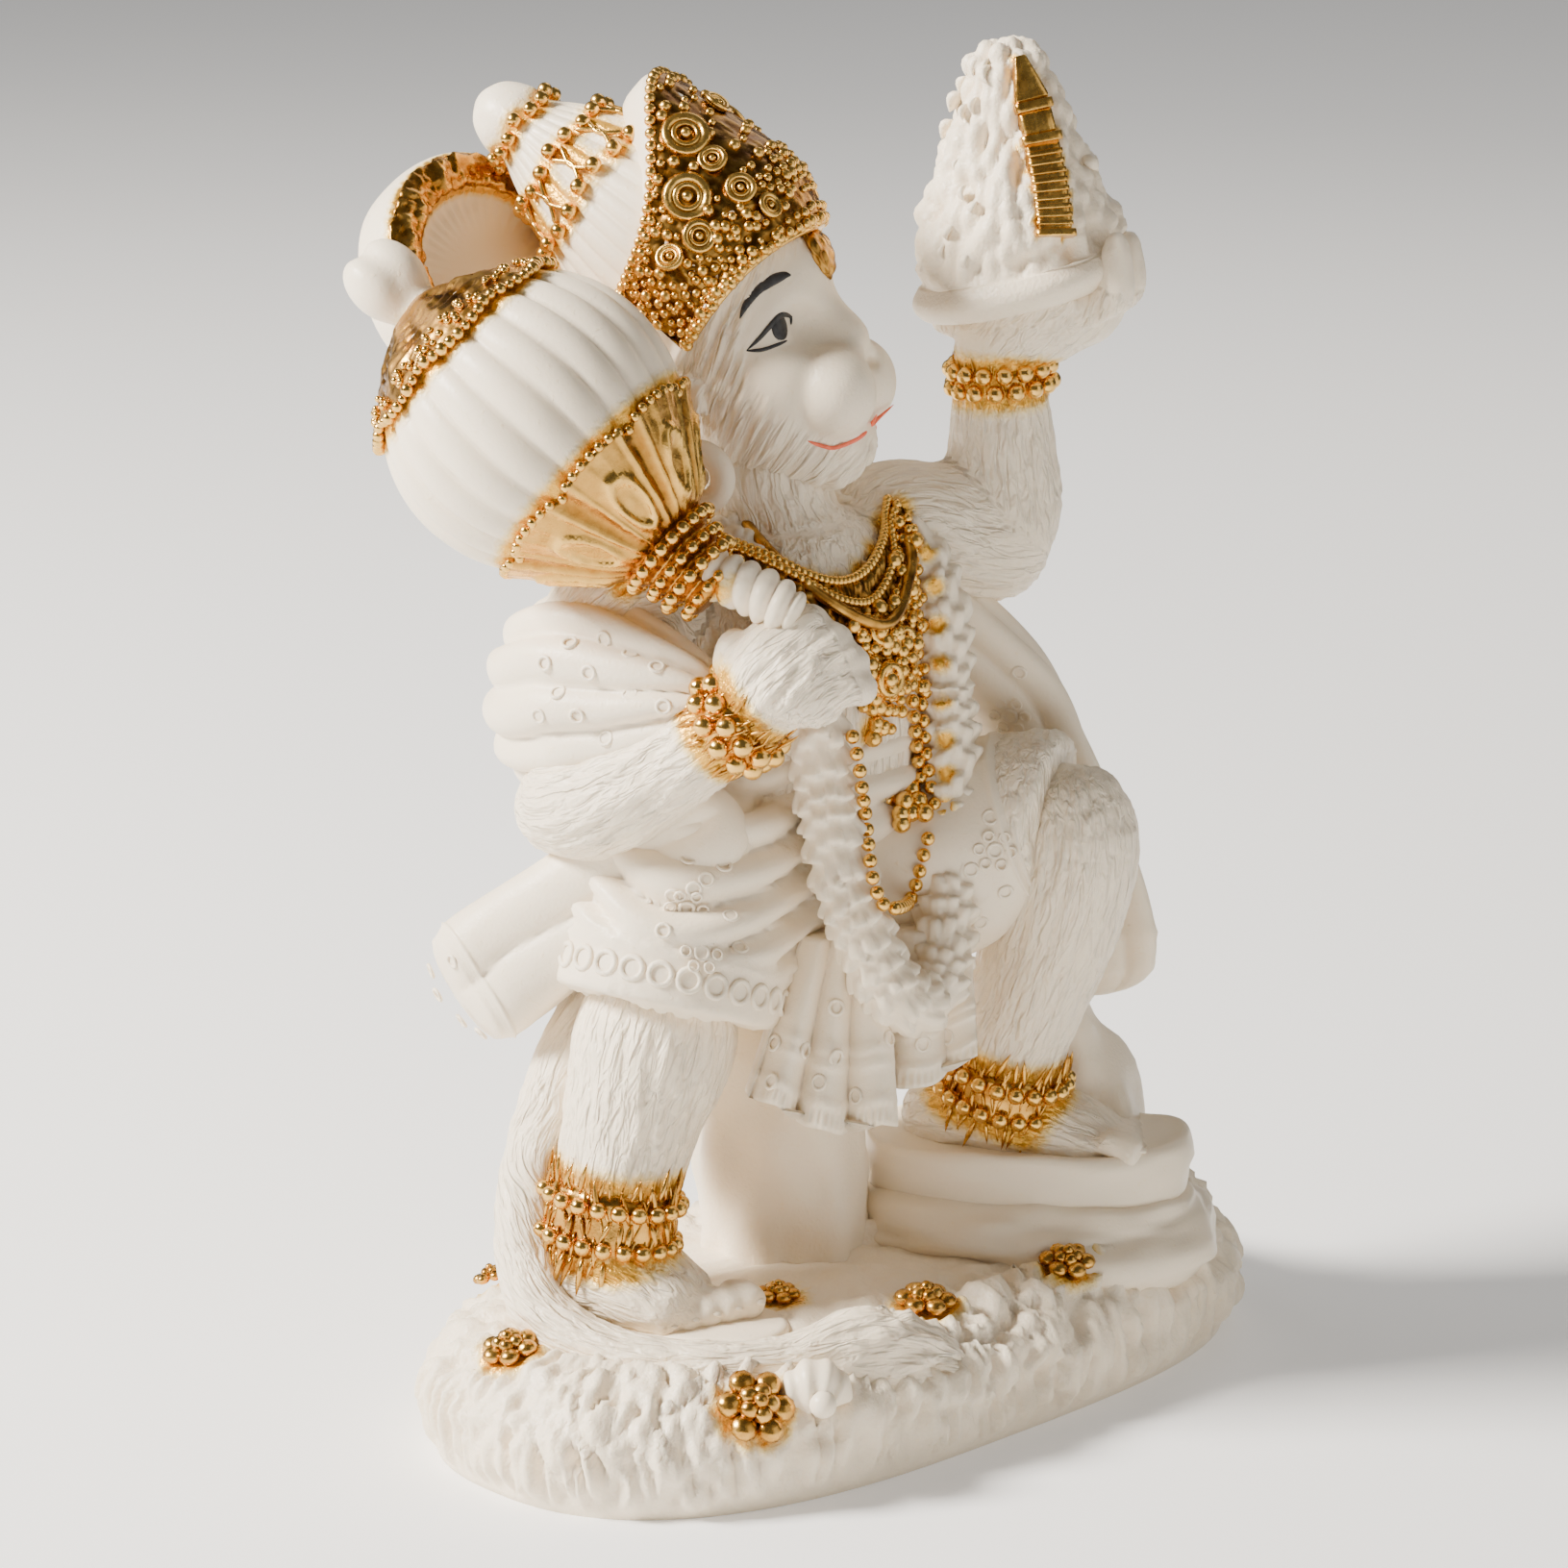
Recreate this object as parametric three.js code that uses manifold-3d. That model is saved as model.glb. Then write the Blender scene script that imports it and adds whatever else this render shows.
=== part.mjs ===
// A cast marble-resin Hanuman on a grassy oblong base, millimetres, +Z up.
// The figure looks towards -Y, its left side is +X, and the origin is the
// centre of the underside. The whole work is one casting, so it is one solid.

import * as THREE from 'three';
import { mergeVertices } from 'three/addons/utils/BufferGeometryUtils.js';
import Module from 'manifold-3d';

const wasm = await Module();
wasm.setup();

// Driving sizes

const BASE_LENGTH = 111;
const BASE_DEPTH = 60.4;
const BASE_HEIGHT = 15;
const BASE_SQUARENESS = 2.9;
const BASE_SQUARENESS_SKEW = 0.4;
const BASE_FOOT_INSET = 1.2;
const BASE_TUFT_RELIEF = 0.7;
const BASE_TUFTS = 13;
const FIGURE_HEIGHT = 145;

// The pose is drawn for a figure 145 high above the ground it stands on.
const POSE_HEIGHT = 145;
const UNIT = FIGURE_HEIGHT / POSE_HEIGHT;
const FIGURE_SHIFT = [1, -0.6];

const HEAD_TURN = 29;
const CROWN_LEAN = 56;
const HALO_LEAN = 31;
const DOME_RIBS = 8;
const HALO_RADIUS = 15.9 * UNIT;
const HALO_THICKNESS = 7.6 * UNIT;
const MACE_RADIUS = 16.9 * UNIT;
const MACE_RIBS = 12;
const HANDLE_RADIUS = 2.9 * UNIT;
const GARLAND_PETALS = 16;
const CUFF_RELIEF = 1.5 * UNIT;
const TOES = 5;

// Points of the pose: x, y and height above the ground, for POSE_HEIGHT

const HEAD = [-6.5, 10.1, 108.8];
const GRIP = [-23.6, -15.6, 79.3];
const MACE_HEAD = [-38, 11.2, 105.1];
const HALO = [-25.9, 30.4, 118.7];
const HILL_FOOT = [26.6, -3.0, 114.0];
const HILL_TOP = [24.9, -1.0, 144];

// Helpers

const radians = THREE.MathUtils.degToRad;

function place([x, y, z]) {
  return new THREE.Vector3(x * UNIT + FIGURE_SHIFT[0], y * UNIT + FIGURE_SHIFT[1], BASE_HEIGHT + z * UNIT);
}

// A closed geometry becomes a solid once its shared corners are merged and
// the triangles that shrank to a line at its poles are gone.
function solid(geometry) {
  const bare = geometry.clone();
  bare.deleteAttribute('normal');
  bare.deleteAttribute('uv');
  const merged = mergeVertices(bare, 1e-4);
  const triangles = [];
  for (let i = 0; i < merged.index.count; i += 3) {
    const [a, b, c] = [0, 1, 2].map((k) => merged.index.getX(i + k));
    if (a !== b && b !== c && c !== a) triangles.push(a, b, c);
  }
  return new wasm.Manifold(new wasm.Mesh({
    numProp: 3,
    vertProperties: new Float32Array(merged.attributes.position.array),
    triVerts: new Uint32Array(triangles),
  }));
}

// Moves every corner of a geometry by a rule.
function reshape(geometry, rule) {
  const position = geometry.attributes.position;
  const point = new THREE.Vector3();
  for (let i = 0; i < position.count; i += 1) {
    point.fromBufferAttribute(position, i);
    point.copy(rule(point));
    position.setXYZ(i, point.x, point.y, point.z);
  }
  return geometry;
}

const plain = () => 1;

// A sphere drawn out along a smooth path. Each row of the table is x, y, z,
// the half width along `side` and the half depth across it. A `blunt` above
// ROUND_END gives the flat ends of hanging cloth.
const ROUND_END = 5;
function limb(rows, { side = [1, 0, 0], sides = 10, rings = 8, relief = plain, blunt = ROUND_END } = {}) {
  const path = new THREE.CatmullRomCurve3(rows.map(place), false, 'catmullrom', 0.5);
  const sizes = new THREE.CatmullRomCurve3(
    rows.map((row) => new THREE.Vector3(row[3], row[4], 0).multiplyScalar(UNIT)), false, 'catmullrom', 0.5);
  const sideways = new THREE.Vector3(...side);
  return solid(reshape(new THREE.SphereGeometry(1, sides, rings), (p) => {
    const even = Math.acos(THREE.MathUtils.clamp(-p.y, -1, 1)) / Math.PI;
    const t = blunt > ROUND_END ? 0.5 + 0.5 * Math.sin(0.5 * Math.PI * p.y) : 0.5 * even + 0.25 * (1 + p.y);
    const phi = Math.atan2(p.z, p.x);
    const open = Math.hypot(p.x, p.z) < 1e-6 ? 0 : Math.sqrt(1 - Math.abs(2 * t - 1) ** blunt);
    const along = path.getTangent(t);
    const across = sideways.clone().addScaledVector(along, -sideways.dot(along)).normalize();
    const deep = new THREE.Vector3().crossVectors(across, along);
    const size = sizes.getPoint(t).multiplyScalar(open * relief(t, phi));
    return path.getPoint(t).addScaledVector(across, size.x * Math.cos(phi))
      .addScaledVector(deep, size.y * Math.sin(phi));
  }));
}

// The same for a path that closes on itself, such as the garland.
function loop(rows, { sides = 6, steps = 60, relief = plain, outward = [0, -1, 0] } = {}) {
  const path = new THREE.CatmullRomCurve3(rows.map(place), true, 'catmullrom', 0.5);
  const sizes = new THREE.CatmullRomCurve3(
    rows.map((row) => new THREE.Vector3(row[3], row[4], 0).multiplyScalar(UNIT)), true, 'catmullrom', 0.5);
  const away = new THREE.Vector3(...outward);
  const ring = 2;
  return solid(reshape(new THREE.TorusGeometry(ring, 1, sides, steps), (p) => {
    const t = (Math.atan2(p.y, p.x) / (2 * Math.PI) + 1) % 1;
    const phi = Math.atan2(p.z, Math.hypot(p.x, p.y) - ring);
    const along = path.getTangent(t);
    const deep = away.clone().addScaledVector(along, -away.dot(along)).normalize();
    const across = new THREE.Vector3().crossVectors(along, deep);
    const size = sizes.getPoint(t).multiplyScalar(relief(t, phi));
    return path.getPoint(t).addScaledVector(across, size.x * Math.cos(phi))
      .addScaledVector(deep, size.y * Math.sin(phi));
  }));
}

// A frame of three square axes; points are given along them from an origin.
function frame(origin, first, second, third) {
  return (a, b, c) => origin.clone().addScaledVector(first, a)
    .addScaledVector(second, b).addScaledVector(third, c);
}

// An egg in a frame: centre and three half sizes in pose millimetres.
function egg(spot, centre, sizes, { sides = 12, rings = 8 } = {}) {
  return solid(reshape(new THREE.SphereGeometry(1, sides, rings), (p) => spot(
    (centre[0] + p.x * sizes[0]) * UNIT,
    (centre[1] - p.z * sizes[1]) * UNIT,
    (centre[2] + p.y * sizes[2]) * UNIT)));
}

function lathe(profile, sides) {
  return new THREE.LatheGeometry(profile.map(([r, h]) => new THREE.Vector2(r, h)), sides);
}

// A turned form along an axis: profile points are radius and distance.
// `relief` scales the radius and `rise` shifts a point along the axis.
function turned(origin, axis, front, profile, { sides = 24, relief = plain, rise = () => 0 } = {}) {
  const third = new THREE.Vector3().crossVectors(axis, front).normalize();
  return solid(reshape(lathe(profile, sides), (p) => {
    const phi = Math.atan2(p.x, p.z);
    const radius = Math.hypot(p.x, p.z);
    const scaled = radius < 1e-6 ? 0 : radius * relief(phi, p.y);
    return origin.clone().addScaledVector(axis, p.y + (radius < 1e-6 ? 0 : rise(phi, p.y)))
      .addScaledVector(front, scaled * Math.cos(phi)).addScaledVector(third, scaled * Math.sin(phi));
  }));
}

// A jewelled cuff round a limb, with a raised rim of beads at either end.
function cuff(centre, axis, across, deep, height, { side = [1, 0, 0], sides = 8 } = {}) {
  const up = new THREE.Vector3(...axis).normalize();
  const first = new THREE.Vector3(...side).projectOnPlane(up).normalize();
  const second = new THREE.Vector3().crossVectors(up, first);
  const origin = place(centre);
  const half = height * UNIT / 2;
  const rim = CUFF_RELIEF;
  const hide = 1.5 * UNIT;
  const rimHeight = half - 0.3 * rim;
  const profile = [[-hide, -half], [rim, -rimHeight], [0.4 * rim, 0], [rim, rimHeight], [-hide, half]];
  const core = 100;
  const points = [[0, -half], ...profile.map(([r, h]) => [core + r, h]), [0, half]];
  return solid(reshape(lathe(points, sides), (p) => {
    const turn = Math.atan2(p.z, p.x);
    const ring = Math.hypot(p.x, p.z);
    const share = ring < 1 ? 0 : 1;
    return origin.clone().addScaledVector(first, share * (across * UNIT + ring - core) * Math.cos(turn))
      .addScaledVector(second, -share * (deep * UNIT + ring - core) * Math.sin(turn))
      .addScaledVector(up, p.y);
  }));
}

const ridges = (count, depth, start = 0) => (t, phi) => 1 + depth * Math.cos(count * phi + start);

// Base: a mound on an oblong outline, with tufts of grass round its side

function oblong(turn, halfLength, halfDepth, squareness) {
  const c = Math.cos(turn);
  const s = Math.sin(turn);
  const reach = (Math.abs(c) ** squareness + Math.abs(s) ** squareness) ** (-1 / squareness);
  return [halfLength * c * reach, halfDepth * s * reach];
}

// A low slab on an oblong outline; profile points are inset and height.
function slab(centre, halfLength, halfDepth, turn, profile, options = {}) {
  const { sides = 24, squareness = 2.4, skew = 0, wave = plain } = options;
  const wall = profile.map(([inset, z]) => [100 - inset, z]);
  const points = [[0, profile[0][1]], ...wall, [0, profile.at(-1)[1]]];
  return solid(reshape(lathe(points, sides), (p) => {
    const radius = Math.hypot(p.x, p.z);
    const angle = Math.atan2(p.x, p.z);
    const inset = radius < 1e-6 ? 0 : 100 - radius;
    const [x, y] = radius < 1e-6 ? [0, 0] : oblong(angle, halfLength - inset, halfDepth - inset,
      squareness + skew * Math.cos(angle));
    const swell = radius < 1e-6 ? 1 : wave(angle, p.y);
    return new THREE.Vector3(
      centre[0] + (x * Math.cos(turn) - y * Math.sin(turn)) * swell,
      centre[1] + (x * Math.sin(turn) + y * Math.cos(turn)) * swell,
      p.y);
  }));
}

function base() {
  const shoulder = BASE_HEIGHT;
  const profile = [
    [BASE_FOOT_INSET, 0], [0, 0.3 * shoulder], [0.3, 0.58 * shoulder],
    [2.8, 0.84 * shoulder], [8, shoulder], [17, 1.04 * shoulder],
  ];
  const wave = (angle, z) => (z > 0.1 * shoulder && z < 0.95 * shoulder
    ? 1 + (BASE_TUFT_RELIEF / BASE_DEPTH) * Math.cos(BASE_TUFTS * angle + z) : 1);
  return [slab([0, 0], BASE_LENGTH / 2, BASE_DEPTH / 2, 0, profile,
    { sides: 2 * BASE_TUFTS, squareness: BASE_SQUARENESS, skew: BASE_SQUARENESS_SKEW, wave })];
}

// Flowers that lie on the grass: x, y, height above the ground, radius, tilt
const FLOWERS = [
  [-41.5, 12.5, -4.4, 3.4, 45], [-36.5, -21.5, -4.2, 4.4, 50], [-17.5, -7.7, 1.0, 2.6, 10],
  [-5.7, -20.5, -0.4, 3.2, 35], [17.0, -24.0, -1.2, 3.2, 45], [-35.8, 23.0, -3.2, 2.4, 40],
];

function flowers() {
  return FLOWERS.map(([x, y, z, radius, tilt]) => {
    const outward = new THREE.Vector3(x * 0.4, y, 0).normalize();
    const axis = outward.clone().multiplyScalar(Math.sin(radians(tilt)))
      .add(new THREE.Vector3(0, 0, Math.cos(radians(tilt))));
    const front = new THREE.Vector3(-outward.y, outward.x, 0);
    const r = radius * UNIT;
    return turned(place([x, y, z]), axis, front, [[0, -r], [r, 0], [0, 0.5 * r]], { sides: 6 });
  });
}

// Rocks: two flat courses and a boulder under the raised foot, and a pillar
// that backs the hem between the legs

function rocks() {
  const foot = place([23.5, -8, 0]).toArray();
  const swing = radians(-52);
  const high = (z) => BASE_HEIGHT + z * UNIT;
  const upper = [[1, high(4)], [0, high(9.2)], [1.4, high(10.8)]];
  const lower = [[1.4, high(-4)], [0, high(2.6)], [3, high(6.4)]];
  const boulder = [[33, -4, -4, 14, 13], [33.2, -4.5, 10, 11.4, 11], [31, -4, 20, 7.6, 8.6],
    [28.6, -2, 28, 6, 7.2], [27.6, -1, 32, 5, 6]];
  const pillar = [[-3, 7, -6, 11, 10], [-3, 7, 6, 10.5, 9.5], [-3, 7, 18, 9.8, 9.3], [-3, 6, 32, 11, 10]];
  const rugged = (t, phi) => 1 + 0.05 * Math.cos(3 * phi + 7 * t) + 0.04 * Math.cos(5 * phi - 9 * t);
  return [
    slab(foot, 20.2 * UNIT, 11.5 * UNIT, swing, upper, { sides: 12 }),
    slab(foot, 23 * UNIT, 15.4 * UNIT, swing, lower, { sides: 12 }),
    limb(boulder, { sides: 8, rings: 5, relief: rugged }),
    limb(pillar, { sides: 8, rings: 4, relief: rugged }),
  ];
}

// Legs and feet

const RIGHT_LEG = [[-23, 4, 43, 9, 9], [-26.5, 4, 33, 10, 9.6], [-30, 4.3, 24, 8.2, 8.3],
  [-32.8, 4.2, 16, 7.2, 7.4], [-34.3, 4.3, 9, 6.9, 7.4], [-34.8, 5, 2, 7.2, 8]];
const LEFT_SHIN = [[20.4, -15.4, 60.6, 7, 7], [21.2, -17.4, 53, 7.9, 8], [21, -15.8, 44, 7.5, 8],
  [20.5, -12, 34, 7.1, 7.6], [20, -8.5, 25, 6.5, 7.1], [20, -6.8, 17, 6.6, 7.2], [20, -6, 10, 7, 7.6]];

// Each foot runs from the heel to the ball, with its toes in a fan.
function foot(rows, across, bigToe, littleToe, forward) {
  const parts = [limb(rows, { side: across, sides: 8, rings: 5 })];
  for (let i = 0; i < TOES; i += 1) {
    const share = i / (TOES - 1);
    const tip = bigToe.map((value, k) => value + (littleToe[k] - value) * share);
    const size = 2.1 - 0.7 * share;
    const root = [tip[0] - forward[0] * 6, tip[1] - forward[1] * 6, tip[2] + 1.6];
    const middle = [tip[0] - forward[0] * 2.4, tip[1] - forward[1] * 2.4, tip[2] + 0.9];
    parts.push(limb([[...root, size, size], [...middle, size, size], [...tip, size, size * 0.8]],
      { side: across, sides: 5, rings: 3, blunt: 3 }));
  }
  return parts;
}

function legs() {
  const rightFoot = [[-35.6, 13, 4.6, 5.4, 4.4], [-35.2, 8, 5.4, 6.8, 6.4], [-33.8, 1.5, 5.2, 7, 6],
    [-31.6, -4.5, 3.4, 6.6, 3.8], [-30, -9, 1.6, 5.6, 2.4]];
  const leftFoot = [[16.6, 5.6, 13, 5.2, 4.4], [18.4, 0, 14, 6.6, 6.4], [22, -7.5, 14.2, 6.9, 6],
    [26.6, -15.5, 12.6, 6.5, 4.2], [29.4, -20, 11.2, 5.6, 2.8]];
  return [
    limb(RIGHT_LEG, { sides: 9, rings: 5 }),
    limb(LEFT_SHIN, { sides: 8, rings: 7 }),
    ...foot(rightFoot, [1, 0.2, 0], [-24.6, -11.4, 2.2], [-35.2, -8.2, 1.4], [0.18, -0.98]),
    ...foot(leftFoot, [0.88, 0.47, 0], [26.2, -24.6, 12], [34.4, -17.6, 11.4], [0.5, -0.87]),
  ];
}

function anklets() {
  return [
    cuff([-33.9, 4.3, 12.2], [0.14, -0.06, 0.99], 7.2, 7.6, 8.4),
    cuff([20, -7.2, 19.4], [0.03, -0.26, 0.96], 6.8, 7.4, 7.6),
  ];
}

// Cloth about the hips: the wrap, the two thighs and the pleats between them

const TRUNK = [[-6, 6, 31, 9, 7], [-6, 6, 37, 17, 12.5], [-5, 6, 45, 17, 13], [-4, 5.5, 53, 15.5, 12.6],
  [-3.2, 4.2, 63, 16.2, 12.4], [-3.2, 3.8, 73, 17.6, 12.4], [-4, 4, 80, 18.5, 11], [-4, 4.5, 86, 13, 9],
  [-4.5, 5, 91, 7, 6.5]];

function hips() {
  const start = place([-17, 5.6, 56]);
  const end = place([-25.6, 4, 34.8]);
  const axis = end.clone().sub(start);
  const reach = axis.length();
  axis.normalize();
  const r = 13 * UNIT;
  const skirt = [[0, 0], [0.7 * r, 0], [0.95 * r, 0.4 * reach], [r, 0.78 * reach], [1.05 * r, 0.8 * reach],
    [1.05 * r, reach], [0, reach]];
  const thigh = [[-2, 9, 46, 12, 12], [5, 4, 47, 13.4, 13], [12, -3.5, 49, 13, 12.4],
    [17.5, -10.4, 53, 10.8, 10.8], [20.2, -14.4, 54.2, 10, 10]];
  return [
    limb(TRUNK, { sides: 10, rings: 9 }),
    turned(start, axis, new THREE.Vector3(0, -1, 0).projectOnPlane(axis).normalize(), skirt,
      { sides: 12, relief: (phi, h) => 1 + 0.03 * Math.cos(4 * phi) * (h / reach) }),
    limb(thigh, { side: [0, 0, 1], sides: 11, rings: 6 }),
  ];
}

// A fan of pleats: a box whose front and back carry the same waves.
function pleats(top, topHalf, bottom, bottomHalf, thickness, count, depth) {
  const high = place(top);
  const low = place(bottom);
  const sideways = new THREE.Vector3(0.82, -0.57, 0).normalize();
  const outward = new THREE.Vector3(-0.57, -0.82, 0).normalize();
  return solid(reshape(new THREE.BoxGeometry(1, 1, 1, count * 2, 1, 2), (p) => {
    const down = 0.5 - p.z;
    const half = (topHalf + (bottomHalf - topHalf) * down) * UNIT;
    const wave = depth * UNIT * (0.35 + 0.65 * down) * Math.cos(2 * Math.PI * count * p.x);
    return high.clone().lerp(low, down).addScaledVector(sideways, 2 * p.x * half)
      .addScaledVector(outward, wave - p.y * thickness * UNIT)
      .add(new THREE.Vector3(0, 0, -1.2 * UNIT * down * Math.cos(2 * Math.PI * p.x)));
  }));
}

// Shawl: over the right arm with its free end behind, and down from the left

const SHAWL_ARM = [[-26.5, -9, 74, 3.6, 3.2], [-29, -3, 74, 7, 5], [-30.8, 4, 73.6, 10.2, 6.6],
  [-31.8, 11, 72.8, 11.4, 7.8], [-31.6, 17.6, 70.6, 10, 6.8], [-27, 20.6, 69.4, 7, 5]];
const SHAWL_END = [[-22, -5, 60.6, 5, 3.4], [-27, 2, 54.4, 7, 4.4], [-33, 12, 46.4, 7.4, 4.8],
  [-38, 20.5, 38.8, 7.9, 5.2], [-41.8, 27, 33.4, 7.9, 5.2]];
const SHAWL_LEFT = [[9, 9, 84, 8, 5], [15.8, 6.2, 78, 8.6, 5.4], [25.2, 2.4, 67.4, 10.4, 5.2],
  [29, -1, 57, 11, 4],  [33, -5.4, 43, 11, 3.6], [34.4, -8.4, 27.4, 12, 3.6]];
const SHAWL_BACK = [[-31, 13, 82, 8, 5], [-22, 17.5, 74, 9, 4], [-8, 19.5, 67, 9.5, 4], [6, 18.5, 67, 9.5, 4],
  [17, 14, 73, 9, 4], [24, 6, 80, 7, 4]];

function shawl() {
  return [
    limb(SHAWL_ARM, { side: [0, 0, 1], sides: 12, rings: 5, relief: ridges(6, 0.05) }),
    limb(SHAWL_END, { side: [0, 0, 1], sides: 10, rings: 5, relief: ridges(5, 0.06), blunt: 8 }),
    limb(SHAWL_LEFT, { side: [0.1, -1, 0.1], sides: 10, rings: 6, relief: ridges(5, 0.06), blunt: 12 }),
    limb(SHAWL_BACK, { side: [0, 0, 1], sides: 8, rings: 5, relief: ridges(4, 0.05) }),
  ];
}

// Arms and hands

const RIGHT_FOREARM = [[-32.5, 17, 61.5, 6, 6], [-33, 11.5, 60.4, 7.2, 7.2], [-32.4, 4, 62.6, 6.6, 6.8],
  [-30, -4, 67.5, 5.4, 5.6], [-27.4, -10.8, 72.6, 4.6, 4.8], [-25.5, -14.5, 76.5, 4.4, 4.6]];
const RIGHT_UPPER_ARM = [[-17, 6, 84, 7, 7], [-25, 9, 83, 8, 8], [-31, 12, 74, 7.4, 7.4],
  [-33, 13, 64, 6, 6]];
const RIGHT_FIST = [[-27, -12, 75, 4.6, 4.4], [-25.6, -14.6, 78.4, 6.4, 5.2], [-24, -17, 81, 5.4, 4.6],
  [-22.6, -18.6, 82.4, 3, 3]];
const LEFT_PALM = [[25, -1, 107, 5, 5], [24.6, -1.6, 110, 8, 7], [24.6, -2.4, 112.4, 11.4, 9.6],
  [25, -3, 114.4, 10, 9]];
const LEFT_UPPER_ARM = [[4, 6, 86, 8, 8], [12, 4, 87.4, 8, 7.8], [19, 1.6, 85.6, 7.8, 7],
  [25.6, -1, 84, 6.8, 6.2], [29.6, -1.6, 84.4, 4.6, 4.6]];
const LEFT_FOREARM = [[26.8, -1.2, 80, 4.6, 4.6], [26.4, -1, 86, 6.6, 6.6], [25.8, -0.8, 93, 6.7, 6.6],
  [25.4, -0.6, 100.5, 6, 5.8], [25.2, -0.6, 107, 5.5, 5.3], [25.4, -1, 111, 5.4, 5]];

// A finger bends at one joint, from knuckle to tip.
function finger(knuckle, joint, tip, size) {
  return limb([[...knuckle, size, size], [...joint, size, size], [...tip, size * 0.85, size * 0.85]],
    { side: [0.3, 0.4, 0.85], sides: 4, rings: 4, blunt: 3 });
}

function arms() {
  const parts = [
    limb(RIGHT_UPPER_ARM, { sides: 8, rings: 4 }),
    limb(RIGHT_FOREARM, { side: [1, 0, 0.2], sides: 8, rings: 6 }),
    limb(LEFT_UPPER_ARM, { side: [0, 0, 1], sides: 9, rings: 5 }),
    limb(LEFT_FOREARM, { sides: 8, rings: 6 }),
    limb(RIGHT_FIST, { side: [0.5, 0.1, -0.8], sides: 7, rings: 4 }),
    limb(LEFT_PALM, { sides: 8, rings: 5 }),
  ];
  for (let i = 0; i < 4; i += 1) {
    const knuckle = [-22.6 + 0.7 * i, -18.4 - 0.9 * i, 84 - 2.9 * i];
    const joint = [-20 + 0.7 * i, -20 - 0.9 * i, 84.4 - 2.9 * i];
    const tip = [-18.8 + 0.9 * i, -17.4 - 0.8 * i, 84.2 - 3 * i];
    parts.push(finger(knuckle, joint, tip, 1.75));
    const turn = radians(-74 + 27 * i);
    const spot = (reach, z) => [24.6 + reach * Math.cos(turn), -3 + reach * Math.sin(turn), z];
    parts.push(finger(spot(7, 112), spot(12.4, 116), spot(13.2, 122.6 - 0.7 * i), 1.9));
  }
  parts.push(finger([-28, -13.6, 78], [-29, -14, 81.4], [-27.8, -12.6, 84.4], 2));
  parts.push(finger([22, 5, 110.6], [19.6, 9, 112.6], [19, 10.4, 117], 2));
  return parts;
}

function bracelets() {
  return [
    cuff([-27.5, -10.6, 72.5], [0.27, -0.76, 0.58], 4.9, 5.1, 5.6),
    cuff([25.6, -0.6, 104.4], [-0.1, 0, 1], 5.3, 5.3, 4.6),
  ];
}

// Head: skull, jaw, muzzle, ears and rings in its own turned frame

const forward = new THREE.Vector3(Math.sin(radians(HEAD_TURN)), -Math.cos(radians(HEAD_TURN)), 0);
const leftward = new THREE.Vector3(Math.cos(radians(HEAD_TURN)), Math.sin(radians(HEAD_TURN)), 0);
const upward = new THREE.Vector3(0, 0, 1);

const NECK = [[-4, 5, 80, 8, 8], [-4.3, 5.5, 86, 7.6, 7.6], [-5.4, 7.6, 93, 7.6, 7.6],
  [-6, 8.6, 101, 8, 8]];
// The ridge of the nose: forward, leftward and up from the head's centre
const NOSE = [[6.6, 0, 6.8, 2.2, 2.4], [9.4, 0, 4.6, 2.3, 2.6], [12.4, 0, 2, 2.6, 2.8],
  [13, 0, -0.2, 2.4, 2.2]];

function head() {
  const spot = frame(place(HEAD), forward, leftward, upward);
  const parts = [
    limb(NECK, { sides: 9, rings: 4 }),
    egg(spot, [-0.6, 0, 4.4], [10.6, 10.5, 12.4], { sides: 12, rings: 7 }),
    egg(spot, [3.4, 0, -4.6], [10.6, 9.9, 10.4], { sides: 10, rings: 6 }),
    egg(spot, [10.6, 0, -9.2], [5.2, 5.6, 6.0], { sides: 8, rings: 4 }),
    headLimb(NOSE),
    egg(spot, [6.6, 0, 9.6], [3.6, 5.4, 5.6], { sides: 8, rings: 5 }),
  ];
  for (const hand of [-1, 1]) {
    parts.push(egg(spot, [12.4, 4 * hand, -3.2], [4.4, 4.4, 4.6], { sides: 7, rings: 5 }));
    parts.push(egg(spot, [-4.2, 10.2 * hand, -4.6], [2.8, 1.9, 4.8], { sides: 6, rings: 4 }));
    parts.push(earRing(spot(-2.2 * UNIT, 10.6 * hand * UNIT, -12.6 * UNIT)));
  }
  return parts;
}

// A short limb whose rows are given in the head's frame.
function headLimb(rows) {
  const inPose = frame(new THREE.Vector3(...HEAD), forward, leftward, upward);
  const inPlace = rows.map(([a, b, c, across, deep]) => [...inPose(a, b, c).toArray(), across, deep]);
  return limb(inPlace, { side: leftward.toArray(), sides: 7, rings: 5, blunt: 3 });
}

// A plain thick hoop that faces sideways.
function earRing(centre) {
  const hoop = new THREE.TorusGeometry(2.6 * UNIT, 1.4 * UNIT, 4, 8);
  return solid(reshape(hoop, (p) => centre.clone().addScaledVector(forward, p.x)
    .addScaledVector(upward, p.y).addScaledVector(leftward, -p.z)));
}

// Crown: ribbed dome with a bud, and a tall plate across the brow

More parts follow.
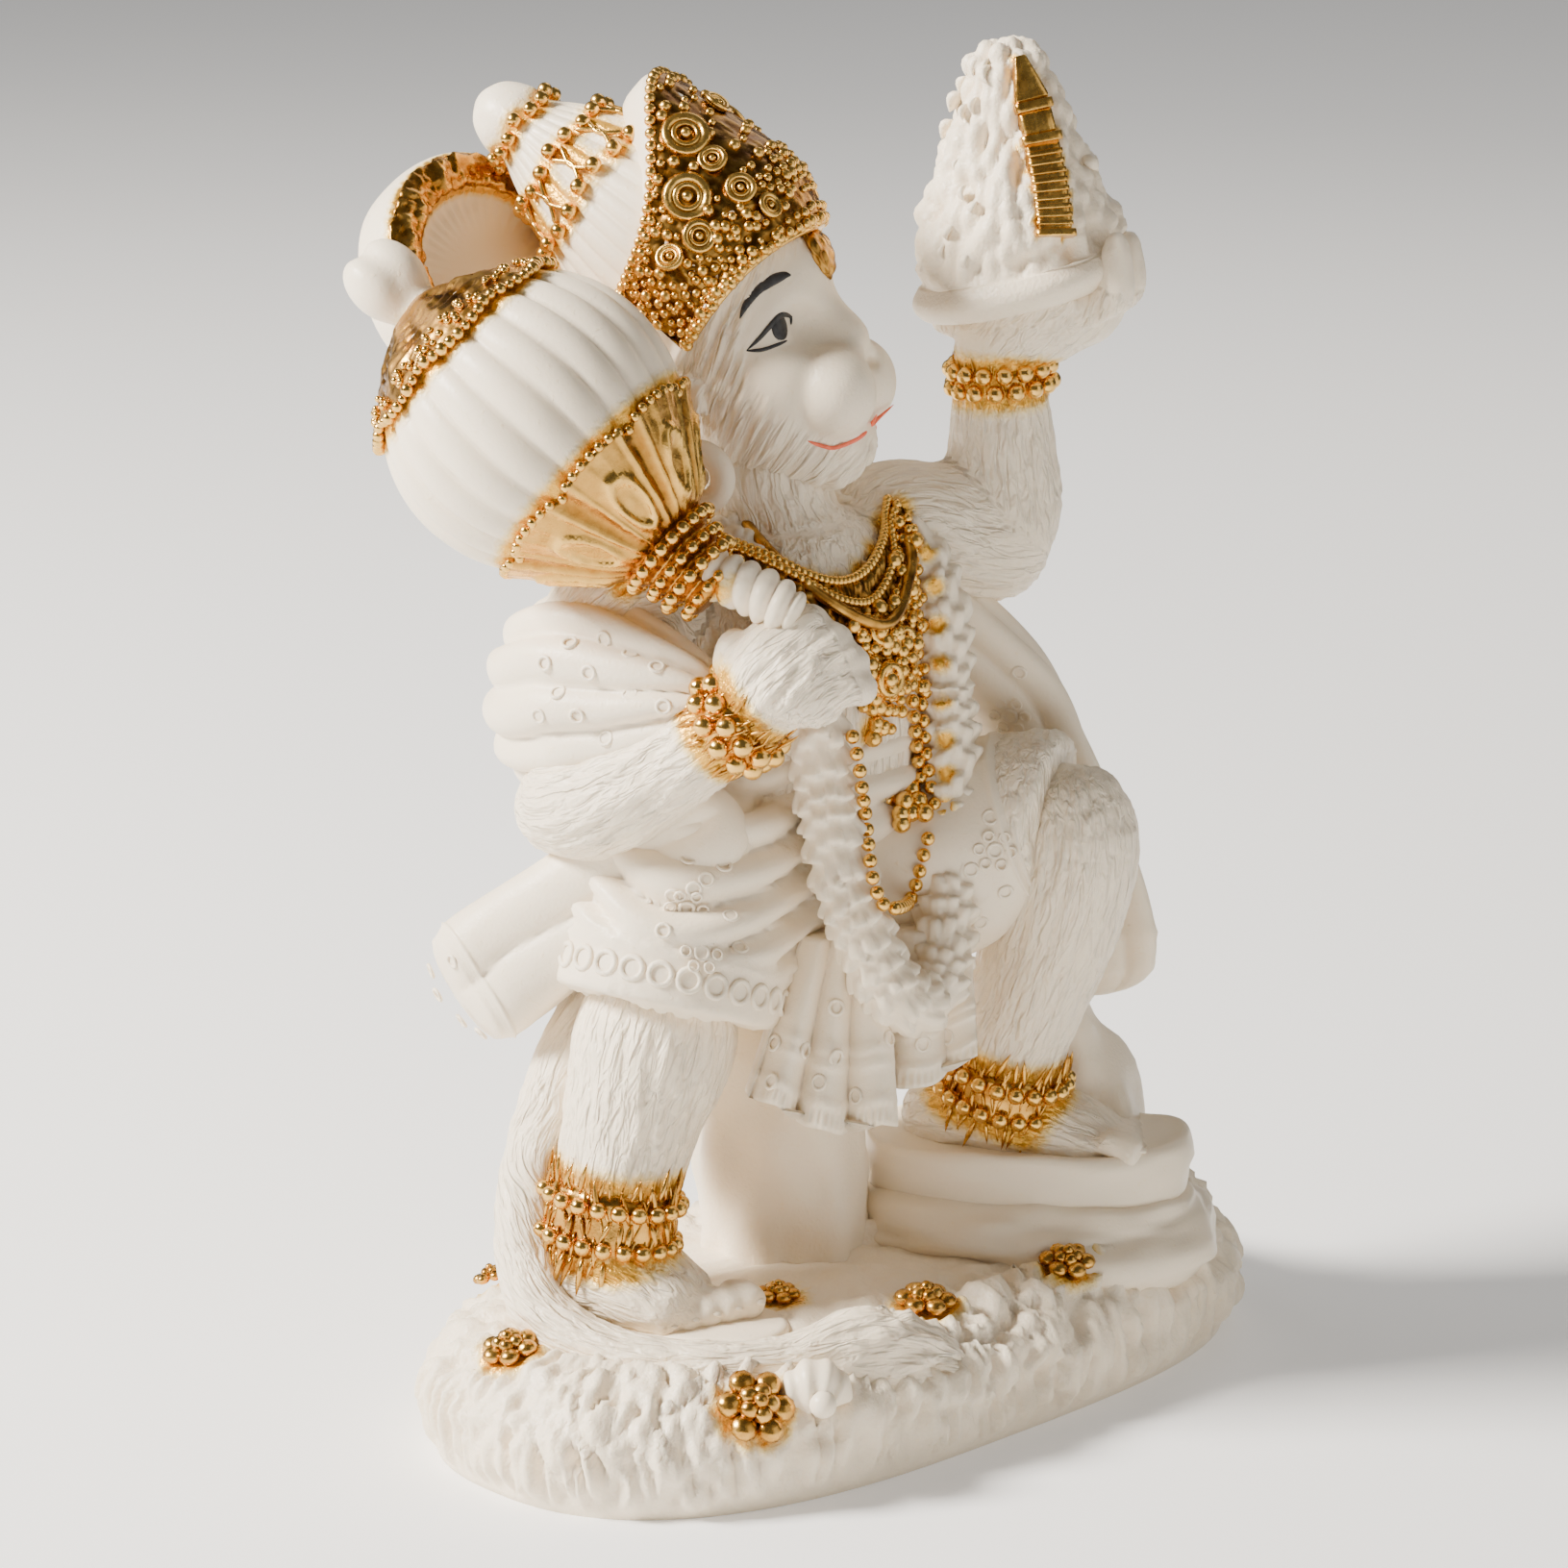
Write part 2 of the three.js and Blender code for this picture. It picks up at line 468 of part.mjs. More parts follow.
function crown() {
  const lean = radians(CROWN_LEAN);
  const axis = forward.clone().multiplyScalar(-Math.sin(lean)).addScaledVector(upward, Math.cos(lean));
  const front = forward.clone().multiplyScalar(Math.cos(lean)).addScaledVector(upward, Math.sin(lean));
  const seat = frame(place(HEAD), forward, leftward, upward)(-0.9 * UNIT, 0, 8.1 * UNIT);
  const scaled = (profile) => profile.map(([r, h]) => [r * UNIT, h * UNIT]);
  const dome = scaled([[0, -2], [12, 0], [12.6, 9], [11.4, 15], [8.6, 22.4],
    [4.4, 29.8], [4.5, 33.6], [3, 36.4], [0, 37.8]]);
  const plate = scaled([[11.4, -0.6], [13.6, -0.9], [15.4, 3.6], [14.6, 10],
    [8.4, 11], [11.4, -0.6]]);
  const taper = (phi) => Math.exp(-((phi / 0.95) ** 2));
  return [
    turned(seat, axis, front, dome, {
      sides: DOME_RIBS * 2,
      relief: (phi, h) => (h < 31 * UNIT ? 1 + 0.025 * Math.cos(DOME_RIBS * phi) : 1),
    }),
    turned(seat, axis, front, plate, {
      sides: 15,
      relief: (phi, h) => (h > 0 ? 0.88 + 0.15 * taper(phi) : 1 - 0.09 * taper(phi)),
      rise: (phi, h) => (h > 9 * UNIT ? 13 * taper(phi) - 1.4 : (h < 0 ? -2.6 * taper(phi) : 0)) * UNIT,
    }),
  ];
}

function halo() {
  const lean = radians(HALO_LEAN);
  const axis = new THREE.Vector3(0, -Math.cos(lean), Math.sin(lean));
  const front = new THREE.Vector3(0, Math.sin(lean), Math.cos(lean));
  const r = HALO_RADIUS;
  const back = -HALO_THICKNESS;
  const profile = [[0, back], [0.84 * r, back], [r, 0.7 * back], [r, -0.06 * r], [0.93 * r, 0],
    [0.68 * r, 0], [0.6 * r, -0.1 * r], [0, -0.1 * r]];
  return [turned(place(HALO), axis, front, profile, { sides: 17 })];
}

// Mace: a ribbed ball with a cap and two leaves above, petals, collars and
// a roped handle below, held in the right hand

function mace() {
  const grip = place(GRIP);
  const centre = place(MACE_HEAD);
  const axis = centre.clone().sub(grip);
  const reach = axis.length();
  axis.normalize();
  const front = new THREE.Vector3(1, 0, 0).projectOnPlane(axis).normalize();
  const R = MACE_RADIUS;
  const h = HANDLE_RADIUS;
  const onBall = (degrees, scale = 1) => [
    R * scale * Math.cos(radians(degrees)), R * scale * Math.sin(radians(degrees))];
  const collars = [[0, -1.66 * R], [0.26 * R, -1.62 * R], [0.22 * R, -1.48 * R], [0.38 * R, -1.38 * R],
    [0.3 * R, -1.24 * R]];
  const petals = [[0.54 * R, -0.98 * R], [0.84 * R, -0.64 * R]];
  const bare = [onBall(-36), onBall(-12), onBall(14), onBall(38)];
  const cap = [onBall(40, 1.04), onBall(64, 1.04), [0.2 * R, 1.04 * R], [0.15 * R, 1.44 * R], [0, 1.44 * R]];
  const ribbed = (phi, along) => (Math.abs(along) < 0.62 * R ? 1 + 0.02 * Math.cos(MACE_RIBS * phi) : 1);
  const rope = [[0, -reach - 9 * UNIT], [0.8 * h, -reach - 8 * UNIT]];
  const turns = 3;
  const ropeEnd = -1.6 * R;
  const ropeStart = -reach - 6 * UNIT;
  for (let i = 0; i <= 2 * turns; i += 1) {
    rope.push([h * (i % 2 ? 1.06 : 0.86), ropeStart + ((ropeEnd - ropeStart) * i) / (2 * turns)]);
  }
  rope.push([0, ropeEnd]);
  const leaf = (turn, width) => {
    const out = front.clone().applyAxisAngle(axis, turn);
    const third = new THREE.Vector3().crossVectors(axis, out);
    const spot = frame(centre.clone().addScaledVector(axis, 1.36 * R), out, third, axis);
    return egg(spot, [1.6, 0, 0], [width, 3.4, 4.4], { sides: 7, rings: 4 });
  };
  return [
    turned(centre, axis, front, [...collars, ...petals, ...bare, ...cap],
      { sides: MACE_RIBS * 2, relief: ribbed }),
    turned(centre, axis, front, rope, { sides: 6 }),
    leaf(radians(150), 2.6),
    leaf(radians(-30), 2.8),
  ];
}

// Hill in the raised hand: a ledge and a rugged cone with a stepped shrine

function hill() {
  const foot = place(HILL_FOOT);
  const axis = place(HILL_TOP).sub(foot);
  const height = axis.length();
  axis.normalize();
  const front = new THREE.Vector3(0, -1, 0).projectOnPlane(axis).normalize();
  const profile = [[0, -1], [11, -0.4], [13, 2.4], [11.8, 4.4], [11.6, 9.4], [9.8, 14.6],
    [7, 20], [4.6, 28], [0, 30.6]];
  const cone = profile.map(([r, z]) => [r * UNIT, z * (height / 30.6)]);
  const rough = (phi, z) => (z > 4 * UNIT
    ? 1 + 0.045 * Math.cos(7 * phi + 1.3 * z / UNIT) + 0.03 * Math.cos(11 * phi - 0.9 * z / UNIT)
    : 1 + 0.03 * Math.cos(4 * phi + 1));
  const parts = [turned(foot, axis, front, cone, { sides: 12, relief: rough })];
  const facing = new THREE.Vector3(-0.25, -0.97, 0).normalize();
  const sideways = new THREE.Vector3(-facing.y, facing.x, 0);
  const steps = 5;
  for (let i = 0; i < steps; i += 1) {
    const share = i / (steps - 1);
    const block = new THREE.BoxGeometry((3.4 - 1.2 * share) * UNIT, 4 * UNIT, 5.4 * UNIT);
    const up = (0.2 + 0.66 * share) * height;
    const out = (10.6 - 7 * share) * UNIT;
    parts.push(solid(reshape(block, (p) => foot.clone().addScaledVector(axis, up + p.z)
      .addScaledVector(facing, out - p.y).addScaledVector(sideways, p.x))));
  }
  return parts;
}

// Garland of petals and the jewellery on the chest

const GARLAND = [[9.6, -7, 70, 3.3, 3.3], [10, -5.6, 80, 3.2, 3.2], [8.6, -0.5, 87.4, 3, 3],
  [3.6, 8.6, 90, 2.8, 2.8], [-4.6, 12.4, 90.5, 2.8, 2.8], [-12, 7.6, 89.4, 2.8, 2.8], [-14.4, -1, 84.4, 3, 3],
  [-13.6, -7.6, 74, 3.3, 3.3], [-12.4, -9.8, 60, 3.6, 3.6], [-11, -12.4, 48, 3.6, 3.6],
  [-7.6, -14.6, 39, 3.7, 3.7], [-3.4, -15.2, 35.8, 3.7, 3.7], [1.6, -14, 38, 3.6, 3.6],
  [5.6, -11.4, 46, 3.5, 3.5], [8.6, -9.4, 56, 3.4, 3.4]];
const COLLAR = [[6.4, -2.4, 87.6, 1.6, 2.6], [2.6, -6.6, 82.6, 1.8, 3], [-2.4, -8.4, 79.4, 1.8, 3.4],
  [-7.6, -7.2, 81.4, 1.8, 3], [-12.4, -2.6, 86.4, 1.6, 2.6], [-11, 5, 91, 1.6, 2], [-4, 11, 92, 1.6, 2],
  [4, 6.6, 91, 1.6, 2]];
const CHAIN = [[-9, -8.6, 66, 1, 1], [-8.6, -9.4, 58, 1, 1], [-6.4, -11.4, 50, 1, 1],
  [-3.6, -12.2, 46.4, 1, 1], [0, -11.2, 49, 1, 1], [3, -9.4, 56, 1, 1], [5.4, -8.6, 65, 1, 1],
  [6.6, -7.6, 75, 1.4, 1.4]];

function ornaments() {
  const petalWave = (t, phi) => 1 + 0.1 * Math.cos(2 * Math.PI * GARLAND_PETALS * t + 2 * Math.sin(phi));
  const [across, inward] = [new THREE.Vector3(1, 0, 0), new THREE.Vector3(0, 1, 0)];
  const hanging = (centre) => frame(place(centre), across, inward, upward);
  return [
    loop(GARLAND, { sides: 5, steps: GARLAND_PETALS * 2, relief: petalWave }),
    loop(COLLAR, { sides: 4, steps: 9 }),
    limb(CHAIN, { side: [0, -1, 0], sides: 4, rings: 6 }),
    egg(hanging([-1.6, -8.4, 73.4]), [0, 0, 0], [4.2, 1.8, 6.4], { sides: 6, rings: 4 }),
    egg(hanging([-1.2, -9, 57.6]), [0, 0, 0], [2.8, 1.6, 2.8], { sides: 6, rings: 4 }),
  ];
}

// Tail, which comes down behind the right leg and round the front, and a
// conch on the grass

const TAIL = [[-14, 16, 44, 4.4, 4.4], [-20, 16.5, 40, 4.2, 4.2], [-28.4, 14.2, 33, 4, 4],
  [-34.8, 13.6, 23, 4, 4], [-38.8, 12.8, 14, 3.8, 3.8], [-42, 9.6, 7, 3.7, 3.7], [-43.8, 4, 2, 3.6, 3.6],
  [-42, -5, -0.8, 3.6, 3.4], [-36, -14.4, -1.4, 3.6, 3.4], [-28, -20, -1.4, 3.8, 3.4],
  [-19, -24, -1.8, 4.8, 3.2], [-10, -27.4, -3.2, 3, 2.2]];

function tailAndConch() {
  const conch = [[-27, -28, -3.2, 1, 1], [-28.6, -27, -2.2, 2.6, 2.4], [-30.2, -26, -1.8, 3.2, 2.8],
    [-32.4, -24.6, -2.2, 2, 2], [-34, -23.6, -2.8, 0.8, 0.8]];
  return [
    limb(TAIL, { side: [0.2, 0.2, 1], sides: 6, rings: 11 }),
    limb(conch, { side: [0, 0, 1], sides: 6, rings: 4 }),
  ];
}

// The casting

const pleatParts = [
  pleats([-10, -7.6, 44], 5, [-12.8, -11.4, 22.8], 9.8, 6, 4, 0.8),
  pleats([2, -10.4, 43], 7, [-1.6, -13.4, 28.4], 7, 5, 3, 0.7),
];

const joined = [
  ...base(), ...flowers(), ...rocks(), ...legs(), ...anklets(), ...hips(), ...pleatParts, ...shawl(),
  ...arms(), ...bracelets(), ...head(), ...crown(), ...halo(), ...mace(), ...hill(), ...ornaments(),
  ...tailAndConch(),
].reduce((whole, piece) => whole.add(piece));

// Pockets that the joined forms close off inside are cast full.
const casting = joined.decompose().reduce((best, shell) => (shell.volume() > best.volume() ? shell : best));

const { vertProperties, triVerts } = casting.getMesh();
const geometry = new THREE.BufferGeometry();
geometry.setAttribute('position', new THREE.BufferAttribute(vertProperties, 3));
geometry.setIndex(new THREE.BufferAttribute(triVerts, 1));
geometry.computeVertexNormals();

const marbleResin = new THREE.MeshStandardMaterial({ color: 0xf4efe6, roughness: 0.42, metalness: 0 });

const figure = new THREE.Mesh(geometry, marbleResin);
figure.name = 'hanuman_figure';

const model = new THREE.Group();
model.add(figure);

export default model;
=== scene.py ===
"""A cast white figure of the monkey deity with gilding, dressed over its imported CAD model.

All tables are in millimetres, in the pose's own frame: the figure looks towards -Y, its left is +X,
and heights count from the ground it stands on. `place` puts them into the row frame.
"""

import logging
import math
from dataclasses import dataclass, field
from enum import Enum
from typing import Callable, Sequence

import bpy
import numpy as np
import openvdb
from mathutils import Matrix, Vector

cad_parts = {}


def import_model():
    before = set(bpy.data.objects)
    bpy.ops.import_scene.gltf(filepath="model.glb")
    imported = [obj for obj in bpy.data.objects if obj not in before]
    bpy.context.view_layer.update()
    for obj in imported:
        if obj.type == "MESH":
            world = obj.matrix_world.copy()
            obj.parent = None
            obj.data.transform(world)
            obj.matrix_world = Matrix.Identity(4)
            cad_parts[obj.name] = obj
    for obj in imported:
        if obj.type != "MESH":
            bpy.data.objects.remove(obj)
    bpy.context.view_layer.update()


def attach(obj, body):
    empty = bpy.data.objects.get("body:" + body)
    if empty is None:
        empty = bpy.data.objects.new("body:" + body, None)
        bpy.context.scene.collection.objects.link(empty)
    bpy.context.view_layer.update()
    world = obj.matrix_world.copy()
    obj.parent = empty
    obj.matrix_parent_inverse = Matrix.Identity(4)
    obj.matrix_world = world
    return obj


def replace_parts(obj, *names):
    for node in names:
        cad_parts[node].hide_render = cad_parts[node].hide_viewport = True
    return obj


log = logging.getLogger("figure")

Array = np.ndarray
Rows = Sequence[Sequence[float]]
Colour = tuple[float, float, float]

MM = 0.001
FIGURE_SHIFT = np.array([1.0, -0.6])
GROUND = 15.0
NODE = "hanuman_figure"
BODY = "root"
RIGHTWARD = np.array([0.719, -0.695, 0.0])


def place(points: Sequence) -> Array:
    """Pose points moved into the row frame: x and y by the figure's shift, z up by the base's height."""
    return np.asarray(points, float)[..., :3] + np.array([*FIGURE_SHIFT, GROUND])


def unit(v: Array) -> Array:
    """The vectors divided by their lengths."""
    v = np.asarray(v, float)
    return v / np.maximum(np.linalg.norm(v, axis=-1, keepdims=True), 1e-12)


def smooth(x: Array, low: float, high: float) -> Array:
    """A smooth step: 3s^2 - 2s^3 of x's share s of the way from low to high."""
    s = np.clip((np.asarray(x, float) - low) / (high - low), 0, 1)
    return s * s * (3 - 2 * s)


def bump_at(x: Array, centre: float, width: float) -> Array:
    """A bell: exp of minus the square of the distance from the centre over the width."""
    return np.exp(-(((np.asarray(x, float) - centre) / width) ** 2))


def turns(count: int, start: float = 0.0) -> Array:
    """Angles an equal step apart, once round, from a share of a step."""
    return (np.arange(count) + start) / count * 2 * np.pi


def circle(turn: Array, first: Array, second: Array) -> Array:
    """Places at those angles on the unit circle between two axes."""
    return np.cos(turn)[:, None] * first + np.sin(turn)[:, None] * second


def rightward(points: Array) -> Array:
    """How far points lie to the right in the photograph, millimetres."""
    return RIGHTWARD[0] * points[..., 0] + RIGHTWARD[1] * points[..., 1]


def crossways(facing: Array) -> Array:
    """A unit direction square to each of these, nearly level."""
    return unit(np.cross(facing, np.array([0.3, 0.2, 1.0])))


def nearest(points: Array, spots: Array) -> Array:
    """The distance from each point to the nearest of the spots."""
    return np.sqrt(((points[:, None] - spots[None]) ** 2).sum(-1)).min(1)


_TABLE = np.random.default_rng(11).random(4096)


def noise(points: Array, size: float | Sequence[float], seed: int = 0) -> Array:
    """Value noise from -1 to 1.

    Each cell corner has a fixed random height, and a point takes the smooth three-way blend of its cell's
    corners.

    Args:
        points: positions, millimetres.
        size: the cell's size, one number or one for each axis.
        seed: picks another field.

    Returns:
        One height for each point.
    """
    p = np.asarray(points, float) / np.asarray(size, float) + 71.3 * seed
    cell = np.floor(p).astype(np.int64)
    f = p - cell
    f = f * f * (3 - 2 * f)
    total = np.zeros(p.shape[:-1])
    for corner in range(8):
        step = np.array([corner & 1, corner >> 1 & 1, corner >> 2 & 1])
        q = cell + step
        height = _TABLE[(q[..., 0] * 1619 + q[..., 1] * 31337 + q[..., 2] * 6971 + seed * 1013) % 4096]
        total += height * np.prod(np.where(step, f, 1 - f), axis=-1)
    return 2 * total - 1


def pebbles(points: Array, size: float, seed: int = 0) -> Array:
    """How far points are from the nearest scattered seed: 0 at a seed, about 1 between them.

    Each cell's seed lies at three fixed random shares of it, and a point looks in its own cell and the 26
    round it.
    """
    p = np.asarray(points, float) / size + 37.7 * seed
    cell = np.floor(p).astype(np.int64)
    best = np.full(p.shape[:-1], 9.0)
    for step in np.stack(np.meshgrid(*[(-1, 0, 1)] * 3, indexing="ij"), -1).reshape(-1, 3):
        q = cell + step
        key = q[..., 0] * 1619 + q[..., 1] * 31337 + q[..., 2] * 6971 + seed * 1013
        spot = q + np.stack([_TABLE[(key + 577 * i) % 4096] for i in range(3)], -1)
        best = np.minimum(best, ((spot - p) ** 2).sum(-1))
    return np.sqrt(best) / 0.9


def fur(across: Array, deep: Array, along: Array, wander: Array, width: float = 1.25, length: float = 6.0,
        seed: int = 0) -> Array:
    """Combed fur from 0 to 1: ridged noise stretched along the limb, which bends with a slow wander.

    Args:
        across, deep, along: millimetres off the limb's middle, both ways, and down it.
        wander: a slow noise that bends the strokes.
        width, length: a stroke's size.
        seed: picks another coat.

    Returns:
        The coat's height at each point, high on the hairs and low in the grooves.
    """
    u, v = across + 1.5 * wander, deep - 1.2 * wander
    a = noise(np.stack([u, v, along + 2.0 * wander], -1), (width, width, length), seed)
    finer = (0.62 * width, 0.62 * width, 0.6 * length)
    b = noise(np.stack([u, v, along - 1.5 * wander], -1), finer, seed + 3)
    return 1 - np.abs(a) * 1.25 - 0.45 * np.abs(b)


# Paths


def spline(rows: Array, t: Array, closed: bool = False) -> Array:
    """A uniform Catmull-Rom curve through the rows, at shares t of its way from the first row to the last.

    Each span is the cubic with half the neighbours' difference as its slope at either end.
    """
    rows = np.asarray(rows, float)
    n = len(rows)
    if closed:
        ring = np.concatenate([rows[-1:], rows, rows[:2]])
        s = (np.asarray(t, float) % 1) * n
        i = np.minimum(s.astype(int), n - 1)
    else:
        ring = np.concatenate([2 * rows[:1] - rows[1:2], rows, 2 * rows[-1:] - rows[-2:-1]])
        s = np.clip(np.asarray(t, float), 0, 1) * (n - 1)
        i = np.minimum(s.astype(int), n - 2)
    w = (s - i)[..., None]
    a, b, c, d = ring[i], ring[i + 1], ring[i + 2], ring[i + 3]
    return 0.5 * (2 * b + (c - a) * w + (2 * a - 5 * b + 4 * c - d) * w**2 + (3 * b - a - 3 * c + d) * w**3)


@dataclass
class Path:
    """A smooth path with a half width and half depth at each place, and square axes that follow `side`."""

    rows: Rows
    side: Sequence[float] = (1, 0, 0)
    closed: bool = False
    placed: bool = False

    def __post_init__(self) -> None:
        """Moves the rows into the row frame."""
        table = np.asarray(self.rows, float)
        if table.shape[1] == 3:
            table = np.concatenate([table, np.ones((len(table), 2))], 1)
        centres = table[:, :3] if self.placed else place(table)
        self.table = np.concatenate([centres, table[:, 3:5]], 1)

    def at(self, t: Array) -> tuple[Array, Array, Array, Array, Array]:
        """Centre, axis along, axis across, axis deep and the two half sizes at shares t."""
        row = spline(self.table, t, self.closed)
        step = 1e-3
        ends = (t - step, t + step) if self.closed else (np.clip(t - step, 0, 1), np.clip(t + step, 0, 1))
        along = unit(spline(self.table, ends[1], self.closed)[..., :3]
                     - spline(self.table, ends[0], self.closed)[..., :3])
        side = np.asarray(self.side, float)
        across = unit(side - along * (along @ side)[..., None])
        deep = np.cross(across, along)
        return row[..., :3], along, across, deep, np.maximum(row[..., 3:5], 1e-3)

    def lengths(self, t: Array) -> Array:
        """The distance along the path at shares t, millimetres."""
        fine = np.linspace(0, 1, 400)
        p = spline(self.table, fine, self.closed)[:, :3]
        run = np.concatenate([[0], np.cumsum(np.linalg.norm(np.diff(p, axis=0), axis=1))])
        return np.interp(t, fine, run)

    def even(self, count: int) -> Array:
        """Shares t of `count` places an equal distance apart."""
        fine = np.linspace(0, 1, 400)
        run = self.lengths(fine)
        stops = np.arange(count) / (count if self.closed else max(count - 1, 1)) * run[-1]
        return np.interp(stops, run, fine)


# Meshes


@dataclass
class Skin:
    """A mesh still in arrays: corners in millimetres, faces as corner numbers, values at the corners."""

    corners: Array
    quads: Array = field(default_factory=lambda: np.zeros((0, 4), int))
    triangles: Array = field(default_factory=lambda: np.zeros((0, 3), int))
    values: dict[str, Array] = field(default_factory=dict)

    def normals(self) -> Array:
        """Corner normals: the sum of the crossed diagonals and edges of the faces round each corner."""
        total = np.zeros_like(self.corners)
        for faces, ends in ((self.quads, (2, 0, 3, 1)), (self.triangles, (1, 0, 2, 0))):
            if len(faces):
                a, b, c, d = (self.corners[faces[:, k]] for k in ends)
                n = np.cross(a - b, c - d)
                for k in range(faces.shape[1]):
                    for axis in range(3):
                        total[:, axis] += np.bincount(faces[:, k], n[:, axis], len(total))
        return unit(total)

    def pushed(self, height: Array) -> "Skin":
        """The skin with each corner moved out along its normal by its height."""
        self.corners = self.corners + self.normals() * np.asarray(height)[:, None]
        return self

    def relaxed(self, rounds: int, share: float = 0.5) -> "Skin":
        """The skin with each corner moved towards the mean of its neighbours, several times over."""
        edges = np.concatenate([self.quads[:, [k, (k + 1) % 4]] for k in range(4)]
                               + [self.triangles[:, [k, (k + 1) % 3]] for k in range(3)])
        n = len(self.corners)
        count = np.maximum(np.bincount(edges[:, 0], minlength=n), 1)[:, None]
        for _ in range(rounds):
            sums = [np.bincount(edges[:, 0], self.corners[edges[:, 1], k], n) for k in range(3)]
            mean = np.stack(sums, 1) / count
            self.corners = self.corners + share * (mean - self.corners)
        return self

    def turned_out(self) -> "Skin":
        """The skin with its faces turned over if it holds a negative volume."""
        tri = np.concatenate([self.triangles, self.quads[:, :3], self.quads[:, [0, 2, 3]]])
        a, b, c = (self.corners[tri[:, k]] for k in range(3))
        if np.einsum("ij,ij->", a, np.cross(b, c)) < 0:
            self.quads = self.quads[:, ::-1]
            self.triangles = self.triangles[:, ::-1]
        return self


def joined(skins: Sequence[Skin]) -> Skin:
    """One skin that holds all of these, with their shared values."""
    names = set.intersection(*(set(s.values) for s in skins))
    offsets = np.cumsum([0] + [len(s.corners) for s in skins])
    return Skin(
        np.concatenate([s.corners for s in skins]),
        np.concatenate([s.quads + o for s, o in zip(skins, offsets)]),
        np.concatenate([s.triangles + o for s, o in zip(skins, offsets)]),
        {k: np.concatenate([s.values[k] for s in skins]) for k in names},
    )


def sheet_of(points: Array, round_u: bool = True, round_v: bool = False, caps: bool = True) -> Skin:
    """The skin over a grid of points, whose rows run along v and whose columns run round u.

    Args:
        points: rows x columns x 3.
        round_u, round_v: whether the last column or row meets the first.
        caps: whether the first and last rows are closed to their middles.

    Returns:
        The skin, its faces turned outwards where it is closed.
    """
    rows, cols = points.shape[:2]
    number = np.arange(rows * cols).reshape(rows, cols)
    a = number if round_v else number[:-1]
    b = np.roll(number, -1, 0) if round_v else number[1:]
    if round_u:
        quads = np.stack([a, np.roll(a, -1, 1), np.roll(b, -1, 1), b], -1)
    else:
        quads = np.stack([a[:, :-1], a[:, 1:], b[:, 1:], b[:, :-1]], -1)
    corners = points.reshape(-1, 3)
    triangles = np.zeros((0, 3), int)
    if caps and round_u and not round_v:
        n = rows * cols
        corners = np.concatenate([corners, points[:1].mean(1), points[-1:].mean(1)])
        first, last = number[0], number[-1]
        triangles = np.concatenate([
            np.stack([np.full(cols, n), np.roll(first, -1), first], -1),
            np.stack([np.full(cols, n + 1), last, np.roll(last, -1)], -1),
        ])
    return Skin(corners, quads.reshape(-1, 4), triangles).turned_out()


def copies(shape: Skin, centres: Array, first: Array, second: Array, third: Array) -> Skin:
    """One skin that repeats a small shape.

    Args:
        shape: the shape.
        centres: where its origin goes.
        first, second, third: the axes that its x, y and z go along, one of each for each centre.

    Returns:
        The skin of all copies.
    """
    axes = np.stack([first, second, third], 1)
    corners = np.einsum("ck,nkj->ncj", shape.corners, axes) + centres[:, None]
    n, size = len(centres), len(shape.corners)
    shift = (np.arange(n) * size)[:, None, None]
    return Skin(corners.reshape(-1, 3), (shape.quads[None] + shift).reshape(-1, 4),
                (shape.triangles[None] + shift).reshape(-1, 3))


def ball(rings: int = 7, sides: int = 12) -> Skin:
    """A unit ball on a grid of latitude and longitude."""
    lat = (np.arange(1, rings) / rings - 0.5) * np.pi
    lon = turns(sides)
    lat, lon = np.meshgrid(lat, lon, indexing="ij")
    points = np.stack([np.cos(lat) * np.cos(lon), np.cos(lat) * np.sin(lon), np.sin(lat)], -1)
    skin = sheet_of(points)
    skin.corners[-2:] = [[0, 0, -1], [0, 0, 1]]
    return skin


def beads(centres: Array, radii: Array | float, fine: bool = True) -> Skin:
    """A ball at each centre."""
    centres = np.atleast_2d(centres)
    r = np.broadcast_to(np.asarray(radii, float), len(centres))[:, None]
    eye = np.eye(3)
    return copies(ball(8, 12) if fine else ball(5, 8), centres, r * eye[0], r * eye[1], r * eye[2])


# Cast forms as distance fields


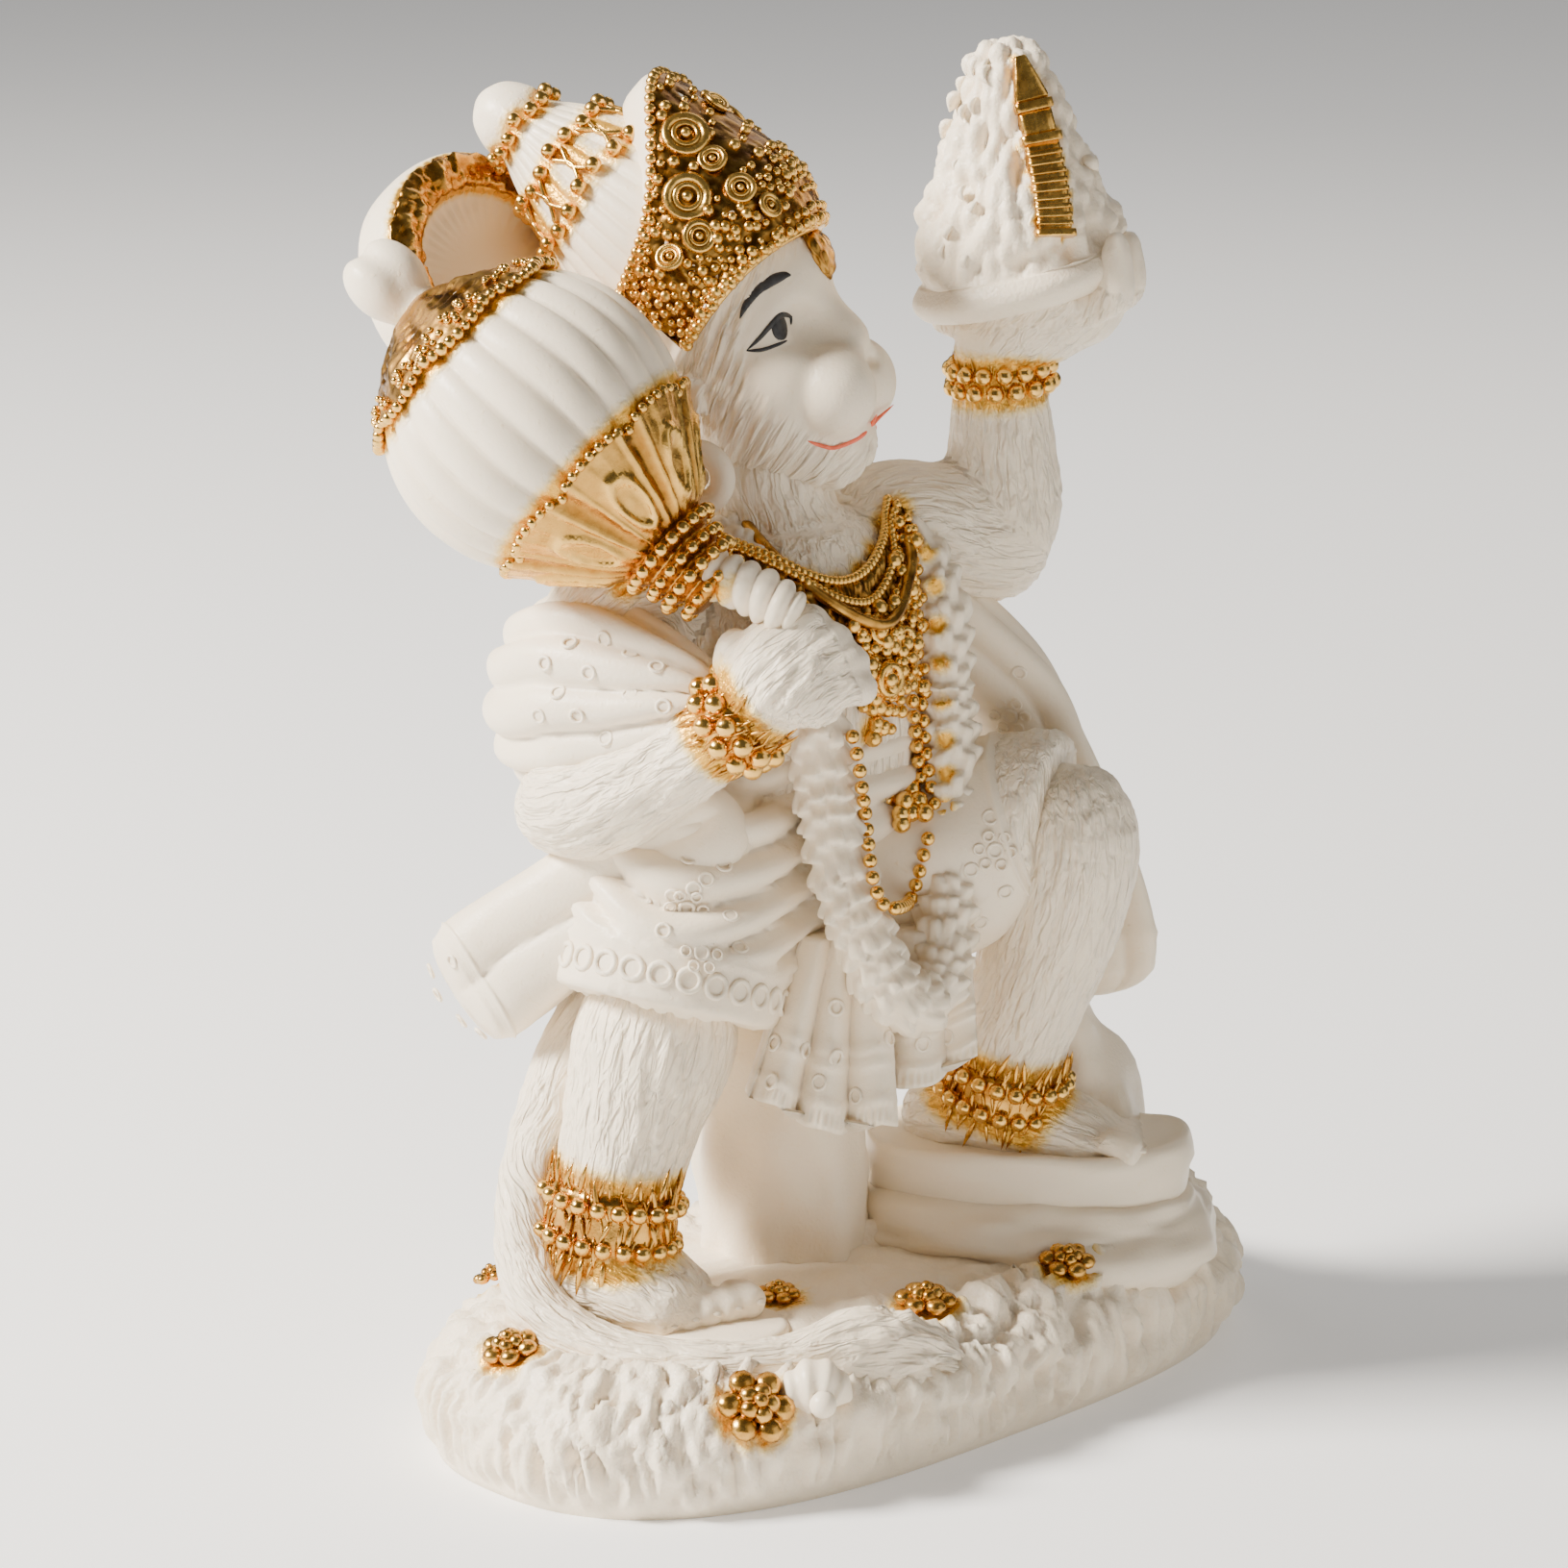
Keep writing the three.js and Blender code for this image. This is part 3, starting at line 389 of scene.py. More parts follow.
@dataclass
class Limb:
    """A tapered form round a path, closed at both ends, as a distance and as a grid of points.

    The ends close as sqrt(1 - |2t - 1|^blunt), so a higher `blunt` gives a flatter end.
    """

    rows: Rows
    side: Sequence[float] = (1, 0, 0)
    blunt: float = 5
    stations: int = 26
    placed: bool = False

    def path(self) -> Path:
        """The limb's path."""
        return Path(self.rows, self.side, placed=self.placed)

    def grid(self, steps: int, sides: int) -> tuple[Array, Array, Array, Array, Array]:
        """The limb's surface as a grid.

        A point is the centre plus across * half width * cos(phi) plus deep * half depth * sin(phi), both
        times the closing of the ends.

        Args:
            steps: rows along the limb.
            sides: columns round it.

        Returns:
            The points, outward directions, shares t, angles phi and distances along, each rows x columns.
        """
        s = np.linspace(0.004, 0.996, steps)
        t = 0.6 * s + 0.4 * (0.5 - 0.5 * np.cos(np.pi * s))
        phi = turns(sides)
        path = self.path()
        centre, _, across, deep, size = path.at(t)
        size = size * np.sqrt(1 - np.abs(2 * t - 1) ** self.blunt)[:, None]
        c, d = np.cos(phi)[None, :, None], np.sin(phi)[None, :, None]
        out = across[:, None] * c + deep[:, None] * d
        wide, thick = across[:, None] * (size[:, None, :1] * c), deep[:, None] * (size[:, None, 1:] * d)
        points = centre[:, None] + wide + thick
        t, phi = np.meshgrid(t, phi, indexing="ij")
        return points, unit(out), t, phi, path.lengths(t)

    def distance(self, points: Array) -> Array:
        """The distance to the limb's surface, negative inside.

        It is taken in the nearest span's own axes as k0 (k0 - 1) / k1, where k0 is the length of the
        offset over the half sizes and k1 its length over their squares. The offset along the limb counts
        at its two ends only.
        """
        return self.local(points)[0]

    def local(self, points: Array) -> tuple[Array, Array, Array, Array]:
        """The distance, share t, and millimetres off the middle across and deep, at the nearest place."""
        path = self.path()
        t = path.even(self.stations)
        centre, _, across, _, size = path.at(t)
        size = np.maximum(size * np.sqrt(np.maximum(1 - np.abs(2 * t - 1) ** self.blunt, 0))[:, None], 0.08)
        best = np.full(points.shape[:-1], 1e9)
        found = [np.zeros(points.shape[:-1]) for _ in range(4)]
        for i in range(len(t) - 1):
            run = centre[i + 1] - centre[i]
            length = np.linalg.norm(run)
            away = points - centre[i]
            s = np.clip(away @ run / length**2, 0, 1)
            off = away - s[..., None] * run
            gap = np.einsum("...k,...k->...", off, off)
            near = gap < best
            if not near.any():
                continue
            best = np.where(near, gap, best)
            o, w = off[near], s[near]
            axis = run / length
            a_axis = unit(across[i] + (across[i + 1] - across[i]) * w[:, None])
            d_axis = np.cross(a_axis, axis)
            half = size[i] + (size[i + 1] - size[i]) * w[:, None]
            a = np.einsum("ij,ij->i", o, a_axis)
            d = np.einsum("ij,ij->i", o, d_axis)
            at_end = (w <= 0) & (i == 0) | (w >= 1) & (i == len(t) - 2)
            l = (o @ axis) * at_end
            end = np.minimum(half.min(1), 0.3)
            k0 = np.sqrt((a / half[:, 0]) ** 2 + (d / half[:, 1]) ** 2 + (l / end) ** 2)
            k1 = np.sqrt((a / half[:, 0] ** 2) ** 2 + (d / half[:, 1] ** 2) ** 2 + (l / end**2) ** 2)
            inside = -half.min(1)
            found[0][near] = np.where(k1 > 1e-9, k0 * (k0 - 1) / np.maximum(k1, 1e-9), inside)
            found[1][near] = t[i] + (t[i + 1] - t[i]) * w
            found[2][near] = a
            found[3][near] = d
        return found[0], found[1], found[2], found[3]

    def box(self) -> tuple[Array, Array]:
        """The lowest and highest corner of a box that holds the limb."""
        centre, _, _, _, size = self.path().at(np.linspace(0, 1, 40))
        r = size.max(1)[:, None]
        return (centre - r).min(0), (centre + r).max(0)


@dataclass
class Egg:
    """An ellipsoid in a frame of three axes (rows of `axes`) about an origin, as a distance."""

    centre: Sequence[float]
    sizes: Sequence[float]
    origin: Array = field(default_factory=lambda: np.zeros(3))
    axes: Array = field(default_factory=lambda: np.eye(3))

    def distance(self, points: Array) -> Array:
        """k0 (k0 - 1) / k1: k0 is the offset's length over the half sizes, k1 over their squares."""
        o = (points - self.origin) @ self.axes.T - np.asarray(self.centre, float)
        r = np.asarray(self.sizes, float)
        k0 = np.linalg.norm(o / r, axis=-1)
        k1 = np.maximum(np.linalg.norm(o / r**2, axis=-1), 1e-9)
        return np.where(k0 < 1e-6, -r.min(), k0 * (k0 - 1) / k1)

    def box(self) -> tuple[Array, Array]:
        """The lowest and highest corner of a box that holds the ellipsoid."""
        middle = self.origin + np.asarray(self.centre, float) @ self.axes
        r = np.sqrt(((self.axes * np.asarray(self.sizes, float)[:, None]) ** 2).sum(0))
        return middle - r, middle + r


@dataclass
class Casting:
    """Forms run together into one skin: the zero level of the smooth minimum of their distances.

    The smooth minimum of a and b is min(a, b) - h^2 k / 4 with h = max(k - |a - b|, 0) / k. A cut takes
    the smooth maximum with the negative distance instead.
    """

    cell: float
    blend: float = 2.0

    def __post_init__(self) -> None:
        """Starts with no forms."""
        self.forms: list[tuple[object, float, bool]] = []

    def add(self, *forms: object, blend: float | None = None) -> "Casting":
        """Runs these forms into the casting."""
        self.forms += [(f, self.blend if blend is None else blend, False) for f in forms]
        return self

    def cut(self, *forms: object, blend: float | None = None) -> "Casting":
        """Takes these forms out of the casting."""
        self.forms += [(f, self.blend if blend is None else blend, True) for f in forms]
        return self

    def value_at(self, points: Array, margin: float) -> Array:
        """The field at points; a form counts within its own box and a margin."""
        value = np.full(len(points), 50.0)
        for form, k, is_cut in self.forms:
            a, b = form.box()
            held = (points > a - 1.2 * k - margin) & (points < b + 1.2 * k + margin)
            near = np.flatnonzero(np.all(held, 1))
            d = form.distance(points[near])
            old = value[near]
            d = -d if is_cut else d
            h = np.maximum(k - np.abs(old - d), 0) / max(k, 1e-6)
            round_off = h * h * k / 4
            value[near] = np.maximum(old, d) + round_off if is_cut else np.minimum(old, d) - round_off
        return value

    def skin(self, rounds: int = 2, warp: Callable[[Array], Array] | None = None) -> Skin:
        """Evaluates the field in the blocks of cells that its zero level crosses, and takes that level.

        Args:
            rounds: how many times the corners are relaxed.
            warp: a height added to the distance at each grid point.

        Returns:
            The skin, faces outwards.
        """
        solid = [f.box() for f, _, cut in self.forms if not cut]
        low = np.min([b[0] for b in solid], 0) - 3 * self.cell
        high = np.max([b[1] for b in solid], 0) + 3 * self.cell
        block = 4
        count = np.ceil((high - low) / self.cell / block).astype(int) + 1
        nodes = np.stack(np.meshgrid(*(np.arange(n) for n in count), indexing="ij"), -1)
        coarse = self.value_at(low + nodes.reshape(-1, 3) * self.cell * block,
                               2 * block * self.cell).reshape(count)
        corners = [coarse[tuple(slice(k >> n & 1, c - 1 + (k >> n & 1)) for n, c in enumerate(count))]
                   for k in range(8)]
        active = np.min(np.abs(corners), 0) < 1.3 * 1.74 * block * self.cell
        value = 3 * self.cell * np.sign(corners[0])
        for axis in range(3):
            active, value = np.repeat(active, block, axis), np.repeat(value, block, axis)
        points = low + np.argwhere(active) * self.cell
        fine = self.value_at(points, 2 * self.cell)
        if warp is not None:
            fine = fine + warp(points)
        value[active] = np.clip(fine, -3 * self.cell, 3 * self.cell)
        grid = openvdb.FloatGrid(float(3 * self.cell))
        grid.copyFromArray(np.ascontiguousarray(value, dtype=np.float32))
        corners, triangles, quads = grid.convertToPolygons(0.0, 0.0)
        skin = Skin(np.asarray(corners, float) * self.cell + low, np.asarray(quads, int).reshape(-1, 4),
                    np.asarray(triangles, int).reshape(-1, 3))
        return skin.turned_out().relaxed(rounds)


def combed(skin: Skin, limbs: Sequence[Limb], height: float, bare: Array | float = 1.0, width: float = 1.25,
           length: float = 6.0) -> Skin:
    """Cuts combed fur into a skin along the limbs it came from.

    Each corner takes the coats of the limbs whose surfaces are near, weighed by the exponential of their
    distance.

    Args:
        skin: the skin of the joined limbs.
        limbs: the limbs.
        height: the coat's relief, millimetres.
        bare: from 0 to 1 at each corner, where the coat is thinner.
        width, length: a stroke's size.

    Returns:
        The skin, with the nearest limb's coordinates and the coat's strength kept as values for the finish.
    """
    p = skin.corners
    wander = noise(p, 7, 5)
    found = [limb.local(p) for limb in limbs]
    gaps = np.abs([r[0] for r in found])
    share = np.exp((gaps.min(0) - gaps) / 0.7)
    share = share / share.sum(0)
    runs = [limb.path().lengths(r[1]) for limb, r in zip(limbs, found)]
    inside = [smooth(r[1], 0.0, 0.04) * (1 - smooth(r[1], 0.96, 1.0)) for r in found]
    coat = 0.55 + sum(s * (0.25 + 0.75 * i) * (fur(r[2], r[3], run, wander, width, length, k) - 0.55)
                      for k, (s, i, r, run) in enumerate(zip(share, inside, found, runs)))
    skin.pushed(height * np.asarray(bare) * (coat - 0.55))
    best, every = gaps.argmin(0), np.arange(len(p))
    skin.values["across"] = np.array([r[2] for r in found])[best, every]
    skin.values["deep"] = np.array([r[3] for r in found])[best, every]
    skin.values["along"] = np.array(runs)[best, every]
    sure = smooth(share.max(0), 0.55, 0.85)
    skin.values["coat"] = sure * np.asarray(bare) * np.array(inside)[best, every]
    return skin


# Finishes


class Slot(Enum):
    """Names for the material slots."""

    RESIN = "marble_resin"
    GILDING = "gilding"


class Nodes:
    """A material's node tree, built a node at a time."""

    def __init__(self, name: str) -> None:
        """Starts the material with a principled shader that feeds its output."""
        self.material = bpy.data.materials.new(name)
        self.material.use_nodes = True
        self.tree = self.material.node_tree
        self.tree.nodes.clear()
        self.shader = self.add("ShaderNodeBsdfPrincipled")
        output = self.add("ShaderNodeOutputMaterial")
        self.tree.links.new(self.shader.outputs[0], output.inputs["Surface"])

    def add(self, kind: str, **inputs: object) -> bpy.types.Node:
        """Adds a node and fills its inputs."""
        return self.fill(self.tree.nodes.new(kind), **inputs)

    def fill(self, node: bpy.types.Node, **inputs: object) -> bpy.types.Node:
        """Sets a node's inputs by name, with underscores for spaces, or links sockets to them."""
        for key, value in inputs.items():
            self.put(node.inputs[key.replace("_", " ")], value)
        return node

    def put(self, socket: bpy.types.NodeSocket, value: object) -> None:
        """Links a socket to an input, or sets its value."""
        if isinstance(value, bpy.types.NodeSocket):
            self.tree.links.new(value, socket)
        elif isinstance(value, tuple) and len(value) == 3 and socket.type == "RGBA":
            socket.default_value = (*value, 1.0)
        else:
            socket.default_value = value

    def maths(self, kind: str, a: object, b: object = 0.0, clamp: bool = False) -> bpy.types.NodeSocket:
        """The result of a math node on two inputs."""
        node = self.tree.nodes.new("ShaderNodeMath")
        node.operation, node.use_clamp = kind, clamp
        self.put(node.inputs[0], a)
        self.put(node.inputs[1], b)
        return node.outputs[0]

    def between(self, value: object, low: float, high: float, to_low: float = 0.0,
                to_high: float = 1.0) -> bpy.types.NodeSocket:
        """A value mapped from one range to another and held inside it."""
        node = self.tree.nodes.new("ShaderNodeMapRange")
        for i, v in enumerate((value, low, high, to_low, to_high)):
            self.put(node.inputs[i], v)
        return node.outputs[0]

    def mixed(self, share: object, a: object, b: object) -> bpy.types.NodeSocket:
        """A colour between two colours."""
        node = self.tree.nodes.new("ShaderNodeMix")
        node.data_type = "RGBA"
        self.put(node.inputs[0], share)
        self.put(node.inputs[6], a)
        self.put(node.inputs[7], b)
        return node.outputs[2]

    def value(self, name: str) -> bpy.types.NodeSocket:
        """A value kept at the corners under that name."""
        node = self.add("ShaderNodeAttribute")
        node.attribute_name = name
        return node.outputs["Fac"]

    def place(self) -> bpy.types.NodeSocket:
        """The object coordinates, metres."""
        return self.add("ShaderNodeTexCoord").outputs["Object"]

    def cloud(self, where: object, scale: float, detail: float = 3.0,
              rough: float = 0.5) -> bpy.types.NodeSocket:
        """A noise texture's height."""
        return self.add("ShaderNodeTexNoise", Vector=where, Scale=scale, Detail=detail,
                        Roughness=rough).outputs[0]

    def relief(self, height: object, distance: float, strength: float = 1.0) -> None:
        """Gives the shader a bump of that height, on top of any it has."""
        bump = self.add("ShaderNodeBump", Height=height, Distance=distance, Strength=strength)
        under = self.shader.inputs["Normal"]
        if under.is_linked:
            self.tree.links.new(under.links[0].from_socket, bump.inputs["Normal"])
        self.tree.links.new(bump.outputs[0], under)


@dataclass(frozen=True)
class Resin:
    """Marble dust cast in resin: warm white, faintly translucent and satin, with fine sparkle.

    Amber lacquer stains it where the "gild" value is high, with gold dust in the stain's core.
    """

    name: str
    colour: Colour = (0.94, 0.83, 0.665)
    clouding: Colour = (0.98, 0.955, 0.91)
    grain: float = 0.00006
    strokes: float = 0.0
    lacquer: Colour = (0.80, 0.43, 0.055)
    lacquer_rim: Colour = (0.93, 0.70, 0.30)
    dusting: float = 0.55
    runs: float = 0.0003
    scatter: float = 0.14
    scatter_reach: Colour = (1.0, 0.78, 0.55)
    scatter_scale: float = 0.0013
    sheen: float = 0.42

    def make(self) -> bpy.types.Material:
        """Builds the material."""
        n = Nodes(self.name)
        where = n.place()
        tint = n.mixed(n.cloud(where, 60.0), self.colour,
                       tuple(c * f for c, f in zip(self.colour, self.clouding)))
        glint = n.add("ShaderNodeTexVoronoi", Vector=where, Scale=2600.0).outputs["Distance"]
        gild = n.value("gild")
        ragged = n.maths("SUBTRACT", n.cloud(where, 1500.0, 4.0), 0.5)
        edge = n.maths("ADD", gild, n.maths("MULTIPLY", ragged, 0.55))
        stain = n.between(edge, 0.06, 0.5)
        core = n.between(edge, 0.5, 0.8)
        stained = n.mixed(stain, tint, n.mixed(core, self.lacquer_rim, self.lacquer))
        rough = n.between(n.cloud(where, 900.0), 0.3, 0.7, 0.34, 0.48)
        rough = n.maths("SUBTRACT", rough, n.between(glint, 0.0, 0.12, 0.16, 0.0))
        n.fill(n.shader, Base_Color=stained, Metallic=n.maths("MULTIPLY", core, self.dusting),
               Roughness=n.maths("SUBTRACT", rough, n.maths("MULTIPLY", stain, 0.12)),
               Subsurface_Weight=self.scatter, Subsurface_Radius=self.scatter_reach,
               Subsurface_Scale=self.scatter_scale, Specular_IOR_Level=self.sheen)
        n.relief(n.cloud(where, 2200.0, 2.0), self.grain)
        n.relief(n.maths("MULTIPLY", n.cloud(where, 1400.0, 4.0), stain), self.runs)
        if self.strokes > 0:
            stretch = (("X", "across", 1.0), ("Y", "deep", 1.0), ("Z", "along", 0.24))
            scaled = {axis: n.maths("MULTIPLY", n.value(name), by) for axis, name, by in stretch}
            run = n.add("ShaderNodeCombineXYZ", **scaled)
            wave = n.add("ShaderNodeTexNoise", Vector=run.outputs[0], Scale=1.0, Detail=2.0, Distortion=0.6)
            sharp = n.between(wave.outputs[0], 0.35, 0.65)
            n.relief(n.maths("MULTIPLY", sharp, n.value("coat")), self.strokes)
        return n.material


@dataclass(frozen=True)
class Gilding:
    """Bright gold paint that darkens to amber by a value at its corners: partly the paint's own uneven tone,
    partly painted shade in the recesses.
    """

    name: str
    colour: Colour = (0.80, 0.53, 0.15)
    ageing: Colour = (1.05, 0.86, 0.62)
    # The dark amber the gold goes to: the paint's own darker tone, and painted shade where the value follows
    # the recesses.
    hollow: Colour = (0.36, 0.15, 0.02)
    rough: float = 0.2
    grit: float = 0.00005
    # How strongly that amber, part random tone and part painted shade, is mixed in.
    amber_and_shade_amount: float = 1.0

    def make(self) -> bpy.types.Material:
        """Builds the material."""
        n = Nodes(self.name)
        where = n.place()
        # Mix towards dark amber by the corner value plus noise: painted shade in the recesses, and random
        # tone.
        deep = n.maths("MULTIPLY", n.value("hollow"), self.amber_and_shade_amount)
        deep = n.maths("ADD", deep, n.maths("MULTIPLY", n.maths("SUBTRACT", n.cloud(where, 700.0, 4.0),
                                                                0.55), 0.6), clamp=True)
        warm = n.mixed(n.cloud(where, 260.0), self.colour,
                       tuple(c * f for c, f in zip(self.colour, self.ageing)))
        rough = n.between(n.cloud(where, 1100.0), 0.3, 0.7, self.rough, self.rough + 0.14)
        n.fill(n.shader, Base_Color=n.mixed(deep, warm, self.hollow), Metallic=1.0, Roughness=rough)
        n.relief(n.cloud(where, 1600.0, 3.0), self.grit)
        return n.material


@dataclass(frozen=True)
class Paint:
    """A brushed line of paint, darker where it is thicker."""

    name: str
    colour: Colour
    rough: float = 0.45

    def make(self) -> bpy.types.Material:
        """Builds the material."""
        n = Nodes(self.name)
        where = n.place()
        light = tuple(min(1.0, c * 1.35 + 0.02) for c in self.colour)
        uneven = n.between(n.cloud(where, 1200.0), 0.35, 0.7)
        rough = n.between(n.cloud(where, 1800.0), 0.3, 0.7, self.rough, self.rough + 0.15)
        n.fill(n.shader, Base_Color=n.mixed(uneven, self.colour, light), Roughness=rough)
        n.relief(n.cloud(where, 2500.0), 0.00003)
        return n.material


@dataclass(frozen=True)
class Backdrop:
    """The plain pale studio floor."""

    name: str = "pale_floor"
    glow: float = 0.22

    def make(self) -> bpy.types.Material:
        """Builds the material."""
        n = Nodes(self.name)
        tint = n.mixed(n.cloud(n.place(), 3.0), (0.95, 0.95, 0.95), (0.93, 0.93, 0.93))
        n.fill(n.shader, Base_Color=tint, Roughness=0.9, Emission_Color=tint, Emission_Strength=self.glow)
        return n.material


CLOTH = Resin("cast_cloth", grain=0.00005)
FURRED = Resin("cast_fur", strokes=0.0004)
SMOOTH = Resin("cast_smooth", grain=0.00003)
STONE = Resin("cast_stone", grain=0.00012)
# Each gilding darkens to amber by the corner value: painted shade where that value follows the recesses,
# random tone elsewhere.
GOLD = Gilding("gold_relief")
BRIGHT = Gilding("gold_beads", rough=0.14, amber_and_shade_amount=0.5)
BRONZED = Gilding("gold_bronzed", colour=(0.64, 0.39, 0.10), hollow=(0.14, 0.055, 0.008), rough=0.24)
INK = Paint("black_paint", (0.012, 0.012, 0.014))
RED = Paint("red_paint", (0.78, 0.12, 0.05), 0.4)
_made: dict[str, bpy.types.Material] = {}


def dress(skin: Skin, name: str, finish: object) -> bpy.types.Object:
    """Makes a piece of the object from a skin, gives it its finish and makes it ride on the root body.

    Args:
        skin: corners in millimetres, faces and values.
        name: the piece's name.
        finish: the finish to wear.

    Returns:
        The piece, its place in its mesh.
    """
    mesh = bpy.data.meshes.new(name)
    faces_quads, faces_tris = np.asarray(skin.quads), np.asarray(skin.triangles)
    loops = np.concatenate([faces_quads.ravel(), faces_tris.ravel()]).astype(np.int32)
    sizes = np.concatenate([np.full(len(faces_quads), 4), np.full(len(faces_tris), 3)])
    mesh.vertices.add(len(skin.corners))
    mesh.vertices.foreach_set("co", (skin.corners * MM).astype(np.float32).ravel())
    mesh.loops.add(len(loops))
    mesh.loops.foreach_set("vertex_index", loops)
    mesh.polygons.add(len(sizes))
    mesh.polygons.foreach_set("loop_start", np.concatenate([[0], np.cumsum(sizes)[:-1]]).astype(np.int32))
    mesh.polygons.foreach_set("use_smooth", np.ones(len(sizes), bool))
    mesh.update(calc_edges=True)
    mesh.validate(clean_customdata=False)
    for key, values in skin.values.items():
        if len(values) == len(mesh.vertices):
            kept = mesh.attributes.new(key, "FLOAT", "POINT")
            kept.data.foreach_set("value", np.asarray(values, np.float32))
    if finish.name not in _made:
        _made[finish.name] = finish.make()
    mesh.materials.append(_made[finish.name])
    piece = bpy.data.objects.new(name, mesh)
    bpy.context.scene.collection.objects.link(piece)
    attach(piece, BODY)
    log.info("%s: %d triangles", name, 2 * len(faces_quads) + len(faces_tris))
    return piece


def stained(skin: Skin, spots: Array, reach: float) -> Skin:
    """Marks the corners near gilded spots: 1 at a spot, falling smoothly to 0 at its reach."""
    p = skin.corners
    near = np.full(len(p), 1e9)
    spots = np.atleast_2d(spots)
    inside = np.all((p > spots.min(0) - reach) & (p < spots.max(0) + reach), 1)
    index = np.flatnonzero(inside)
    for start in range(0, len(index), 20000):
        part = index[start:start + 20000]
        near[part] = nearest(p[part], spots)
    mark = 1 - smooth(near, 0.15 * reach, reach)
    skin.values["gild"] = np.maximum(skin.values.get("gild", 0), mark)
    return skin


# The ground


def oblong(turn: Array, half_length: Array, half_depth: Array, squareness: Array) -> Array:
    """A superellipse: the point at that angle whose powers of x and y over the half sizes sum to 1."""
    c, s = np.cos(turn), np.sin(turn)
    reach = (np.abs(c) ** squareness + np.abs(s) ** squareness) ** (-1 / squareness)
    return np.stack([half_length * c * reach, half_depth * s * reach], -1)


def leaf(length: float = 1.0, width: float = 0.3, curl: float = 0.35, thick: float = 0.12,
         droop: float = 0.0) -> Skin:
    """A small ridged blade along x.

    Args:
        length, width, thick: its size.
        curl: how high it lifts along z, by a sine.
        droop: how far its tip falls.

    Returns:
        The blade as a closed grid.
    """
    s = np.linspace(0.03, 0.99, 6)
    phi = turns(5)
    w = np.sin(np.pi * s**0.7) ** 0.8
    points = np.stack(np.broadcast_arrays(
        length * s[:, None],
        width * w[:, None] * np.cos(phi),
        (curl * np.sin(np.pi * s) - droop * s**2)[:, None] + thick * w[:, None] * np.sin(phi)), -1)
    return sheet_of(points)


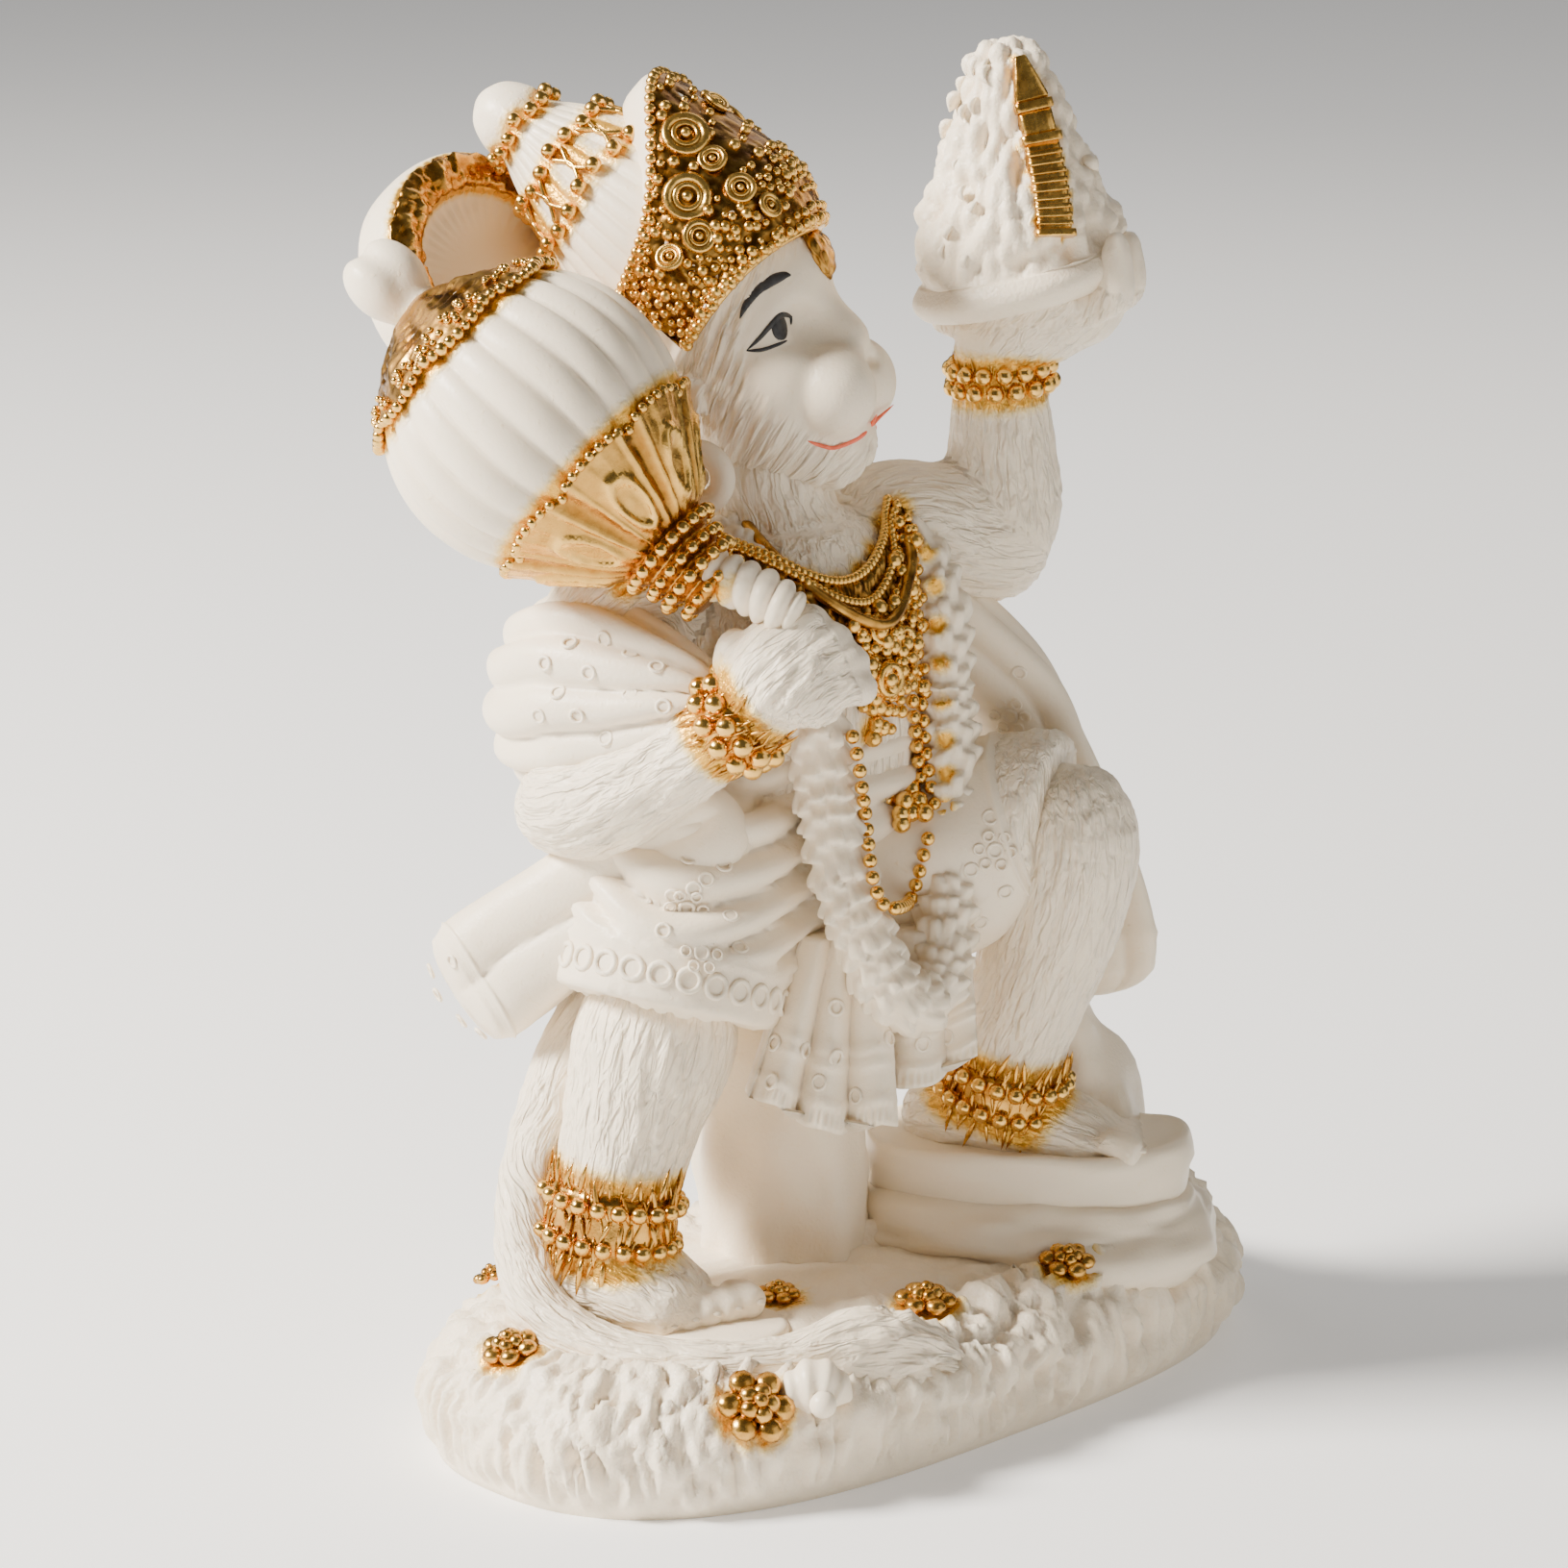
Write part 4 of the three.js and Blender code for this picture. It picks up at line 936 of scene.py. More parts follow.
@dataclass
class Ground:
    """The grassy oblong base, its gold flowers and the conch."""

    length: float = 111.0
    depth: float = 60.4
    squareness: float = 2.9
    skew: float = 0.4
    columns: int = 610
    proud: float = 1.7
    profile: Rows = ((1.2, 0), (0, 4.5), (0.3, 8.7), (2.8, 12.6), (8, 15), (17, 15.6))
    hidden_flower: Sequence[float] = (-35.8, 23, -0.3)
    hidden_facing: Sequence[float] = (-0.1, 0.35, 0.93)
    hidden_radius: float = 2.4
    blades: int = 90
    flowers: Rows = ((532, 1407, 3.5), (784, 1466, 4.6), (809, 1351, 2.7), (962, 1358, 3.7),
                     (1109, 1316, 3.4))
    conch: Rows = ((-26.6, -28.3, -3.4, 0.8, 0.8), (-28.2, -27.2, -2.2, 2.5, 2.3),
                   (-30.2, -26, -1.6, 3.3, 2.9), (-32.2, -24.8, -1.9, 2.4, 2.2),
                   (-34, -23.6, -2.6, 0.9, 0.9))

    def plain(self) -> Skin:
        """The mound before it is carved."""
        s, a = np.meshgrid(np.linspace(0, 1, 60), turns(400), indexing="ij")
        return sheet_of(self.surface(a, s))

    def flower_axes(self) -> list[tuple[Array, Array, Array, Array, float]]:
        """Each flower's centre, two axes in its plane, the axis it faces along, and its radius."""
        at, facing = seen(self.plain(), self.flowers)
        at = np.concatenate([at, place([self.hidden_flower])])
        facing = np.concatenate([facing, [self.hidden_facing]])
        found = []
        for centre, up, r in zip(at, unit(facing), [row[2] for row in self.flowers] + [self.hidden_radius]):
            a = crossways(up)
            found.append((centre + 0.5 * up, a, np.cross(up, a), up, r))
        return found

    def spots(self) -> Array:
        """The places that gold lacquer bleeds from, a ring round each flower."""
        turn = turns(10)
        return np.concatenate([c + 0.75 * r * circle(turn, a, b)
                               for c, a, b, _, r in self.flower_axes()])

    def surface(self, angle: Array, share: Array) -> Array:
        """The plain mound: the outline drawn in by the profile's inset, then closed to the middle.

        Args:
            angle: round the base.
            share: 0 at the foot, 0.6 at the shoulder, 1 at the middle.

        Returns:
            Its points. The end at the right of the photograph is heaped 3.6 mm higher.
        """
        table = np.asarray(self.profile, float)
        inset = spline(table, np.clip(share / 0.62, 0, 1))
        n = self.squareness + self.skew * np.cos(angle)
        xy = oblong(angle, self.length / 2 - inset[..., 0], self.depth / 2 - inset[..., 0], n)
        shrink = 1 - smooth(share, 0.60, 1.02)
        heap = 3.6 * smooth(rightward(xy), 20, 38) * smooth(share, 0.25, 0.5)
        return np.concatenate([xy * shrink[..., None],
                               (inset[..., 1] + 0.5 * (1 - shrink) + heap)[..., None]], -1)

    def mound(self) -> bpy.types.Object:
        """The mound with rows of carved tongues up its side, sharp gaps between them, and pebbles on top."""
        share = np.concatenate([np.linspace(0, 0.45, 22), np.linspace(0.47, 0.64, 13),
                                np.linspace(0.67, 1, 12)])
        angle = turns(self.columns)
        s, a = np.meshgrid(share, angle, indexing="ij")
        points = self.surface(a, s)
        skin = sheet_of(points)
        p = skin.corners
        s = np.append(s.ravel(), [0.0, 1.0])
        a = np.append(a.ravel(), [0.0, 0.0])
        along = np.where(s < 0.5, s * 30, 15 + (s - 0.5) * 55)
        wander = noise(p, 9, 2)
        tuft = fur(p[:, 0], p[:, 1], along, wander * 1.2, 2.0, 8.0, 4)
        fine = fur(p[:, 0], p[:, 1], along, wander * 1.5, 1.45, 6.0, 6)
        row = (along / 6.2 + 0.5 * noise(p, 5, 7)) % 1
        step = smooth(row, 0.0, 0.12) * (1 - 0.8 * row)
        wall = 1 - smooth(s, 0.5, 0.62)
        amount = smooth(p[:, 2], 0.3, 4.0) * (0.75 + 0.5 * smooth(p[:, 0] - p[:, 1], -30, 40))
        for centre, _, _, _, r in self.flower_axes():
            amount = amount * smooth(np.linalg.norm(p - centre, axis=1) / r, 0.7, 1.3)
        carved = 2.3 * (0.60 - tuft) + 1.6 * (0.60 - fine) + 1.3 * (step - 0.5)
        push = amount * (wall * carved + (1 - wall) * (0.7 - pebbles(p, 3.2, 2)))
        skin.pushed(np.where(push > 0, self.proud * np.tanh(push / self.proud), push))
        skin.corners[:, 2] = np.where(s < 0.001, 0.0, np.maximum(skin.corners[:, 2], 0))
        stained(skin, self.spots(), 3.0)
        return dress(skin, "grassy_base", STONE)

    def grass(self) -> bpy.types.Object:
        """Loose blades over the shoulder, each a small drooping leaf, clear of the flowers."""
        rng = np.random.default_rng(5)
        n = self.blades
        angle = rng.random(n) * 2 * np.pi
        share = 0.44 + 0.14 * rng.random(n)
        here = self.surface(angle, share)
        back = self.surface(angle, share - 0.03)
        side = self.surface(angle + 0.01, share)
        down = unit(back - here)
        across = unit(side - here)
        up = unit(np.cross(across, down))
        up *= np.sign(up[:, 2:])
        swing = (rng.random(n) - 0.5)[:, None] * 0.9
        down = unit(down + across * swing)
        across = np.cross(up, down)
        size = (3.0 + 2.0 * rng.random(n))[:, None]
        clear = np.ones(n, bool)
        for centre, _, _, _, r in self.flower_axes():
            clear &= np.linalg.norm(here - centre, axis=1) > r + 4
        skin = copies(leaf(1, 0.2, 0.1, 0.13, 0.28), (here - 0.3 * up)[clear], (size * down)[clear],
                      (size * across)[clear], (size * up)[clear])
        skin.turned_out()
        stained(skin, self.spots(), 3.0)
        return dress(skin, "grass_blades", STONE)

    def blossoms(self) -> bpy.types.Object:
        """The flowers: two rings of round petals and a cluster of beads."""
        parts = []
        for centre, a, b, up, r in self.flower_axes():
            for ring, (count, reach, size, lift) in enumerate(((6, 0.66, 0.36, 0.1), (5, 0.3, 0.26, 0.3))):
                turn = turns(count, 0.5 * ring)
                out = circle(turn, a, b)
                third = np.cross(np.broadcast_to(up, out.shape), out)
                parts.append(copies(ball(6, 10), centre + out * reach * r + up * lift * r, out * size * r,
                                    third * size * r, np.broadcast_to(up, out.shape) * 0.26 * r))
            parts.append(beads(centre + up * 0.52 * r, 0.2 * r))
        skin = joined(parts).turned_out()
        skin.values["hollow"] = 0.5 + 0.5 * noise(skin.corners, 0.9, 3)
        return dress(skin, "gold_flowers", GOLD)

    def shell(self) -> bpy.types.Object:
        """The conch: a spindle whose width swells with a spiral of five turns."""
        points, out, t, phi, _ = Limb(self.conch, (0, 0, 1)).grid(56, 36)
        whorl = 0.22 * np.cos(2 * np.pi * 5 * t - phi) * smooth(t, 0.1, 0.3)
        skin = sheet_of(points + out * whorl[..., None])
        return dress(joined([skin, beads(place([-31.5, -28.6, -2.6]), 1.6)]), "conch", SMOOTH)

    def build(self) -> None:
        """Makes the base's pieces."""
        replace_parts(self.mound(), NODE)
        self.grass()
        self.blossoms()
        self.shell()


@dataclass
class Rocks:
    """Two flat courses under the raised foot, the boulder behind them and the rock under the hem."""

    centre: Sequence[float] = (23.5, -8.0)
    swing: float = -52.0
    upper: Rows = ((0.8, 5.4), (0.1, 6.4), (0, 8), (0, 10), (0.1, 11.4), (0.5, 12.2), (1.2, 12.4),
                   (2.2, 12.1), (3.6, 12))
    lower: Rows = ((1.2, -4), (0.1, -1.4), (-0.3, 0.8), (0.1, 3.0), (1.0, 4.8), (2.4, 6.4), (4.4, 7.3))
    slab: Rows = ((0.5, -3), (0.1, -1.6), (0, -0.2), (0.1, 0.8), (0.6, 1.25), (1.6, 1.3))
    slab_centre: Sequence[float] = (-29.6, -4.2)
    slab_swing: float = -74
    boulder: Rows = ((33, -4, -12, 14, 13), (33.2, -4.5, 10, 11.4, 11), (31, -4, 20, 7.6, 8.6),
                     (28.6, -2, 28, 6, 7.2), (27.6, -1, 32, 5, 6))
    pillar: Rows = ((-3, 7, -14.6, 11, 10), (-3, 7, 4, 10.6, 9.6), (-3, 7, 18, 9.8, 9.3),
                    (-3, 6, 32, 11, 10))

    def course(self, half_length: float, half_depth: float, profile: Rows, wave: float,
               centre: Sequence[float],
               swing: float, curl: float = 0.0) -> Skin:
        """A flat course: its wall follows a profile, and its top closes to the middle.

        Args:
            half_length, half_depth: of its outline, millimetres.
            profile: the wall's rows of inset and height.
            wave: the height of its unevenness.
            centre, swing: its place, and its turn in degrees.
            curl: how much one end's top is raised.

        Returns:
            The skin.
        """
        share = np.concatenate([np.linspace(0, 0.6, 20), np.linspace(0.64, 1, 8)])
        angle = turns(112)
        s, a = np.meshgrid(share, angle, indexing="ij")
        row = spline(np.asarray(profile, float), np.clip(s / 0.6, 0, 1))
        xy = oblong(a, half_length - row[..., 0], half_depth - row[..., 0], 2.4)
        xy = xy * (1 - smooth(s, 0.58, 1.02))[..., None]
        turn = math.radians(swing)
        c, d = math.cos(turn), math.sin(turn)
        foot = place([*centre, 0])
        x = foot[0] + xy[..., 0] * c - xy[..., 1] * d
        y = foot[1] + xy[..., 0] * d + xy[..., 1] * c
        z = GROUND + row[..., 1] + curl * smooth(np.cos(a), 0.5, 1.0) * smooth(row[..., 1], 8, 11)
        skin = sheet_of(np.stack([x, y, z], -1))
        p = skin.corners
        uneven = noise(p, (13, 13, 3.4), 8) + 0.5 * noise(p, (7, 7, 1.5),
                                                          9) + 0.3 * noise(p, (5, 5, 1.1), 10)
        return skin.pushed(wave * uneven)

    def build(self) -> None:
        """Makes the rocks."""
        upper = self.course(20.2, 11.6, self.upper, 0.6, self.centre, self.swing, 1.0)
        lower = self.course(23, 15.2, self.lower, 1.9, self.centre, self.swing)
        slab = self.course(12.5, 7.6, self.slab, 0.2, self.slab_centre, self.slab_swing)
        dress(joined([upper, lower, slab]), "rock_courses", SMOOTH)
        rock = Casting(1.0, 3.0).add(Limb(self.boulder), Limb(self.pillar))

        def rough(p: Array) -> Array:
            """Broad facets and a fine pitting."""
            return 1.7 * noise(p, (5.5, 5.5, 12), 12) + 0.9 * noise(p, (2.8, 2.8, 5), 13)

        dress(rock.skin(1, rough), "boulder", STONE)


@dataclass
class Tail:
    """The tail, down behind the right leg and round the front, with its tuft."""

    rows: Rows = ((-14, 16, 44, 4.4, 4.4), (-20, 16.5, 40, 4.2, 4.2), (-28.4, 14.2, 33, 4, 4),
                  (-34.8, 13.6, 23, 4, 4), (-38.8, 12.8, 14, 3.8, 3.8), (-42, 9.6, 7, 3.7, 3.7),
                  (-43.8, 4, 2, 3.6, 3.6), (-42, -5, -0.8, 3.6, 3.4), (-36, -14.4, -1.4, 3.6, 3.4),
                  (-28, -20, -1.4, 3.8, 3.4), (-20.4, -23.4, -0.9, 5.6, 4.0), (-13, -26, -2.0, 5.0, 3.6),
                  (-6.5, -27.6, -4.8, 1.6, 1.4))

    def build(self) -> None:
        """Makes the tail, its fur combed along it and deeper at the tuft."""
        points, out, t, phi, along = Limb(self.rows, (0.2, 0.2, 1)).grid(230, 42)
        p = points.reshape(-1, 3)
        wander = noise(p, 7, 5).reshape(t.shape)
        across, deep = 4.0 * np.cos(phi), 4.0 * np.sin(phi)
        tuft = smooth(t, 0.78, 0.92)
        coat = fur(across, deep, along, wander, 1.3, 6.0, 2)
        skin = sheet_of(points + out * ((0.4 + 1.1 * tuft) * (coat - 0.55))[..., None])
        kept = {"across": across, "deep": deep, "along": along, "coat": 1 + 0 * t}
        skin.values.update({name: np.append(value.ravel(), np.zeros(2)) for name, value in kept.items()})
        dress(skin, "tail", FURRED)


# Where things are seen


@dataclass(frozen=True)
class Viewpoint:
    """The photograph's viewpoint: a pinhole camera, millimetres and degrees, over a frame of 1631 pixels."""

    azimuth: float = 44.0
    elevation: float = 14.0
    distance: float = 560.0
    target: tuple[float, float, float] = (-8.0, 0.4, 75.0)
    focal: float = 4995.2
    middle: float = 815.5

    def axes(self) -> tuple[Array, Array, Array]:
        """Axes towards the camera, to its right and up."""
        a, e = math.radians(self.azimuth), math.radians(self.elevation)
        back = np.array([-math.sin(a) * math.cos(e), -math.cos(a) * math.cos(e), math.sin(e)])
        right = np.array([math.cos(a), -math.sin(a), 0])
        return back, right, np.cross(back, right)

    def eye(self) -> Array:
        """The camera's place, millimetres."""
        return np.array(self.target) + self.axes()[0] * self.distance

    def rays(self, pixels: Rows) -> Array:
        """Unit directions through pixels of the photograph."""
        back, right, up = self.axes()
        p = (np.asarray(pixels, float)[:, :2] - self.middle) / self.focal
        return unit(-back + p[:, :1] * right - p[:, 1:] * up)


VIEW = Viewpoint()


def touched(skin: Skin, starts: Array, ways: Array, reach: float = 1.0) -> tuple[Array, Array]:
    """Where rays first meet a skin.

    That is the corner with the least distance along the ray plus eight times its distance off it.

    Args:
        skin: the skin.
        starts, ways: the rays.
        reach: how far off a ray a corner may lie before it is passed over.

    Returns:
        Points on the rays at those corners' depth, and the corners' normals.
    """
    normals = skin.normals()
    starts = np.broadcast_to(starts, ways.shape)
    places, facing = [], []
    for start, way in zip(starts, ways):
        away = skin.corners - start
        depth = away @ way
        off = np.linalg.norm(away - depth[:, None] * way, axis=1)
        cost = depth + 8 * off + 1e6 * (normals @ way > -0.05) + 1e4 * (off > reach)
        k = int(np.argmin(cost))
        places.append(start + way * depth[k])
        facing.append(normals[k])
    return np.array(places), np.array(facing)


def seen(skin: Skin, pixels: Rows) -> tuple[Array, Array]:
    """Points and normals of a skin under pixels of the photograph."""
    return touched(skin, VIEW.eye(), VIEW.rays(pixels))


def hoops(places: Array, facing: Array, radius: float | Array = 0.9, tube: float = 0.22,
          sides: int = 14) -> Skin:
    """Small rings that lie flat on a surface.

    Args:
        places, facing: their middles and the directions they face.
        radius, tube: their radius, and the radius of their section.
        sides: corners round each ring.

    Returns:
        The skin of all rings.
    """
    u, v = np.meshgrid(turns(sides), turns(5), indexing="ij")
    ring = np.stack([(1 + 0.28 * np.cos(v)) * np.cos(u), (1 + 0.28 * np.cos(v)) * np.sin(u), np.sin(v)], -1)
    shape = sheet_of(ring, round_v=True)
    first = crossways(facing)
    r = np.broadcast_to(np.asarray(radius, float), len(places))[:, None]
    return copies(shape, places, r * first, r * np.cross(facing, first), tube * facing)


def rosette(places: Array, facing: Array, petals: int = 6, reach: float = 1.9) -> Skin:
    """A ring with a circle of smaller rings round it, at each place.

    Args:
        places, facing: the middles and the directions they face.
        petals: the number of smaller rings.
        reach: how far out they lie.

    Returns:
        The skin of all rings.
    """
    first = crossways(facing)
    second = np.cross(facing, first)
    turn = turns(petals)
    around = places[:, None] + reach * (np.cos(turn)[None, :, None] * first[:, None]
                                        + np.sin(turn)[None, :, None] * second[:, None])
    return joined([hoops(places, facing, 0.85, 0.2),
                   hoops(around.reshape(-1, 3), np.repeat(facing, petals, 0), 0.62, 0.18, 10)])


# Legs and their jewels


@dataclass
class BeadCuff:
    """A jewelled cuff round a limb: a lacquered band, rows of beads and a spiky fringe at both edges."""

    centre: Sequence[float]
    axis: Sequence[float]
    across: float
    deep: float
    height: float
    rows: int = 2
    bead: float = 1.1
    spikes: float = 2.4
    spread: float = 2.4

    def axes(self) -> tuple[Array, Array, Array]:
        """Axes across, deep and along the limb."""
        up = unit(np.asarray(self.axis, float))
        first = unit(np.array([1.0, 0, 0]) - up * up[0])
        return first, np.cross(up, first), up

    def ring(self, count: int, height: float, grow: float, start: float = 0.0) -> tuple[Array, Array]:
        """Places round the limb at a height along it, grown outwards, and their outward directions."""
        first, second, up = self.axes()
        turn = turns(count, start)
        out = unit(np.cos(turn)[:, None] * first / self.across + np.sin(turn)[:, None] * second / self.deep)
        on = self.across * np.cos(turn)[:, None] * first + self.deep * np.sin(turn)[:, None] * second
        return place(self.centre) + on + grow * out + height * up, out

    def spots(self) -> Array:
        """The places that gold lacquer bleeds from."""
        return np.concatenate([self.ring(26, h * self.height, 0.2)[0] for h in (-0.6, -0.3, 0, 0.3, 0.6)])

    def skins(self) -> tuple[Skin, Skin]:
        """The band with its fringe, and the beads."""
        rows, cols = 8, 60
        h = np.linspace(-0.5, 0.5, rows)
        section = [self.ring(cols, v * self.height, -0.35 + 0.4 * math.sqrt(max(1 - (2 * v) ** 4, 0)))[0]
                   for v in h]
        section += [self.ring(cols, v * self.height, -1.5)[0] for v in h[::-3]]
        band = sheet_of(np.array(section), round_v=True)
        band.pushed(0.35 * noise(band.corners, (0.8, 0.8, 2.6), 3))
        _, _, up = self.axes()
        fringe = []
        rng = np.random.default_rng(int(abs(self.centre[0]) * 10))
        for sign, height in ((-1, 0.44), (1, 0.44), (-1, 0.1), (1, 0.1), (-1, -0.16)):
            n = int(self.across * 5.4)
            at, out = self.ring(n, sign * height * self.height, 0.1, rng.random())
            lean = (rng.random(n) - 0.5)[:, None] * 0.8
            way = unit(sign * up + lean * np.cross(up, out))
            size = self.spikes * (0.6 + 1.0 * rng.random(n))[:, None]
            fringe.append(copies(leaf(1, 0.085, 0.02, 0.08), at, size * way, size * np.cross(out, way),
                                 size * out).turned_out())
        count = int(2 * np.pi * (self.across + self.deep) / 2 / (2.05 * self.bead))
        marks = [self.ring(count, (k - (self.rows - 1) / 2) * self.spread, 0.55, 0.5 * (k % 2))[0]
                 for k in range(self.rows)]
        skin = joined([band, *fringe])
        skin.values["hollow"] = np.clip(0.62 + 0.5 * noise(skin.corners, 1.3, 5), 0, 1)
        pearls = beads(np.concatenate(marks), self.bead)
        pearls.values["hollow"] = np.zeros(len(pearls.corners))
        return skin, pearls

    def build(self, name: str) -> None:
        """Makes the cuff's two pieces."""
        band, pearls = self.skins()
        dress(band, name + "_band", GOLD)
        dress(pearls, name + "_beads", BRIGHT)


@dataclass
class Foot:
    """A bare foot from heel to ball, and five toes in a fan, each with its nail."""

    rows: Rows
    across: Sequence[float]
    big: Sequence[float]
    little: Sequence[float]
    forward: Sequence[float]

    def toes(self) -> list[Limb]:
        """The toes, thinner towards the little one."""
        found = []
        way = np.array([*self.forward, 0.0])
        for i in range(5):
            s = i / 4
            first, last = np.asarray(self.big, float), np.asarray(self.little, float)
            tip = first + (last - first) * s
            size = 2.0 - 0.62 * s
            lift = np.array([0, 0, 1.0])
            rows = [[*(tip - way * 6 + lift * 1.7), size, size],
                    [*(tip - way * 2.6 + lift * 1.3), 0.92 * size, size],
                    [*(tip - way * 0.9 + lift * 0.3), 1.05 * size, 1.02 * size],
                    [*tip, 0.9 * size, 0.8 * size]]
            found.append(Limb(rows, self.across, blunt=3, stations=14))
        return found

    def limb(self) -> Limb:
        """The foot without its toes."""
        return Limb(self.rows, self.across)

    def nails(self) -> Skin:
        """A small flat nail on each toe."""
        way = unit(np.array([*self.forward, -0.35]))
        side = unit(np.asarray(self.across, float))
        up = np.cross(side, way)
        up = up * np.sign(up[2])
        tips = np.array([np.asarray(t.rows[-1][:3]) for t in self.toes()])
        sizes = np.array([t.rows[-1][3] for t in self.toes()])[:, None]
        at = place(tips) + up * 0.56 * sizes - way * 0.5 * sizes
        return copies(ball(5, 8), at, 0.6 * sizes * way, 0.5 * sizes * side, 0.22 * sizes * up).turned_out()


@dataclass
class Legs:
    """The standing right leg and the raised left shin, with their feet and anklets."""

    right: Rows = ((-23, 4, 43, 9, 9), (-26.5, 4, 33, 10, 9.6), (-30, 4.3, 24, 8.2, 8.3),
                   (-32.8, 4.2, 16, 7.2, 7.4), (-34.3, 4.3, 9, 6.9, 7.4), (-34.8, 5, 2, 7.2, 8))
    left: Rows = ((20.4, -15.4, 60.6, 7, 7), (21.2, -17.4, 53, 7.9, 8), (21, -15.8, 44, 7.5, 8),
                  (20.5, -12, 34, 7.1, 7.6), (20, -8.5, 25, 6.5, 7.1), (20, -6.8, 17, 6.6, 7.2),
                  (20, -6, 10, 7, 7.6))
    right_foot: Foot = field(default_factory=lambda: Foot(
        ((-35.6, 13, 4.6, 5.4, 4.4), (-35.2, 8, 5.4, 6.8, 6.4), (-33.8, 1.5, 5.2, 7, 6),
         (-31.6, -4.5, 3.4, 6.6, 3.8), (-30.4, -7.6, 2.2, 5.4, 2.6)),
        (1, 0.2, 0), (-24.6, -11.4, 2.2), (-35.2, -8.2, 1.4), (0.18, -0.98)))
    left_foot: Foot = field(default_factory=lambda: Foot(
        ((16.6, 5.6, 13, 5.2, 4.4), (18.4, 0, 14, 6.6, 6.4), (22, -7.5, 14.2, 6.9, 6),
         (26.6, -15.5, 12.6, 6.5, 4.2), (28.6, -18.8, 11.6, 5.4, 2.8)),
        (0.88, 0.47, 0), (26.2, -24.6, 12), (34.4, -17.6, 11.4), (0.5, -0.87)))
    right_anklet: BeadCuff = field(default_factory=lambda: BeadCuff(
        (-33.9, 4.3, 12.4), (0.14, -0.06, 0.99), 7.3, 7.7, 8.0, 2, 1.05, 3.4, 4.6))
    left_anklet: BeadCuff = field(default_factory=lambda: BeadCuff(
        (20, -7.2, 19.6), (0.03, -0.26, 0.96), 6.9, 7.5, 6.2, 2, 1.05, 2.8, 3.6))

    def one(self, shank: Rows, foot: Foot, cuff: BeadCuff, name: str) -> None:
        """Makes one leg: shank, foot and toes run together, furred, with the toes left smoother.

        Args:
            shank: the rows of the leg below the cloth.
            foot, cuff: its foot and anklet.
            name: the leg's name.
        """
        limbs = [Limb(shank), foot.limb()]
        cast = Casting(0.56, 2.6).add(*limbs)
        cast.add(*foot.toes(), blend=0.5)
        skin = cast.skin(2)
        tips = place(np.array([t.rows[-2][:3] for t in foot.toes()]))
        far = nearest(skin.corners, tips)
        combed(skin, limbs, 0.42, 0.25 + 0.75 * smooth(far, 2, 6))
        stained(skin, cuff.spots(), 3.1)
        dress(skin, name, FURRED)
        dress(foot.nails(), name + "_nails", SMOOTH)
        cuff.build(name + "_anklet")

    def build(self) -> None:
        """Makes both legs."""
        self.one(self.right, self.right_foot, self.right_anklet, "right_leg")
        self.one(self.left, self.left_foot, self.left_anklet, "left_leg")


# Carved cloth


